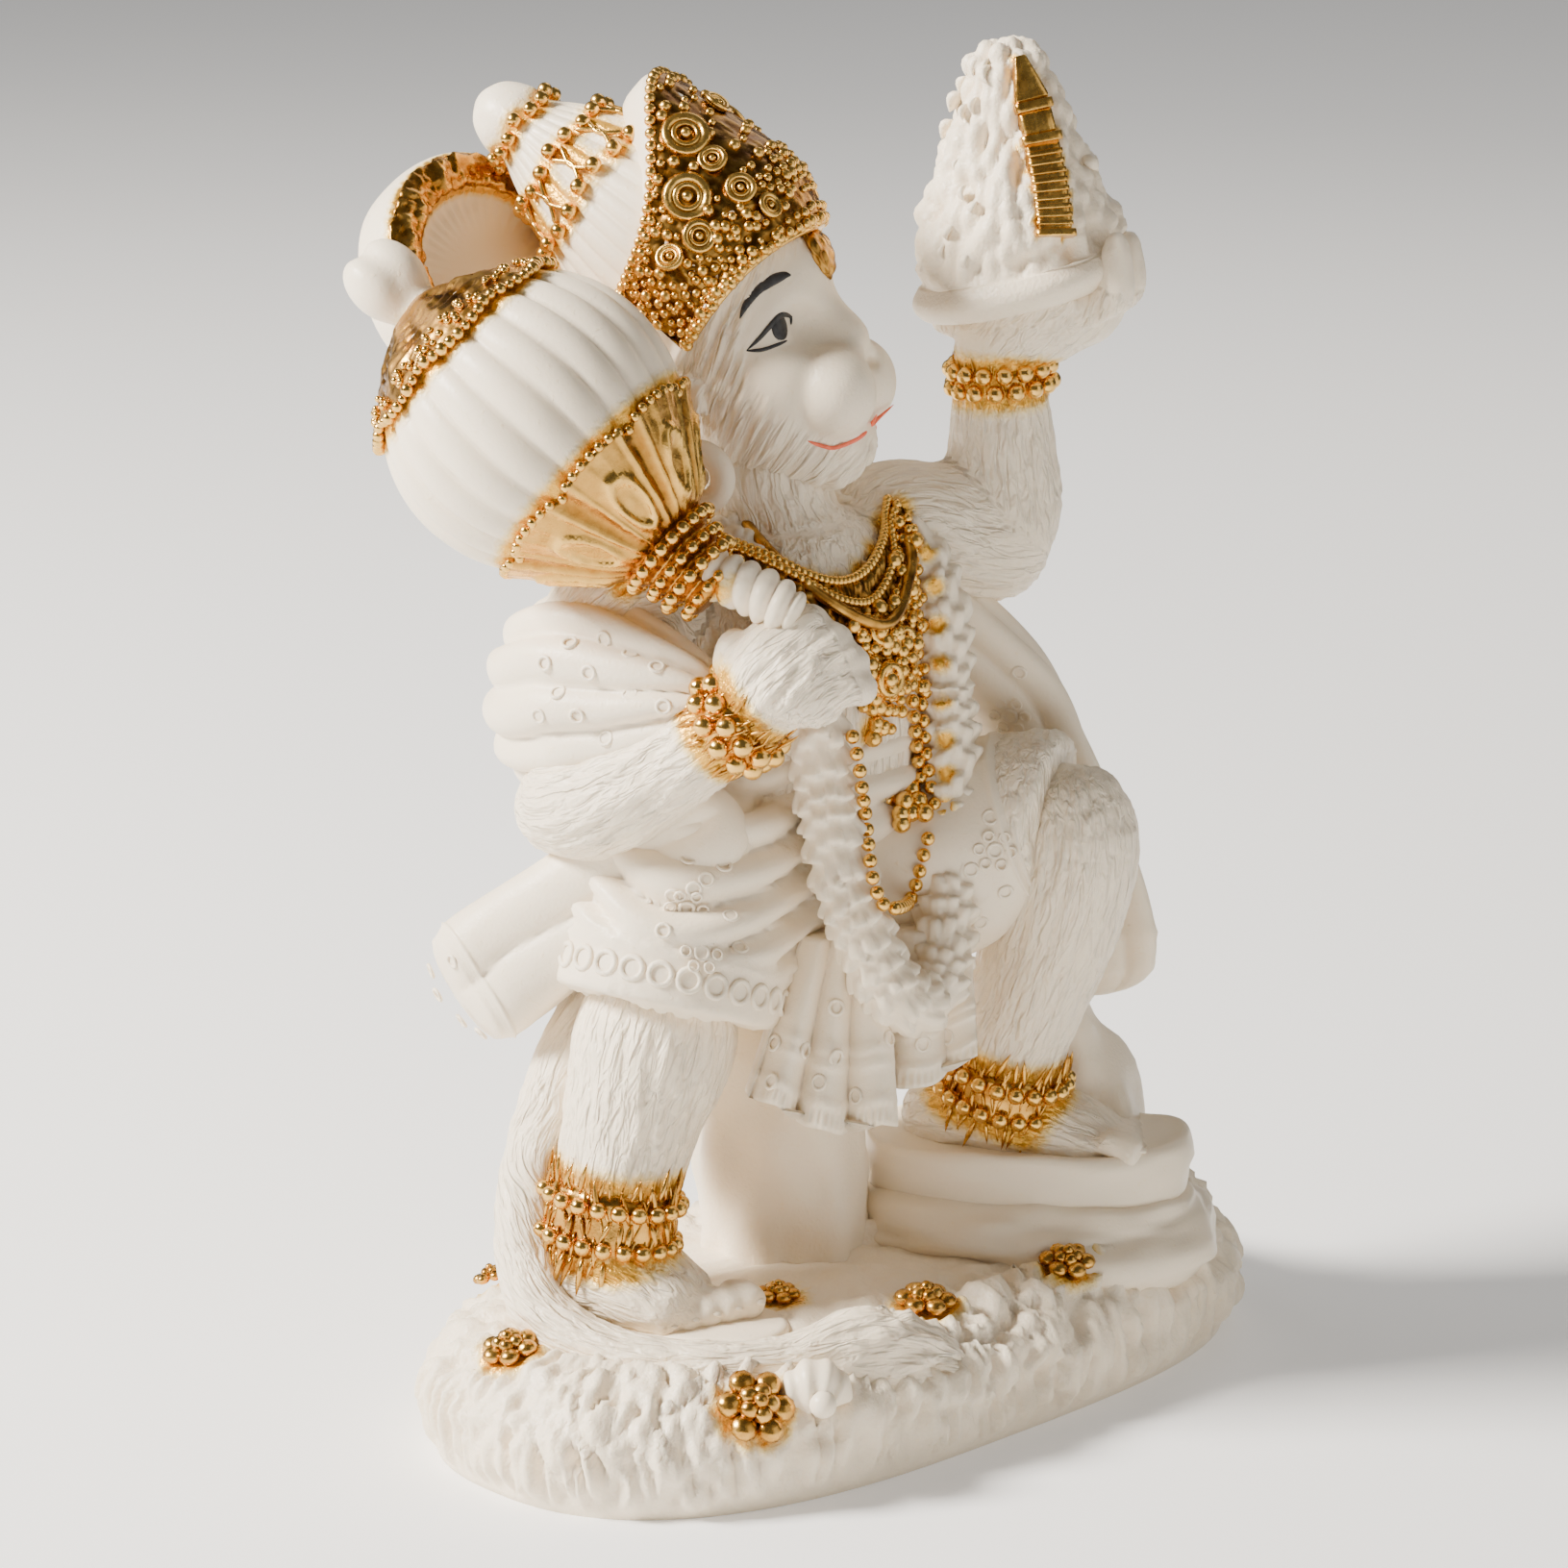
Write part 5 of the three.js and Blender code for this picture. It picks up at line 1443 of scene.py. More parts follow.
@dataclass
class Dhoti:
    """The wrap round hips and right thigh, the cloth on the left thigh, and two fans of pleats."""

    trunk: Rows = ((-6, 6, 31, 9, 7), (-6, 6, 37, 17, 12.5), (-5, 6, 45, 17, 13),
                   (-4, 5.5, 53, 15.5, 12.6), (-3.2, 4.2, 63, 16.2, 12.4), (-3.2, 3.8, 70, 15, 11))
    skirt: Rows = ((-16, 5.7, 60, 12, 11.6), (-18.5, 5.4, 53, 13.2, 12.6), (-21.5, 4.9, 46, 13.8, 13.2),
                   (-24.2, 4.3, 39, 14, 13.6), (-25.6, 4.1, 35.2, 13.9, 13.5))
    thigh: Rows = ((-2, 9, 46, 12, 12), (5, 4, 47, 13.4, 13), (12, -3.5, 49, 13, 12.4),
                   (17.5, -10.4, 53, 10.8, 10.8), (20.2, -14.4, 54.2, 10, 10))
    knee: Rows = ((14, -6, 51, 9, 9), (19, -13, 54.6, 9.6, 9.6), (20.4, -15.6, 54.8, 8.6, 8.6))
    knee_comb: Rows = ((20, -14, 76, 8, 8), (21, -15.6, 54, 8, 8), (21, -15.8, 34, 8, 8))
    fans: Sequence[tuple] = (((-8.8, -8.4, 44), 4.6, (-14, -10.6, 23.2), 8.8, 4.4, 3, 1.5, 2.2),
                             ((1.4, -10.6, 43), 6, (-1.8, -13.8, 26.4), 6.8, 4, 2, 1.3, -1.0))
    fan_rings: Rows = ((805, 1085), (838, 1092), (870, 1100), (802, 1125), (852, 1126), (890, 1140),
                       (925, 1080), (960, 1086), (985, 1078), (870, 1048))
    rings: Rows = ((716, 893), (722, 925), (700, 932), (735, 915), (753, 900), (690, 968), (760, 952),
                   (770, 985), (1010, 905), (1062, 862), (1046, 928), (1075, 905), (1030, 850),
                   (1000, 930), (1020, 960))
    blooms: Rows = ((730, 991), (714, 945), (1035, 885))
    hem_rings: int = 26

    def folds(self, p: Array) -> Array:
        """Sagging folds: |sin| of the height and a parabola across the hip, with sharp valleys."""
        aside = (rightward(p) + 14) / 12
        sag = p[:, 2] + 3.4 * np.clip(1 - aside**2, -1, 1) + 1.2 * noise(p, 11, 21)
        return 2.5 * (np.abs(np.sin(np.pi * sag / 4.9)) ** 0.75 - 0.62)

    def hem(self) -> tuple[Array, Array]:
        """The middle of the wrap's hem, and the direction down to it."""
        low = place(self.skirt[-1])
        return low, unit(low - place(self.skirt[0]))

    def wrap(self) -> Skin:
        """The hips and right thigh under the wrap, with its folds and hem."""
        body, skirt = Limb(self.trunk, blunt=8), Limb(self.skirt, blunt=16, stations=40)
        skin = Casting(0.76, 3.0).add(body, skirt).skin(2)
        p = skin.corners
        d = skirt.distance(p)
        low, run = self.hem()
        down = (p - low) @ run
        on_skirt = smooth(-np.abs(d), -1.2, -0.3)
        hem = on_skirt * (bump_at(down, -1.0, 0.45) + bump_at(down, -6.6, 0.45)
                          + 0.7 * bump_at(down, -7.8, 0.4))
        soft = 1 - on_skirt * smooth(down, -9.0, -7.0)
        skin.pushed(self.folds(p) * soft * smooth(p[:, 2], GROUND + 31, GROUND + 36) + 0.45 * hem)
        return skin

    def thigh_skin(self) -> Skin:
        """The left thigh's cloth, with a raised border beside the knee."""
        limb = Limb(self.thigh, (0, 0, 1), stations=32)
        points, out, t, phi, _ = limb.grid(80, 116)
        border = bump_at(t, 0.78, 0.012) + bump_at(t, 0.845, 0.012)
        border = border + 1.3 * smooth(t, 0.85, 0.862) * (1 - smooth(t, 0.862, 0.9))
        p = points.reshape(-1, 3)
        pull = np.sin(5 * phi + 3 * t + 0.8 * noise(p, 11, 4).reshape(t.shape)) * (1 - smooth(t, 0.5, 0.76))
        return sheet_of(points + out * (0.55 * border + 0.5 * pull)[..., None])

    def knee_skin(self) -> Skin:
        """The bare furry knee that comes out of the cloth, its fur combed down the shin."""
        skin = Casting(0.66, 2).add(Limb(self.knee, (0, 0, 1))).skin(2)
        return combed(skin, [Limb(self.knee_comb)], 0.4)

    def pleat(self, top: Sequence[float], top_half: float, low: Sequence[float], low_half: float,
              thickness: float, count: int, depth: float, slope: float) -> Skin:
        """A fan of pleats: a wavy ribbon with a front and a back, from a narrow top to a wide hem.

        Across the fan a point waves out by |cos|^0.75 of half the turn, sharp in the valleys, growing
        towards the hem.

        Args:
            top, low: the middles of its upper edge and of its hem.
            top_half, low_half: half their widths.
            thickness: between front and back.
            count: the number of pleats.
            depth: a pleat's depth.
            slope: how much lower the hem hangs at one side.

        Returns:
            The skin.
        """
        high, foot = place(top), place(low)
        sideways, outward = unit(np.array([0.82, -0.57, 0])), unit(np.array([-0.57, -0.82, 0]))
        n = 38 * count
        x = np.linspace(-1, 1, n)
        x = np.concatenate([x, x[::-1]])
        face = np.concatenate([np.ones(n), -np.ones(n)])
        down = np.linspace(0, 1, 36)
        d, x = np.meshgrid(down, x, indexing="ij")
        face = np.broadcast_to(face, d.shape)
        half = top_half + (low_half - top_half) * d**0.85
        turn = np.pi * count * (x + 0.06 * np.sin(2.2 * d + 3 * x))
        crest = np.abs(np.cos(turn / 2)) ** 0.75 - 0.6
        wave = 2.2 * depth * (0.35 + 0.65 * d) * crest * np.where(face > 0, 1, 0.5)
        hem = 0.5 * (bump_at(d, 0.86, 0.026) + bump_at(d, 0.58, 0.026) + bump_at(d, 0.66, 0.026))
        fringe = 0.2 * smooth(d, 0.88, 0.91) * np.cos(8 * np.pi * x * count)
        hem = (hem + fringe) * (1 - smooth(d, 0.95, 0.99)) * (face > 0)
        droop = -1.2 * d * np.cos(np.pi * x) + 0.5 * d * np.cos(turn) - slope * d * x
        points = (high + (foot - high) * d[..., None] + sideways * (x * half)[..., None]
                  + outward * (wave + hem + face * thickness / 2 * (1 - 0.25 * x**4))[..., None]
                  + np.array([0, 0, 1.0]) * droop[..., None])
        return sheet_of(points)

    def build(self) -> Skin:
        """Makes the cloth and its stamped rings, and gives back the cloth that the jewels hang over."""
        wrap, thigh = self.wrap(), self.thigh_skin()
        knee = self.knee_skin()
        fans = joined([self.pleat(*fan) for fan in self.fans])
        cloth = joined([wrap, thigh])
        dress(wrap, "hip_wrap", CLOTH)
        dress(thigh, "left_thigh_cloth", CLOTH)
        dress(knee, "left_knee", FURRED)
        dress(fans, "pleats", CLOTH)
        stamped = [hoops(*seen(cloth, self.rings), 0.8, 0.2, 12), rosette(*seen(cloth, self.blooms))]
        foot, run = self.hem()
        first = unit(np.array([1.0, 0, 0]) - run * run[0])
        second = np.cross(run, first)
        turn = turns(self.hem_rings)
        out = circle(turn, first, second)
        at, facing = touched(wrap, foot - 3.9 * run + 30 * out, -out)
        stamped.append(hoops(at, facing, 1.3, 0.34))
        stamped.append(hoops(*seen(fans, self.fan_rings), 0.85, 0.22))
        dress(joined(stamped), "stamped_rings", CLOTH)
        return cloth


@dataclass
class Shawl:
    """The shawl: over the right arm, free end behind, down from the left shoulder, across the back."""

    arm: Rows = ((-26.5, -9, 74, 3.6, 3.2), (-29, -3, 74, 7, 5), (-30.8, 4, 73.6, 10.2, 6.6),
                 (-31.8, 11, 72.8, 11.4, 7.8), (-31.6, 17.6, 70.6, 10, 6.8), (-27, 20.6, 69.4, 7, 5))
    end: Rows = ((-22, -5, 60.6, 5, 3.4), (-27, 2, 54.4, 7, 4.4), (-33, 12, 46.4, 7.4, 4.8),
                 (-38, 20.5, 38.8, 7.9, 5.2), (-41.8, 27, 33.4, 7.9, 5.2))
    left: Rows = ((9, 9, 84, 8, 5), (15.8, 6.2, 78, 8.6, 5.4), (25.2, 2.4, 67.4, 10.4, 5.2),
                  (29, -1, 57, 11, 4), (33, -5.4, 43, 11, 3.6), (34.4, -8.4, 27.4, 12, 3.6))
    back: Rows = ((-31, 13, 82, 8, 5), (-22, 17.5, 74, 9, 4), (-8, 19.5, 67, 9.5, 4),
                  (6, 18.5, 67, 9.5, 4), (17, 14, 73, 9, 4), (24, 6, 80, 7, 4))
    rings: Rows = ((628, 665), (683, 693), (655, 722), (580, 720), (630, 768), (592, 668), (612, 700),
                   (566, 690), (600, 745), (560, 745), (690, 735), (655, 680), (1050, 745), (1085, 800),
                   (1060, 700), (470, 1000), (455, 1035), (480, 1062), (500, 1075), (448, 1010))
    blooms: Rows = ((1050, 745),)

    def ribbon(self, rows: Rows, side: Sequence[float], blunt: float, folds: int, depth: float, steps: int,
               sides: int, phase: float = 0.0, hem: bool = False, slant: float = 0.0) -> Skin:
        """A length of gathered cloth: a limb whose radius is scalloped by its folds.

        The folds are |cos|, sharp in the valleys and round on the crests, and wander as they run along.

        Args:
            rows, side, blunt: the limb.
            folds, depth, phase: the folds' number, depth and start round the limb.
            steps, sides: grid size along and round.
            hem: whether two raised lines cross its end.
            slant: how far the end is drawn back where it faces the viewpoint, so that it is cut askew.

        Returns:
            The skin.
        """
        points, out, t, phi, _ = Limb(rows, side, blunt=blunt, stations=32).grid(steps, sides)
        p = points.reshape(-1, 3)
        bend = phi + 0.22 * noise(p, (14, 14, 10), 6).reshape(t.shape) + phase
        scallop = np.abs(np.cos(0.5 * folds * bend)) ** 0.7 - 0.62
        ease = smooth(t, 0.0, 0.12) * (1 - smooth(t, 0.97, 1.0))
        fine = 0.25 * noise(np.stack([phi * 6, t * 9, 0 * t], -1), 1.4, 8)
        height = depth * ease * scallop + 0.3 * fine * ease
        if hem:
            height = height + 0.3 * (bump_at(t, 0.90, 0.008) + bump_at(t, 0.955, 0.008))
        points = points + out * height[..., None]
        if slant > 0:
            centre = points.mean(1, keepdims=True)
            run = unit(centre[-1, 0] - centre[-6, 0])
            forward = (points - centre) @ VIEW.axes()[0] + 6
            points = points - slant * (smooth(t, 0.55, 0.95) * forward)[..., None] * run
        return sheet_of(points)

    def build(self) -> None:
        """Makes the shawl's four lengths and the dots stamped in them."""
        arm = self.ribbon(self.arm, (0, 0, 1), 5, 11, 1.7, 84, 132, 0.15)
        end = self.ribbon(self.end, (0, 0, 1), 16, 4, 1.7, 84, 96, 0.9, True, 0.7)
        left = self.ribbon(self.left, (0.1, -1, 0.1), 13, 6, 1.5, 84, 96, 0.2, True)
        back = self.ribbon(self.back, (0, 0, 1), 5, 7, 1.1, 70, 68)
        for skin, name in ((arm, "shawl_on_arm"), (end, "shawl_free_end"), (left, "shawl_left"),
                           (back, "shawl_back")):
            dress(skin, name, CLOTH)
        cloth = joined([arm, end, left])
        dress(joined([hoops(*seen(cloth, self.rings), 0.8, 0.2, 12), rosette(*seen(cloth, self.blooms))]),
              "shawl_dots", CLOTH)


# Body


@dataclass
class Body:
    """The furry chest, the arms and the hands, with their bracelets."""

    chest: Rows = ((-4, 5.5, 52, 14.5, 11.8), (-3.2, 4.2, 60, 15.6, 12), (-3.2, 3.8, 70, 17.4, 12.2),
                   (-3.6, 3.9, 78, 18.4, 11.2), (-4, 4.5, 86, 13.4, 9.2), (-4.5, 5, 92, 8, 7.5))
    neck: Rows = ((-4, 5, 80, 8, 8), (-4.3, 5.5, 86, 7.6, 7.6), (-5.4, 7.6, 93, 7.6, 7.6),
                  (-6, 8.6, 101, 8, 8))
    right_upper: Rows = ((-17, 6, 84, 7, 7), (-25, 9, 83, 8, 8), (-31, 12, 74, 7.4, 7.4),
                         (-33, 13, 64, 6, 6))
    right_fore: Rows = ((-32.5, 17, 61.5, 6, 6), (-33, 11.5, 60.4, 7.2, 7.2), (-32.4, 4, 62.6, 6.6, 6.8),
                        (-30, -4, 67.5, 5.4, 5.6), (-27.4, -10.8, 72.6, 4.6, 4.8),
                        (-25.5, -14.5, 76.5, 4.4, 4.6))
    left_upper: Rows = ((4, 6, 86, 8, 8), (12, 4, 87.4, 8, 7.8), (19, 1.6, 85.6, 7.8, 7),
                        (25.6, -1, 84, 6.8, 6.2), (29.6, -1.6, 84.4, 4.6, 4.6))
    left_fore: Rows = ((26.8, -1.2, 80, 4.6, 4.6), (26.4, -1, 86, 6.6, 6.6), (25.8, -0.8, 93, 6.7, 6.6),
                       (25.4, -0.6, 100.5, 6, 5.8), (25.2, -0.6, 107, 5.5, 5.3), (25.4, -1, 111, 5.4, 5))
    lacquered: Rows = ((742, 556), (770, 572), (806, 592), (842, 608), (872, 612), (896, 598), (912, 575),
                       (922, 545), (935, 530), (650, 610), (690, 600), (940, 620), (950, 700), (955, 780),
                       (905, 760), (925, 820))
    grip: Sequence[float] = (-25.6, -14.6, 78.4, 805, 700)
    pixels_a_mm: float = 9.36
    grip_side: Sequence[float] = (0.39, -0.61, -0.68)
    thumb_tip: Rows = ((768, 690, -2, 1.5, 1.5), (756, 690, -1.6, 1.6, 1.6), (748, 690, -1.4, 1.3, 1.3))
    left_thumb: Rows = ((23.4, 3, 109.6), (23, 6.4, 111), (23, 8, 114))
    fist: Rows = ((783, 754, 0, 4.6, 4.4), (799, 724, 0.3, 6.2, 4.9), (822, 702, 0.4, 7.0, 4.7),
                  (846, 686, 0, 6.8, 4.1), (864, 677, -0.6, 6.2, 3.4))
    knuckles: Rows = ((818, 672, 841, 649), (830, 690, 865, 667), (840, 708, 883, 689),
                      (848, 728, 892, 716))
    thumb: Rows = ((782, 738, 0.2, 2.9, 2.9), (770, 706, -0.4, 2.9, 2.9), (763, 676, -1.2, 2.6, 2.6),
                   (754, 668, -2.4, 2, 2))
    palm: Rows = ((25.2, -1, 105, 5, 5), (25.5, -1.7, 108.4, 5.9, 5.6), (27.2, -3.6, 112, 7.9, 7),
                  (29.4, -5.8, 115.8, 9.6, 8.6), (30, -6.6, 118.2, 7, 6.4))
    right_bracelet: BeadCuff = field(default_factory=lambda: BeadCuff(
        (-27.4, -10.8, 72.7), (0.27, -0.76, 0.58), 4.9, 5.1, 5.4, 2, 1.25, 2.2))
    left_bracelet: BeadCuff = field(default_factory=lambda: BeadCuff(
        (25.4, -0.6, 104.6), (-0.1, 0, 1), 5.5, 5.4, 2.8, 2, 1.1, 1.4, 2.1))

    def finger(self, knuckle: Array, joint: Array, tip: Array, size: float) -> Limb:
        """A finger that bends at one joint and swells a little there."""
        rows = [[*knuckle, size, size], [*(0.5 * (knuckle + joint)), 0.95 * size, 0.95 * size],
                [*joint, 1.05 * size, 1.05 * size],
                [*(0.5 * (joint + tip)), 0.92 * size, 0.92 * size], [*tip, 0.85 * size, 0.85 * size]]
        return Limb(rows, (0.3, 0.4, 0.85), blunt=3.5, stations=16)

    def gripped(self, rows: Rows) -> Array:
        """Row-frame places by the right hand, from pixels and millimetres towards the camera."""
        rows = np.asarray(rows, float)
        back, right, up = VIEW.axes()
        return (place(self.grip) + (rows[..., :1] - self.grip[3]) / self.pixels_a_mm * right
                - (rows[..., 1:2] - self.grip[4]) / self.pixels_a_mm * up
                + rows[..., 2:3] * back)

    def seen_limb(self, rows: Rows, side: Array, blunt: float) -> Limb:
        """A limb whose rows are given in the right hand's places."""
        rows = np.asarray(rows, float)
        return Limb(np.concatenate([self.gripped(rows), rows[:, 3:]], 1), side, blunt, 18, True)

    def right_fingers(self) -> list[Limb]:
        """Four fingers that run to their knuckles and fold round the handle, and the thumb behind."""
        found = []
        side = np.array(self.grip_side)
        for i, (x0, y0, x1, y1) in enumerate(self.knuckles):
            r = 2.1 - 0.07 * i
            rows = ((x0, y0, 1.6, r, r), (0.45 * x0 + 0.55 * x1, 0.45 * y0 + 0.55 * y1, 1.7, r, r),
                    (x1, y1, 0.6, 1.04 * r, 1.04 * r),
                    (x1 + 2, y1 + 2, -2.2, r, r), (x1 - 14, y1 + 8, -5.4, 0.9 * r, 0.9 * r))
            found.append(self.seen_limb(rows, side, 3.5))
        found.append(self.seen_limb(self.thumb, side, 3.5))
        found.append(self.seen_limb(self.thumb_tip, side, 3))
        return found

    def left_fingers(self) -> list[Limb]:
        """Four fingers that fan out and curl up round the hill's ledge, and the thumb behind."""
        found = []
        for i in range(4):
            turn = math.radians(-74 + 27 * i)

            def spot(reach: float, z: float) -> Array:
                """A place round the palm's middle."""
                return np.array([24.6 + reach * math.cos(turn), -3 + reach * math.sin(turn), z])

            found.append(self.finger(spot(9, 111.6), spot(13.4, 115.6), spot(13.6, 123.2 - 0.7 * i), 2.2))
        found.append(self.finger(*(np.array(p) for p in self.left_thumb), 1.9))
        return found

    def hand(self, core: Limb, wrist: Limb, fingers: list[Limb], cuff: BeadCuff, name: str,
             cell: float) -> None:
        """Makes a hand: the palm and fingers run together, and furred towards the wrist.

        Args:
            core, wrist, fingers: its limbs.
            cuff: the bracelet that stains it.
            name: the hand's name.
            cell: the casting's cell.
        """
        cast = Casting(cell, 2.2).add(core, wrist).add(*fingers, blend=0.9)
        skin = cast.skin(2)
        tips = np.array([f.path().table[-1, :3] for f in fingers])
        far = nearest(skin.corners, tips)
        combed(skin, [core, wrist], 0.40, 0.2 + 0.8 * smooth(far, 2.0, 5), 1.1, 5.0)
        stained(skin, cuff.spots(), 3.0)
        dress(skin, name, FURRED)

    def build(self) -> Skin:
        """Makes the body and gives back the chest and arms, which the jewels lie on."""
        limbs = [Limb(self.chest), Limb(self.neck), Limb(self.right_upper),
                 Limb(self.right_fore, (1, 0, 0.2)),
                 Limb(self.left_upper, (0, 0, 1)), Limb(self.left_fore)]
        skin = Casting(0.73, 3.4).add(*limbs).skin(2)
        combed(skin, limbs, 0.46, 1.0, 1.35, 6.5)
        runs = seen(skin, self.lacquered)[0]
        stained(skin, np.concatenate([self.right_bracelet.spots(), self.left_bracelet.spots(), runs]), 3.0)
        dress(skin, "chest_and_arms", FURRED)
        self.hand(self.seen_limb(self.fist, np.array(self.grip_side), 4),
                  Limb(self.right_fore[3:], (1, 0, 0.2), blunt=8),
                  self.right_fingers(), self.right_bracelet, "right_hand", 0.42)
        self.hand(Limb(self.palm), Limb(self.left_fore[3:], blunt=8), self.left_fingers(),
                  self.left_bracelet, "left_hand", 0.62)
        self.right_bracelet.build("right_bracelet")
        self.left_bracelet.build("left_bracelet")
        return skin


# Head and crown


@dataclass(frozen=True)
class Turned:
    """A form turned about an axis, with its angle counted from `front`."""

    origin: Array
    axis: Array
    front: Array

    def at(self, radius: Array, height: Array, phi: Array) -> Array:
        """The point at that radius, height along the axis and angle."""
        third = np.cross(self.axis, self.front)
        radius, height, phi = np.broadcast_arrays(radius, height, phi)
        out = np.cos(phi)[..., None] * self.front + np.sin(phi)[..., None] * third
        return self.origin + height[..., None] * self.axis + radius[..., None] * out

    def skin(self, profile: Rows, steps: int, cols: int, change: Callable | None = None,
             ring: bool = False) -> Skin:
        """The turned skin of a profile of radius and height, run through smoothly.

        Args:
            profile: rows of radius and height.
            steps, cols: grid size along the profile and round the axis.
            change: takes radius, height, angle and share and gives a new radius and height.
            ring: whether the profile closes on itself.
        """
        s = np.arange(steps) / steps if ring else np.linspace(0, 1, steps)
        rows = spline(np.asarray(profile, float), s, ring)
        phi = turns(cols) - np.pi
        r, h = np.maximum(rows[:, :1], 0.01) + 0 * phi, rows[:, 1:] + 0 * phi
        phi = phi[None] + 0 * r
        if change is not None:
            r, h = change(r, h, phi, s[:, None] + 0 * phi)
        return sheet_of(self.at(r, h, phi), round_v=ring)


def wire(points: Array, radius: float | Array, closed: bool = False, sides: int = 8,
         steps: int = 0) -> Skin:
    """A round wire through points of the row frame.

    Args:
        points: the points.
        radius: the wire's radius, one or one for each point.
        closed: whether the last point joins the first.
        sides, steps: grid size round and along; by default six steps a point.

    Returns:
        The skin.
    """
    n = steps or 6 * len(points)
    r = np.broadcast_to(np.asarray(radius, float), len(points))[:, None]
    path = Path(np.concatenate([points, r, r], 1), (0.31, 0.47, 0.83), closed, True)
    t = np.arange(n) / n if closed else np.linspace(0, 1, n)
    centre, _, across, deep, size = path.at(t)
    phi = turns(sides)
    ends = np.ones(n) if closed else np.sqrt(np.clip(1 - np.abs(2 * t - 1) ** 24, 0, 1)) + 0.02
    grid = centre[:, None] + (size[:, :1] * ends[:, None])[..., None] * (
        across[:, None] * np.cos(phi)[:, None] + deep[:, None] * np.sin(phi)[:, None])
    return sheet_of(grid, round_v=closed)


@dataclass
class Head:
    """The head: smooth face, furred jaw and nape, ears with thick hoops, and painted features."""

    centre: Sequence[float] = (-6.5, 10.1, 108.8)
    turn: float = 29.0
    nose: Rows = ((6.6, 0, 7.4, 2.0, 2.4), (9.6, 0, 5.4, 2.1, 2.5), (12.5, 0, 2.7, 2.5, 2.6),
                  (13.4, 0, 0.9, 2.2, 2.0))
    brow_line: Rows = ((769, 333, 0.8), (775, 319, 3.0), (786, 304, 4.4), (799, 294, 4.8), (814, 287, 4.4),
                       (823, 286, 1.6))
    upper_lid: Rows = ((776, 365, 1.0), (790, 352, 2.2), (804, 336, 2.8), (814, 327, 3.0), (822, 329, 2.4),
                       (823, 338, 1.2))
    lower_lid: Rows = ((776, 365, 1.0), (792, 364, 1.8), (808, 359, 1.8), (819, 354, 1.2))
    smile: Rows = ((839, 458, 1.2), (852, 463, 1.9), (867, 466, 2.0), (883, 461, 2.0), (897, 453, 2.2),
                   (907, 441, 2.2), (912, 431, 1.2))
    iris: Sequence[float] = (812, 340)
    ear: Rows = ((-5.2, 9.6, -8.6), (-6.6, 10.3, -5.4), (-5.4, 10.9, -1.8), (-2.9, 10.9, -1.6),
                 (-2.2, 10.6, -4.2), (-3.8, 10.2, -5.6))
    mark: Rows = ((7.2, 0, 15.4, 2.0, 0.8), (8.8, 0, 13.6, 2.9, 1.0), (9.7, 0, 11.4, 2.3, 1.0),
                  (10.0, 0, 9.4, 0.7, 0.7))

    def axes(self) -> Array:
        """Rows forward, leftward and up."""
        a = math.radians(self.turn)
        return np.array([[math.sin(a), -math.cos(a), 0], [math.cos(a), math.sin(a), 0], [0, 0, 1.0]])

    def spot(self, points: Sequence) -> Array:
        """Points given forward, leftward and up from the head's centre, in the row frame."""
        return place(self.centre) + np.asarray(points, float) @ self.axes()

    def mirrored(self, points: Array) -> Array:
        """Row-frame points carried to the head's other side."""
        left = self.axes()[1]
        return points - 2 * ((points - place(self.centre)) @ left)[:, None] * left

    def flipped(self, ways: Array) -> Array:
        """Directions carried to the head's other side."""
        left = self.axes()[1]
        return ways - 2 * (ways @ left)[:, None] * left

    def egg(self, centre: Sequence[float], sizes: Sequence[float]) -> Egg:
        """An ellipsoid in the head's own axes."""
        return Egg(centre, sizes, place(self.centre), self.axes())

    def bar(self, rows: Rows, blunt: float = 3) -> Limb:
        """A short limb whose rows are given in the head's own axes."""
        table = np.asarray(rows, float)
        rows = np.concatenate([self.spot(table[:, :3]), table[:, 3:]], 1)
        return Limb(rows, self.axes()[1], blunt, 16, True)

    def form(self) -> Skin:
        """The head run together from its eggs, with sockets cut, and eyes, lids, nostrils and lips."""
        cast = Casting(0.42, 2.6)
        cast.add(self.egg((-0.6, 0, 4.4), (10.6, 10.5, 12.4)), self.egg((3.4, 0, -4.6), (10.4, 9.8, 10.4)))
        cast.add(self.egg((10.2, 0, -9.0), (5.5, 5.9, 5.9)), self.egg((6.4, 0, 9.6), (3.4, 5.2, 5.4)),
                 self.bar(self.nose))
        for hand in (-1, 1):
            cast.add(self.egg((6.2, 5.4 * hand, -1.6), (4.4, 4.2, 4.4)))
            cast.cut(self.egg((9.4, 5.9 * hand, 4.9), (3.1, 2.9, 2.3)), blend=2.0)
            cast.add(self.egg((4.4, 5.4 * hand, 3.7), (2.9, 2.8, 2.5)), blend=0.8)
            cast.add(self.egg((12.0, 4.2 * hand, -2.9), (4.9, 4.8, 5.4)), blend=0.7)
            cast.add(self.egg((13.0, 1.9 * hand, 1.3), (1.9, 1.5, 1.7)), blend=1.0)
            cast.cut(self.egg((14.7, 1.6 * hand, -0.1), (0.9, 0.75, 0.7)), blend=0.5)
            table = [[f, l * hand, z, 1.15, 1.15] for f, l, z in self.ear]
            cast.add(self.bar(table, 5), blend=0.8)
        return cast.skin(2)

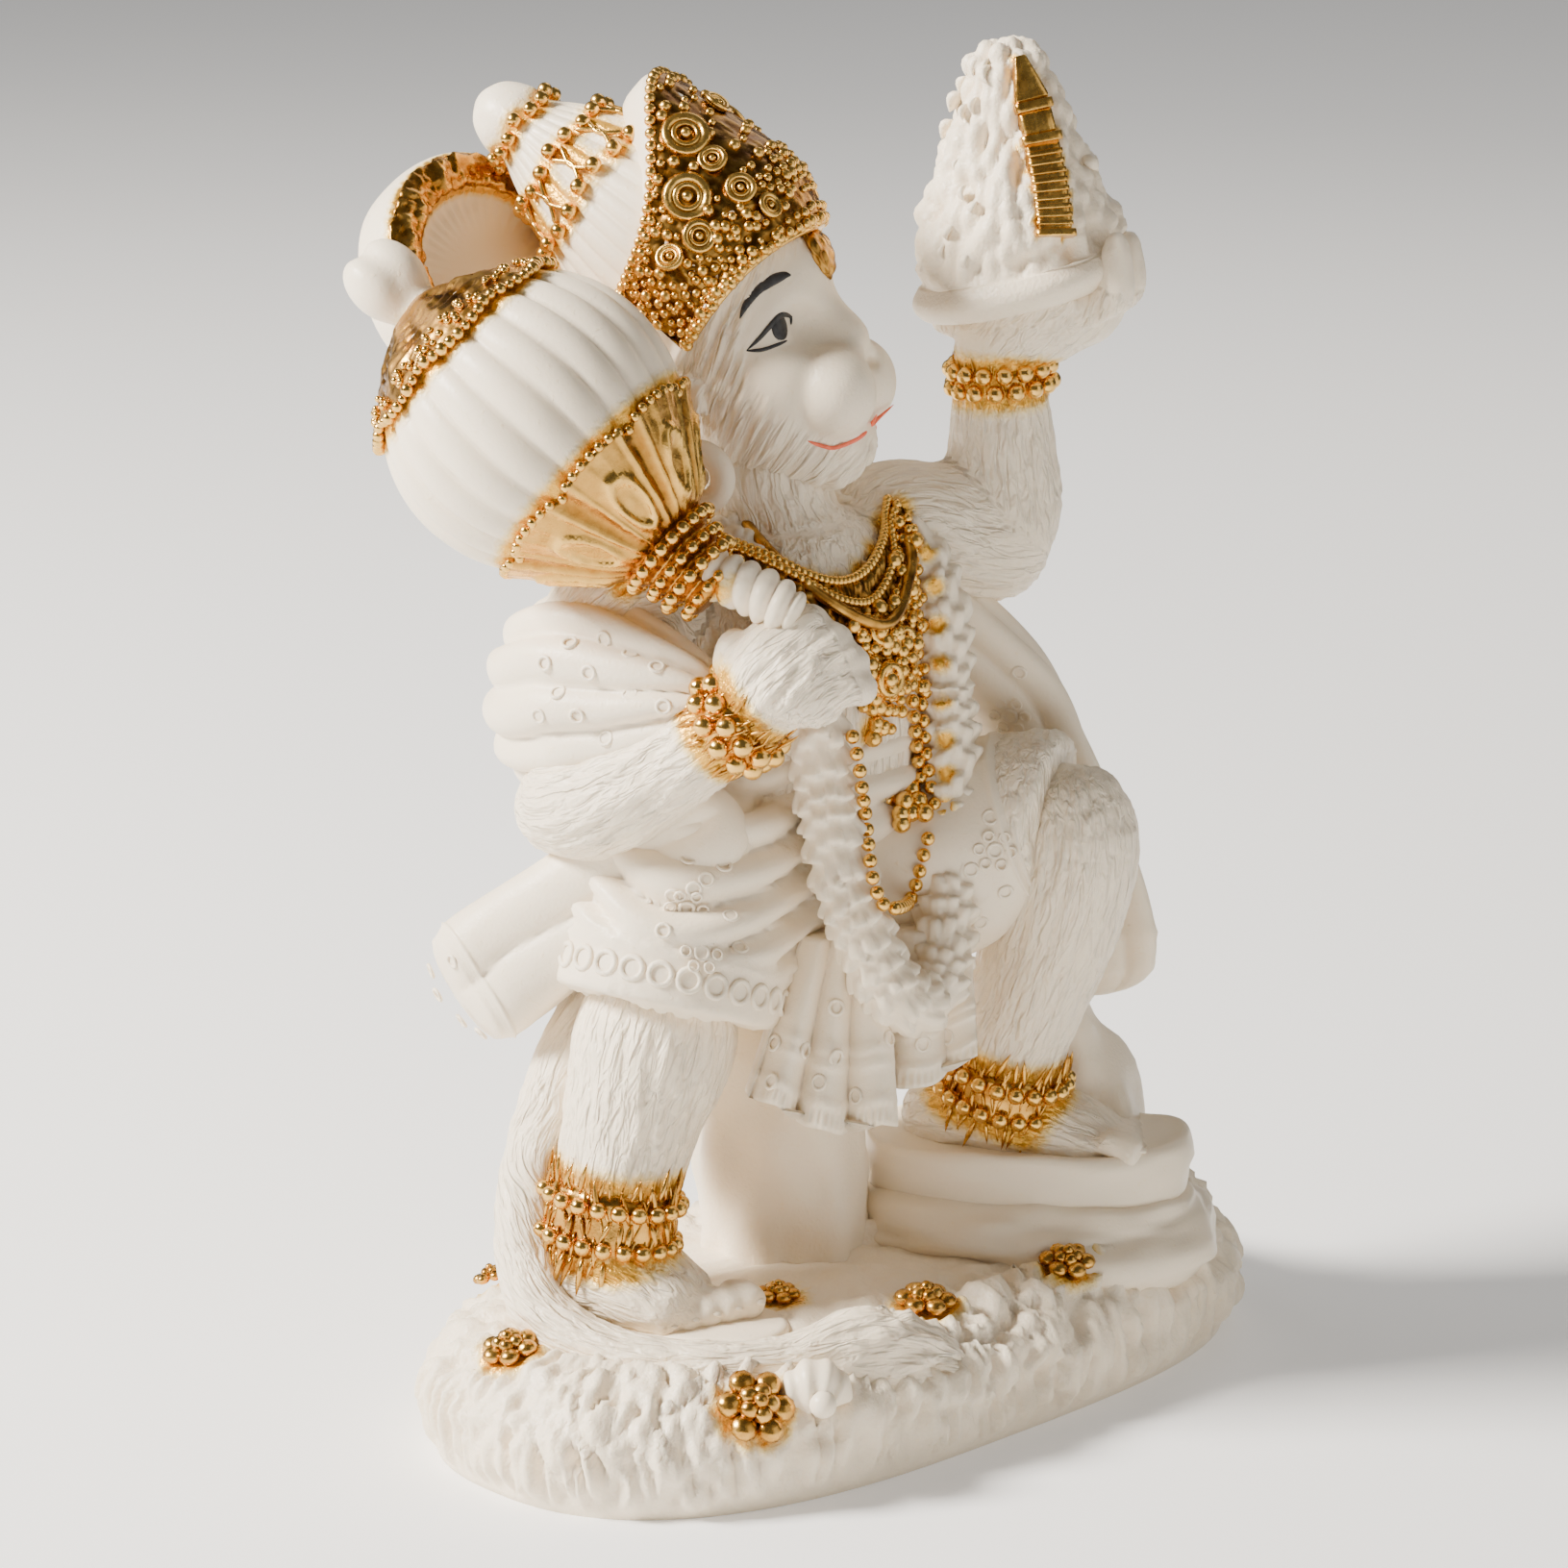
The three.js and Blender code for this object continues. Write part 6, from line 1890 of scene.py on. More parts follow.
    def coated(self, skin: Skin) -> Skin:
        """The head with fur outside an oval round the face, combed back from the cheeks and down the jaw."""
        p = (skin.corners - place(self.centre)) @ self.axes().T
        oval = np.sqrt(((p[:, 0] - 11) / 12) ** 2 + (p[:, 1] / 11.6) ** 2 + ((p[:, 2] - 2.4) / 11) ** 2)
        amount = smooth(oval, 1.02, 1.2)
        slant = p[:, 2] - 0.7 * p[:, 0]
        around = np.arctan2(np.abs(p[:, 1]), p[:, 0] + 2) * 9 + 0.45 * slant
        wander = noise(p, 6, 5)
        coat = fur(around, 0 * around, slant, wander, 1.15, 4.2, 6)
        skin.pushed(0.75 * amount * (coat - 0.6))
        skin.values.update(across=around, deep=0 * around, along=slant, coat=amount)
        return skin

    def strokes(self, skin: Skin, lines: Sequence[Rows], thick: float = 0.16) -> Skin:
        """Brush strokes on the face: flattened wires through the seen points, and their mirror images."""
        made = []
        scale = VIEW.distance / VIEW.focal
        for line in lines:
            at, facing = seen(skin, line)
            width = np.asarray(line, float)[:, 2] * scale * 1.15
            for flip in (False, True):
                points = self.mirrored(at) if flip else at
                normal = self.flipped(facing) if flip else facing
                rows = np.concatenate([points, width[:, None], np.full((len(width), 1), thick)], 1)
                run = unit(points[-1] - points[0])
                side = np.cross(unit(normal.mean(0)), run)
                grid, *_ = Limb(rows, side, 7, placed=True).grid(44, 8)
                made.append(sheet_of(grid))
        return joined(made)

    def build(self) -> Skin:
        """Makes the head's pieces and gives back its plain form, which the crown sits on."""
        skin = self.form()
        smooth_form = Skin(skin.corners.copy(), skin.quads, skin.triangles)
        dress(self.coated(skin), "head", FURRED)
        dress(self.strokes(smooth_form, [self.brow_line, self.upper_lid, self.lower_lid]),
              "painted_brows_and_lids", INK)
        at, facing = seen(smooth_form, [self.iris])
        at = np.concatenate([at, self.mirrored(at)])
        facing = np.concatenate([facing, self.flipped(facing)])
        first = unit(np.cross(facing, self.axes()[2]))
        second = np.cross(facing, first)
        irises = copies(ball(10, 20), at - 0.25 * facing, 1.3 * first, 1.8 * second, 0.5 * facing)
        dress(irises, "painted_irises", INK)
        dress(self.strokes(smooth_form, [self.smile]), "painted_smile", RED)
        hoop = []
        for hand in (-1, 1):
            turn = turns(16)
            forward, rise = -2.4 + 3.0 * np.cos(turn), -12.4 + 3.0 * np.sin(turn)
            ring = np.stack([forward, 0 * turn + 10.4 * hand, rise], 1)
            hoop.append(wire(self.spot(ring), 1.45, True, 16, 60))
            hoop.append(beads(self.spot([[-2.4, 10.3 * hand, -12.4]]), 1.3))
        dress(joined(hoop), "ear_hoops", SMOOTH)
        grid, out, t, phi, _ = self.bar(self.mark, 4).grid(50, 40)
        tilak = sheet_of(grid + out * (0.16 * np.cos(9 * phi) * np.sin(14 * t))[..., None])
        tilak.values["hollow"] = 0.5 + 0.5 * noise(tilak.corners, 0.7, 4)
        dress(tilak, "brow_ornament", BRONZED)
        return smooth_form


@dataclass
class Crown:
    """The ribbed white dome with its bud and bead swags, and the tall gold plate across the brow."""

    head: Head
    lean: float = 56.0
    ribs: int = 30
    dome: Rows = ((0, -2), (11.4, -1), (12.2, 3), (12.5, 9), (11.4, 15), (8.7, 22.4), (6.2, 27.5),
                  (4.5, 31), (4.5, 33.4), (3.2, 36.2), (1.2, 37.6), (0, 37.8))
    plate: Rows = ((11.4, -0.6), (12.6, -1.0), (13.7, -0.7), (14.7, 1.4), (15.4, 4.2), (15.2, 7.4),
                   (14.4, 10.2), (12.4, 11.2), (9.0, 10.8), (9.4, 5), (10.4, 1.2))
    spread: float = 3.9
    swags: Rows = ((19.6, 10.2, 22, 1.0), (25.2, 7.6, 19, 0.95), (31.2, 4.9, 15, 0.9))
    rosettes: Rows = ((713, 140, 2.3), (715, 205, 2.3), (741, 166, 1.4), (727, 246, 1.6), (770, 196, 1.5),
                      (800, 214, 1.3), (697, 268, 1.4), (745, 108, 1.3))

    def turned(self) -> Turned:
        """The crown's axes on the head."""
        forward, _, up = self.head.axes()
        a = math.radians(self.lean)
        return Turned(self.head.spot([-0.9, 0, 8.1]), -forward * math.sin(a) + up * math.cos(a),
                      forward * math.cos(a) + up * math.sin(a))

    def swag_points(self, height: float, radius: float, count: int) -> Array:
        """Bead places on a ring round the dome that dips between every third bead."""
        phi = turns(count)
        return self.turned().at(radius + 0.35, height + 0.45 * np.cos(5 * phi), phi)

    def dome_skin(self) -> Skin:
        """The dome, its flutes sunk between round ribs that fade into the bud."""

        def flute(r: Array, h: Array, phi: Array, s: Array) -> tuple[Array, Array]:
            """Round ribs: |sin| to a low power."""
            rib = np.abs(np.sin(0.5 * self.ribs * phi)) ** 0.6 - 0.75
            return r + 0.5 * rib * smooth(h, 1, 4) * (1 - smooth(h, 27, 31)) * np.minimum(r / 9, 1), h

        skin = self.turned().skin(self.dome, 60, 270, flute)
        spots = [self.swag_points(h, r, 40) for h, r, _, _ in self.swags]
        for phi in turns(11):
            spots.append(self.turned().at(np.array([9.7, 9.0, 8.3]), np.array([21, 22.6, 24.2]), phi))
        return stained(skin, np.concatenate(spots), 2.5)

    def band(self, r: Array, h: Array, phi: Array) -> tuple[Array, Array]:
        """The plate's rule: it stands tall over the brow and falls to the sides by a bell of the angle."""
        bell = np.exp(-((phi / 0.95) ** 2))
        grow = smooth(h, -0.9, 0.6)
        scale = (1 - 0.09 * bell) * (1 - grow) + (0.88 + 0.15 * bell) * grow
        lift = -2.6 * bell * (1 - grow) + (13 * bell - 1.4) * smooth(h, 4.0, 10.6)
        return r * scale, h + lift

    def face(self, phi: Array, s: Array, grow: float = 0.0) -> Array:
        """A point on the plate's outer face: s runs from the brow's rim to the top."""
        row = spline(np.asarray(self.plate, float), 0.1 + 0.5 * np.asarray(s, float))
        r, h = self.band(row[..., 0] + grow, row[..., 1], phi)
        return self.turned().at(r, h, phi)

    def gold_face(self) -> Skin:
        """The gilded face: a thin shell over the plate, pebbled all over, with painted shade in the pits."""
        s = np.concatenate([np.linspace(0.02, 1, 56), np.linspace(1, 0.02, 6)])
        lift = np.concatenate([np.full(56, 0.22), np.full(6, -0.5)])
        phi = np.linspace(-2.02, 2.02, 240)
        s, phi = np.meshgrid(s, phi, indexing="ij")
        row = spline(np.asarray(self.plate, float), 0.1 + 0.5 * s)
        r, h = self.band(row[..., 0] + lift[:, None], row[..., 1], phi)
        points = np.swapaxes(self.turned().at(r, h, phi), 0, 1)
        skin = sheet_of(points)
        p = skin.corners
        pebble = np.abs(noise(p, 1.5, 31)) + 0.5 * np.abs(noise(p, 0.8, 32))
        skin.pushed(0.35 * (0.4 - pebble))
        # Painted shade: the gold darkens where the pebbling sinks in.
        skin.values["hollow"] = np.clip(1.5 * pebble + 0.25, 0, 1)
        return skin

    def jewels(self, gold: Skin) -> list[Skin]:
        """Packed beads, a beaded edge, and ringed rosettes where they are seen and on the other side."""
        rng = np.random.default_rng(3)
        found = []
        at, facing = seen(gold, self.rosettes)
        sizes = np.asarray(self.rosettes, float)[:, 2]
        at = np.concatenate([at, self.head.mirrored(at)])
        facing = np.concatenate([facing, self.head.flipped(facing)])
        sizes = np.concatenate([sizes, sizes])
        for share, tube in ((1.0, 0.4), (0.62, 0.32)):
            found.append(hoops(at + 0.25 * facing, facing, share * sizes, tube, 24))
        found.append(beads(at + 0.35 * facing, 0.3 * sizes))
        rows = []
        for j, s in enumerate(np.linspace(0.10, 0.93, 13)):
            n = int(self.spread * 14 / 1.55)
            phi = (np.arange(n) + 0.5 * (j % 2)
                   + 0.5 * (rng.random(n) - 0.5)) / n * self.spread - self.spread / 2
            rows.append(self.face(phi, s + 0.03 * (rng.random(n) - 0.5), 0.28))
        rows = np.concatenate(rows)
        clear = np.sqrt(((rows[:, None] - at[None]) ** 2).sum(-1)) > sizes[None] + 0.5
        rows = rows[clear.all(1)]
        found.append(beads(rows, 0.42 + 0.36 * rng.random(len(rows)) ** 1.5, False))
        edge_phi = np.linspace(-2.0, 2.0, 46)
        found.append(beads(self.face(edge_phi, np.full(46, 0.99), 0.1), 0.72, False))
        return found

    def build(self) -> None:
        """Makes the crown's pieces."""
        dress(self.dome_skin(), "crown_dome", SMOOTH)
        body = self.turned().skin(self.plate, 44, 120, lambda r, h, phi, s: self.band(r, h, phi), True)
        dress(body, "crown_plate_back", SMOOTH)
        gold = self.gold_face()
        dress(gold, "crown_plate", BRONZED)
        dress(joined(self.jewels(gold)), "crown_jewels", GOLD)
        phi = np.linspace(-2.02, 2.02, 40)
        rim = wire(self.face(phi, 0 * phi + 0.02, 0.15), 0.5, False, 10, 220)
        dress(rim, "crown_rim", BRIGHT)
        swag = [beads(self.swag_points(h, r, int(n)), size) for h, r, n, size in self.swags]
        net = []
        for k, a in enumerate(turns(22)):
            turn = a + np.array([0, 0.10, 0.16, 0.10, 0]) * (1 if k % 2 else -1)
            height = np.linspace(19.8, 25.0, 5)
            radius = np.interp(height, [19.6, 25.2], [10.35, 7.85])
            net.append(wire(self.turned().at(radius, height, turn), 0.3, False, 6, 12))
        dress(joined(swag), "crown_bead_swags", BRIGHT)
        dress(joined(net), "crown_net", GOLD)


# What it holds, and the disc behind its head


@dataclass
class Halo:
    """The thick disc behind the head: a white wall, a gilded leafy band and a fluted dish."""

    centre: Sequence[float] = (-25.9, 30.4, 118.7)
    lean: float = 31.0
    radius: float = 15.9
    thickness: float = 7.6

    def build(self) -> None:
        """Makes the disc and its band."""
        a = math.radians(self.lean)
        form = Turned(place(self.centre), np.array([0, -math.cos(a), math.sin(a)]),
                      np.array([0, math.sin(a), math.cos(a)]))
        r, back = self.radius, -self.thickness
        wall = ((0, back), (0.6 * r, back), (0.86 * r, back), (0.97 * r, 0.86 * back), (r, 0.6 * back))
        bowl = ((r, -0.14 * r), (0.95 * r, -0.01 * r), (0.8 * r, 0), (0.69 * r, -0.01 * r),
                (0.62 * r, -0.08 * r), (0.4 * r, -0.1 * r), (0.2 * r, -0.1 * r), (0, -0.1 * r))

        def fluted(q: Array, h: Array, phi: Array, s: Array) -> tuple[Array, Array]:
            """Short flutes inside the band, and a faint swell round the wall."""
            flutes = 0.22 * np.cos(40 * phi) * bump_at(q / r, 0.56, 0.09) * (s > 0.5)
            return q * (1 + 0.006 * np.cos(7 * phi) * (q > 0.9 * r)), h + flutes

        dish = form.skin(wall + bowl, 60, 140, fluted)
        turn = turns(60)
        edges = np.concatenate([form.at(0.67 * r, -0.02 * r, turn), form.at(0.95 * r, 0.0, turn)])
        stained(dish, edges, 1.3)
        dress(dish, "disc", SMOOTH)
        strip = ((0.68 * r, -0.35), (0.7 * r, 0.5), (0.8 * r, 0.85), (0.92 * r, 0.55), (0.955 * r, -0.2),
                 (0.82 * r, -0.8))
        band = form.skin(strip, 30, 300, None, True)
        p = band.corners
        crimp = 0.8 * pebbles(p, 1.8, 14) + 0.5 * np.abs(noise(p, 0.8, 15))
        band.pushed(0.8 * (0.45 - crimp))
        # Painted shade: the band darkens where the crimping sinks in.
        band.values["hollow"] = np.clip(1.3 * crimp + 0.05, 0, 1)
        dress(band, "disc_band", GOLD)


@dataclass
class Mace:
    """The mace: a ribbed ball with gilded cap and bow above, lotus petals and roped handle below."""

    grip: Sequence[float] = (-23.6, -15.6, 79.3)
    head: Sequence[float] = (-38, 11.2, 105.1)
    radius: float = 16.9
    ribs: int = 22
    cup: Rows = ((0.30, -1.24), (0.42, -1.14), (0.58, -0.96), (0.74, -0.76), (0.87, -0.60))
    core: Rows = ((0, -1.68), (0.18, -1.68), (0.24, -1.62), (0.2, -1.56), (0.29, -1.5), (0.24, -1.44),
                  (0.31, -1.38), (0.27, -1.32), (0.35, -1.25), (0.28, -1.18), (0, -1.16))
    collars: Rows = ((-1.25, 0.36, 22, 0.8), (-1.38, 0.31, 18, 0.75), (-1.50, 0.30, 17, 0.8),
                     (-1.63, 0.25, 15, 0.7))
    haft: Rows = ((-29.4, -4.8, 90, 2.7, 2.7), (-27.8, -9, 88.6, 2.7, 2.7), (-26.2, -13, 87.2, 2.7, 2.7),
                  (-24, -17, 84.6, 2.7, 2.7))

    def turned(self) -> Turned:
        """The mace's axes, about the ball's centre, from the grip to the cap."""
        axis = unit(place(self.head) - place(self.grip))
        return Turned(place(self.head), axis, unit(np.array([1.0, 0, 0]) - axis * axis[0]))

    def ball_skin(self) -> Skin:
        """The ball: round ribs with sharp valleys, each a little uneven."""
        R = self.radius
        lat = np.radians(np.linspace(-62, 66, 15))
        profile = [(0, R * math.sin(lat[0])), *zip(R * np.cos(lat), R * np.sin(lat)),
                   (0, R * math.sin(lat[-1]))]

        def ribbed(r: Array, h: Array, phi: Array, s: Array) -> tuple[Array, Array]:
            """The rib height is |sin| of half the turn to a low power, less in the valleys' ends."""
            sway = phi + 0.012 * np.sin(3 * phi + h / 5)
            rib = np.abs(np.sin(0.5 * self.ribs * sway)) ** 0.55
            return r * (1 + 0.075 * (rib - 0.86)), h

        skin = self.turned().skin(profile, 64, 252, ribbed)
        turn = turns(90)
        form = self.turned()
        return stained(skin, np.concatenate([form.at(R * 0.80, R * 0.62, turn),
                                             form.at(R * 0.84, -R * 0.56, turn)]), 2.6)

    def cap(self) -> tuple[Skin, Skin]:
        """The gilded cap with eight sunk leaves and a pointed edge, and its beads."""
        R, form = self.radius, self.turned()
        cols = 240
        phi = turns(cols) - np.pi
        edge = 41 - 4.5 * np.abs(np.cos(4 * phi)) ** 0.7
        s = np.linspace(0, 1, 38)[:, None]
        lat = np.radians(edge + s * (84 - edge))
        leafy = np.abs(np.sin(4 * phi)) ** 1.4 * np.sin(np.pi * np.clip(s * 1.15, 0, 1)) ** 0.8
        r = R * (1.045 - 0.035 * leafy + 0.012 * np.cos(60 * s) * leafy)
        outer = form.at(r * np.cos(lat), r * np.sin(lat) + 1.4 * s**3, phi[None] + 0 * s)
        inner = form.at(0.96 * R * np.cos(lat[::-8]), 0.96 * R * np.sin(lat[::-8]),
                        phi[None] + 0 * lat[::-8])
        skin = sheet_of(np.concatenate([outer, inner]), round_v=True)
        skin.pushed(0.22 * noise(skin.corners, 1.1, 16))
        # Painted shade: the sunk leaves are coloured darker, with some random tone.
        recess_shade = np.concatenate([np.broadcast_to(leafy, r.shape).ravel(), np.zeros(inner.shape[0] * cols)])
        skin.values["hollow"] = np.clip(0.25 + 0.7 * recess_shade + 0.25 * noise(skin.corners, 1.2, 17), 0, 1)
        n = 72
        turn = turns(n)
        lat = np.radians(41 - 4.5 * np.abs(np.cos(4 * turn)) ** 0.7 - 0.5)
        rng = np.random.default_rng(7)
        rim = beads(form.at(1.04 * R * np.cos(lat), 1.04 * R * np.sin(lat), turn),
                    0.55 + 0.3 * rng.random(n), False)
        turn = rng.random(160) * 2 * np.pi
        lat = np.radians(41 + 8 * rng.random(160))
        grit = beads(form.at(1.05 * R * np.cos(lat), 1.05 * R * np.sin(lat), turn),
                     0.3 + 0.25 * rng.random(160), False)
        return skin, joined([rim, grit])

    def petals(self) -> tuple[Skin, Skin]:
        """The lotus: a flared cup of eight petals, each with a medallion, and its beaded lip and collars."""
        R, form = self.radius, self.turned()
        cols = 232
        phi = turns(cols)
        s = np.linspace(0, 1, 30)
        rows = spline(np.asarray(self.cup) * R, s)
        lobe = np.abs(np.cos(4 * phi)) ** 0.5
        oval = np.exp(-((((phi * 4 / np.pi + 0.5) % 1 - 0.5) / 0.22) ** 2
                        + ((s[:, None] - 0.5) / 0.24) ** 2))
        ring = bump_at(oval, 0.45, 0.16)
        side = 1 - np.abs(np.cos(4 * phi))
        edge = np.broadcast_to(bump_at(side, 0.55, 0.12), ring.shape) * smooth(s, 0.1, 0.4)[:, None]
        vein = bump_at((side * 9) % 1, 0.5, 0.3) * (1 - ring) * smooth(s, 0.55, 0.8)[:, None]
        r = rows[:, :1] * (0.88 + 0.13 * lobe * s[:, None] ** 0.5) + 1.0 * ring + 0.6 * edge + 0.25 * vein
        h = rows[:, 1:] + 0.05 * R * (lobe - 0.5) * s[:, None] ** 3
        face = form.at(r, h, phi[None] + 0 * r)
        back = form.at(np.maximum(r[::-8] - 1.0, 1), h[::-8] + 0.8, phi[None] + 0 * r[::-8])
        skin = sheet_of(np.concatenate([face, back]), round_v=True)
        skin.pushed(0.12 * noise(skin.corners, 0.9, 18))
        # Painted shade: darker in the valleys between the petals, lighter on the raised medallion rings and
        # edges.
        valley = np.broadcast_to(1 - lobe, r.shape)
        recess_shade = np.concatenate([np.clip(0.5 + valley - 0.7 * ring - 0.6 * edge, 0, 1).ravel(),
                               np.zeros(back.shape[0] * cols)])
        skin.values["hollow"] = np.clip(0.9 * recess_shade, 0, 1)
        turn = turns(64)
        lobe = np.abs(np.cos(4 * turn)) ** 0.5
        found = [beads(form.at(0.87 * R * (0.93 + 0.07 * lobe), -0.585 * R + 0.05 * R * (lobe - 0.5), turn),
                       0.62, False)]
        for height, ring_r, n, size in self.collars:
            turn = turns(n)
            found.append(beads(form.at(ring_r * R, height * R, turn), size))
        core = form.skin(np.asarray(self.core) * R, 60, 48)
        core.values["hollow"] = np.full(len(core.corners), 0.75)
        return joined([skin, core]), joined(found)

    def rope(self) -> Skin:
        """The handle: rounded rolls that wind round it, into the fist."""
        points, out, _, phi, z = Limb(self.haft, (0, 0, 1), blunt=10).grid(120, 44)
        roll = np.abs(np.sin(np.pi * z / 2.1 + 0.5 * phi)) ** 0.6
        lobes = np.abs(np.cos(2 * phi - 0.12 * np.pi * z)) ** 0.6
        return sheet_of(points + out * (0.6 * roll + 0.35 * roll * lobes - 0.5)[..., None])

    def bow(self) -> Skin:
        """The two soft leaves of the finial on their stem."""
        form, R = self.turned(), self.radius
        third = np.cross(form.axis, form.front)
        cast = Casting(0.42, 1.4)
        stem = [form.origin + form.axis * R * k for k in (0.98, 1.12, 1.3)]
        cast.add(Limb([[*p, w, w] for p, w in zip(stem, (3.4, 2.6, 2.2))], placed=True))
        for turn, width in ((150, 2.6), (-30, 2.8)):
            a = math.radians(turn)
            out = math.cos(a) * form.front + math.sin(a) * third
            axes = np.array([out, np.cross(form.axis, out), form.axis])
            cast.add(Egg((1.7, 0, 0), (width, 3.4, 4.4), form.origin + form.axis * 1.36 * R, axes))
        return cast.skin(2)

    def build(self) -> None:
        """Makes the mace's pieces."""
        dress(self.ball_skin(), "mace_ball", SMOOTH)
        cap, grit = self.cap()
        petals, pearls = self.petals()
        dress(cap, "mace_cap", BRONZED)
        dress(petals, "mace_petals", GOLD)
        dress(joined([grit, pearls]), "mace_beads", BRIGHT)
        rope, bow = self.rope(), self.bow()
        form, R = self.turned(), self.radius
        turn = turns(16)
        stained(rope, form.at(0.2 * R, -1.7 * R, turn), 2.2)
        stained(bow, form.at(0.25 * R, 1.03 * R, turn), 2.6)
        dress(rope, "mace_handle", SMOOTH)
        dress(bow, "mace_bow", SMOOTH)


@dataclass
class Hill:
    """The hill on the raised palm: a smooth ledge, a cone of curled leaves and a stepped gold shrine."""

    foot: Sequence[float] = (26.6, -3.0, 114.0)
    top: Sequence[float] = (24.9, -1.0, 144)
    profile: Rows = ((0, -1), (7, -0.9), (11, -0.4), (12.7, 1.0), (13, 2.4), (12.3, 3.8), (11.8, 4.6),
                     (11.4, 9.4), (9.8, 14.6), (7.2, 20), (5.4, 25), (3.6, 29.2), (0, 30.6))
    leaves: int = 60
    climb: Rows = ((1097, 247), (1095, 220), (1091, 190), (1086, 160), (1078, 130), (1069, 95), (1060, 58))
    tiers: Rows = ((-0.01, 0.05, 2.4, 1.5), (0.04, 0.58, 1.95, 0.8), (0.56, 0.61, 2.45, 1.5),
                   (0.61, 0.73, 1.9, 0.8), (0.73, 0.78, 2.3, 1.4), (0.78, 1.0, 2.1, 0.9),
                   *((0.075 + 0.052 * k, 0.105 + 0.052 * k, 2.2, 1.15) for k in range(9)))

    def turned(self) -> Turned:
        """The hill's axes."""
        axis = unit(place(self.top) - place(self.foot))
        front = np.array([0, -1.0, 0])
        return Turned(place(self.foot), axis, unit(front - axis * (front @ axis)))

    def shrine(self, mound: Skin) -> Skin:
        """Tiers up the front along a seen line: fluted columns, a cell and a pointed roof, all rounded."""
        at, facing = seen(mound, self.climb)
        step = np.linspace(-1, 1, len(at))
        at = np.stack([np.polyval(np.polyfit(step, column, 2), step) for column in at.T], 1)
        out = unit(facing.mean(0) + np.array([0, 0, -0.1]))
        u = turns(48)
        found = []
        for low, top, half, proud in self.tiers:
            v = np.array([0.0, 0.015, 0.08, 0.5, 0.92, 0.985, 1.0])
            centre = spline(at, low + (top - low) * v)
            side = unit(np.cross(centre[-1] - centre[0], out))
            shrink = np.array([0.86, 0.96, 1, 1, 1, 0.96, 0.86])[:, None]
            taper = (1 - 0.75 * np.clip((v - 0.1), 0, 1) * (top > 0.97))[:, None]
            xy = oblong(u, 1.0, 1.0, 9.0)
            flute = 1 + (0.09 * np.abs(np.sin(14 * u)) if half < 2.0 else 0.0)
            x = half * taper * shrink * (xy[:, 0] * flute)
            y = 1.8 * shrink * (xy[:, 1] * flute) + proud - 1.6
            found.append(sheet_of(centre[:, None] + x[..., None] * side + y[..., None] * out))
        skin = joined(found)
        skin.values["hollow"] = np.clip(0.35 + 0.5 * noise(skin.corners, 1.3, 19), 0, 1)
        return skin

    def build(self) -> None:
        """Makes the hill's pieces."""
        form = self.turned()
        high = float(np.linalg.norm(place(self.top) - place(self.foot)))
        table = np.asarray(self.profile, float) * np.array([1, high / 30.6])

        def swell(r: Array, h: Array, phi: Array, s: Array) -> tuple[Array, Array]:
            """Five faint swells that wind round the cone."""
            return r * (1 + 0.03 * np.cos(5 * phi + 0.4 * h) * (h > 4)), h

        mound = form.skin(table, 98, 176, swell)
        p = mound.corners
        rise = (p - form.origin) @ form.axis
        cells = 1 - np.clip(pebbles(p * (1, 1, 0.62), 1.75, 22), 0, 1.1) ** 2
        mound.pushed(smooth(rise, 3.5, 6) * (1.7 * (cells - 0.6) + 0.7 * noise(p, 4.6, 23))
                     + 0.12 * noise(p, 5, 24))
        aside = (mound.corners - form.origin) @ RIGHTWARD
        mound.corners[:, 2] += 0.15 * aside * (1 - smooth(rise, 4, 10))
        rng = np.random.default_rng(9)
        n = self.leaves
        s = 0.52 + 0.46 * rng.random(n) ** 1.15
        row = spline(table, s)
        below = spline(table, s - 0.02)
        phi = rng.random(n) * 2 * np.pi
        here, low = form.at(row[:, 0], row[:, 1], phi), form.at(below[:, 0], below[:, 1], phi)
        side = unit(form.at(row[:, 0] + 0.1, row[:, 1], phi + 0.01) - here)
        down = unit(low - here)
        out = np.cross(down, side)
        out *= np.sign(np.einsum("ij,ij->i", out, here - form.origin - form.axis * row[:, 1:]))[:, None]
        swing = (rng.random(n) - 0.5)[:, None] * 1.8
        down = unit(down + side * swing)
        side = np.cross(out, down)
        size = (1.7 + 1.2 * rng.random(n))[:, None]
        shrine = self.shrine(mound)
        clear = np.linalg.norm(here[:, None] - shrine.corners[None, ::12], axis=2).min(1) > 2.6
        axes = [(size * way)[clear] for way in (down, side, out)]
        leaves = copies(leaf(1, 0.42, 0.3, 0.2), (here - 0.25 * out)[clear], *axes).turned_out()
        both = joined([mound, leaves])
        stained(both, shrine.corners[::40], 1.0)
        dress(both, "hill", STONE)
        dress(shrine, "shrine", GOLD)


# Garland and jewels on the chest


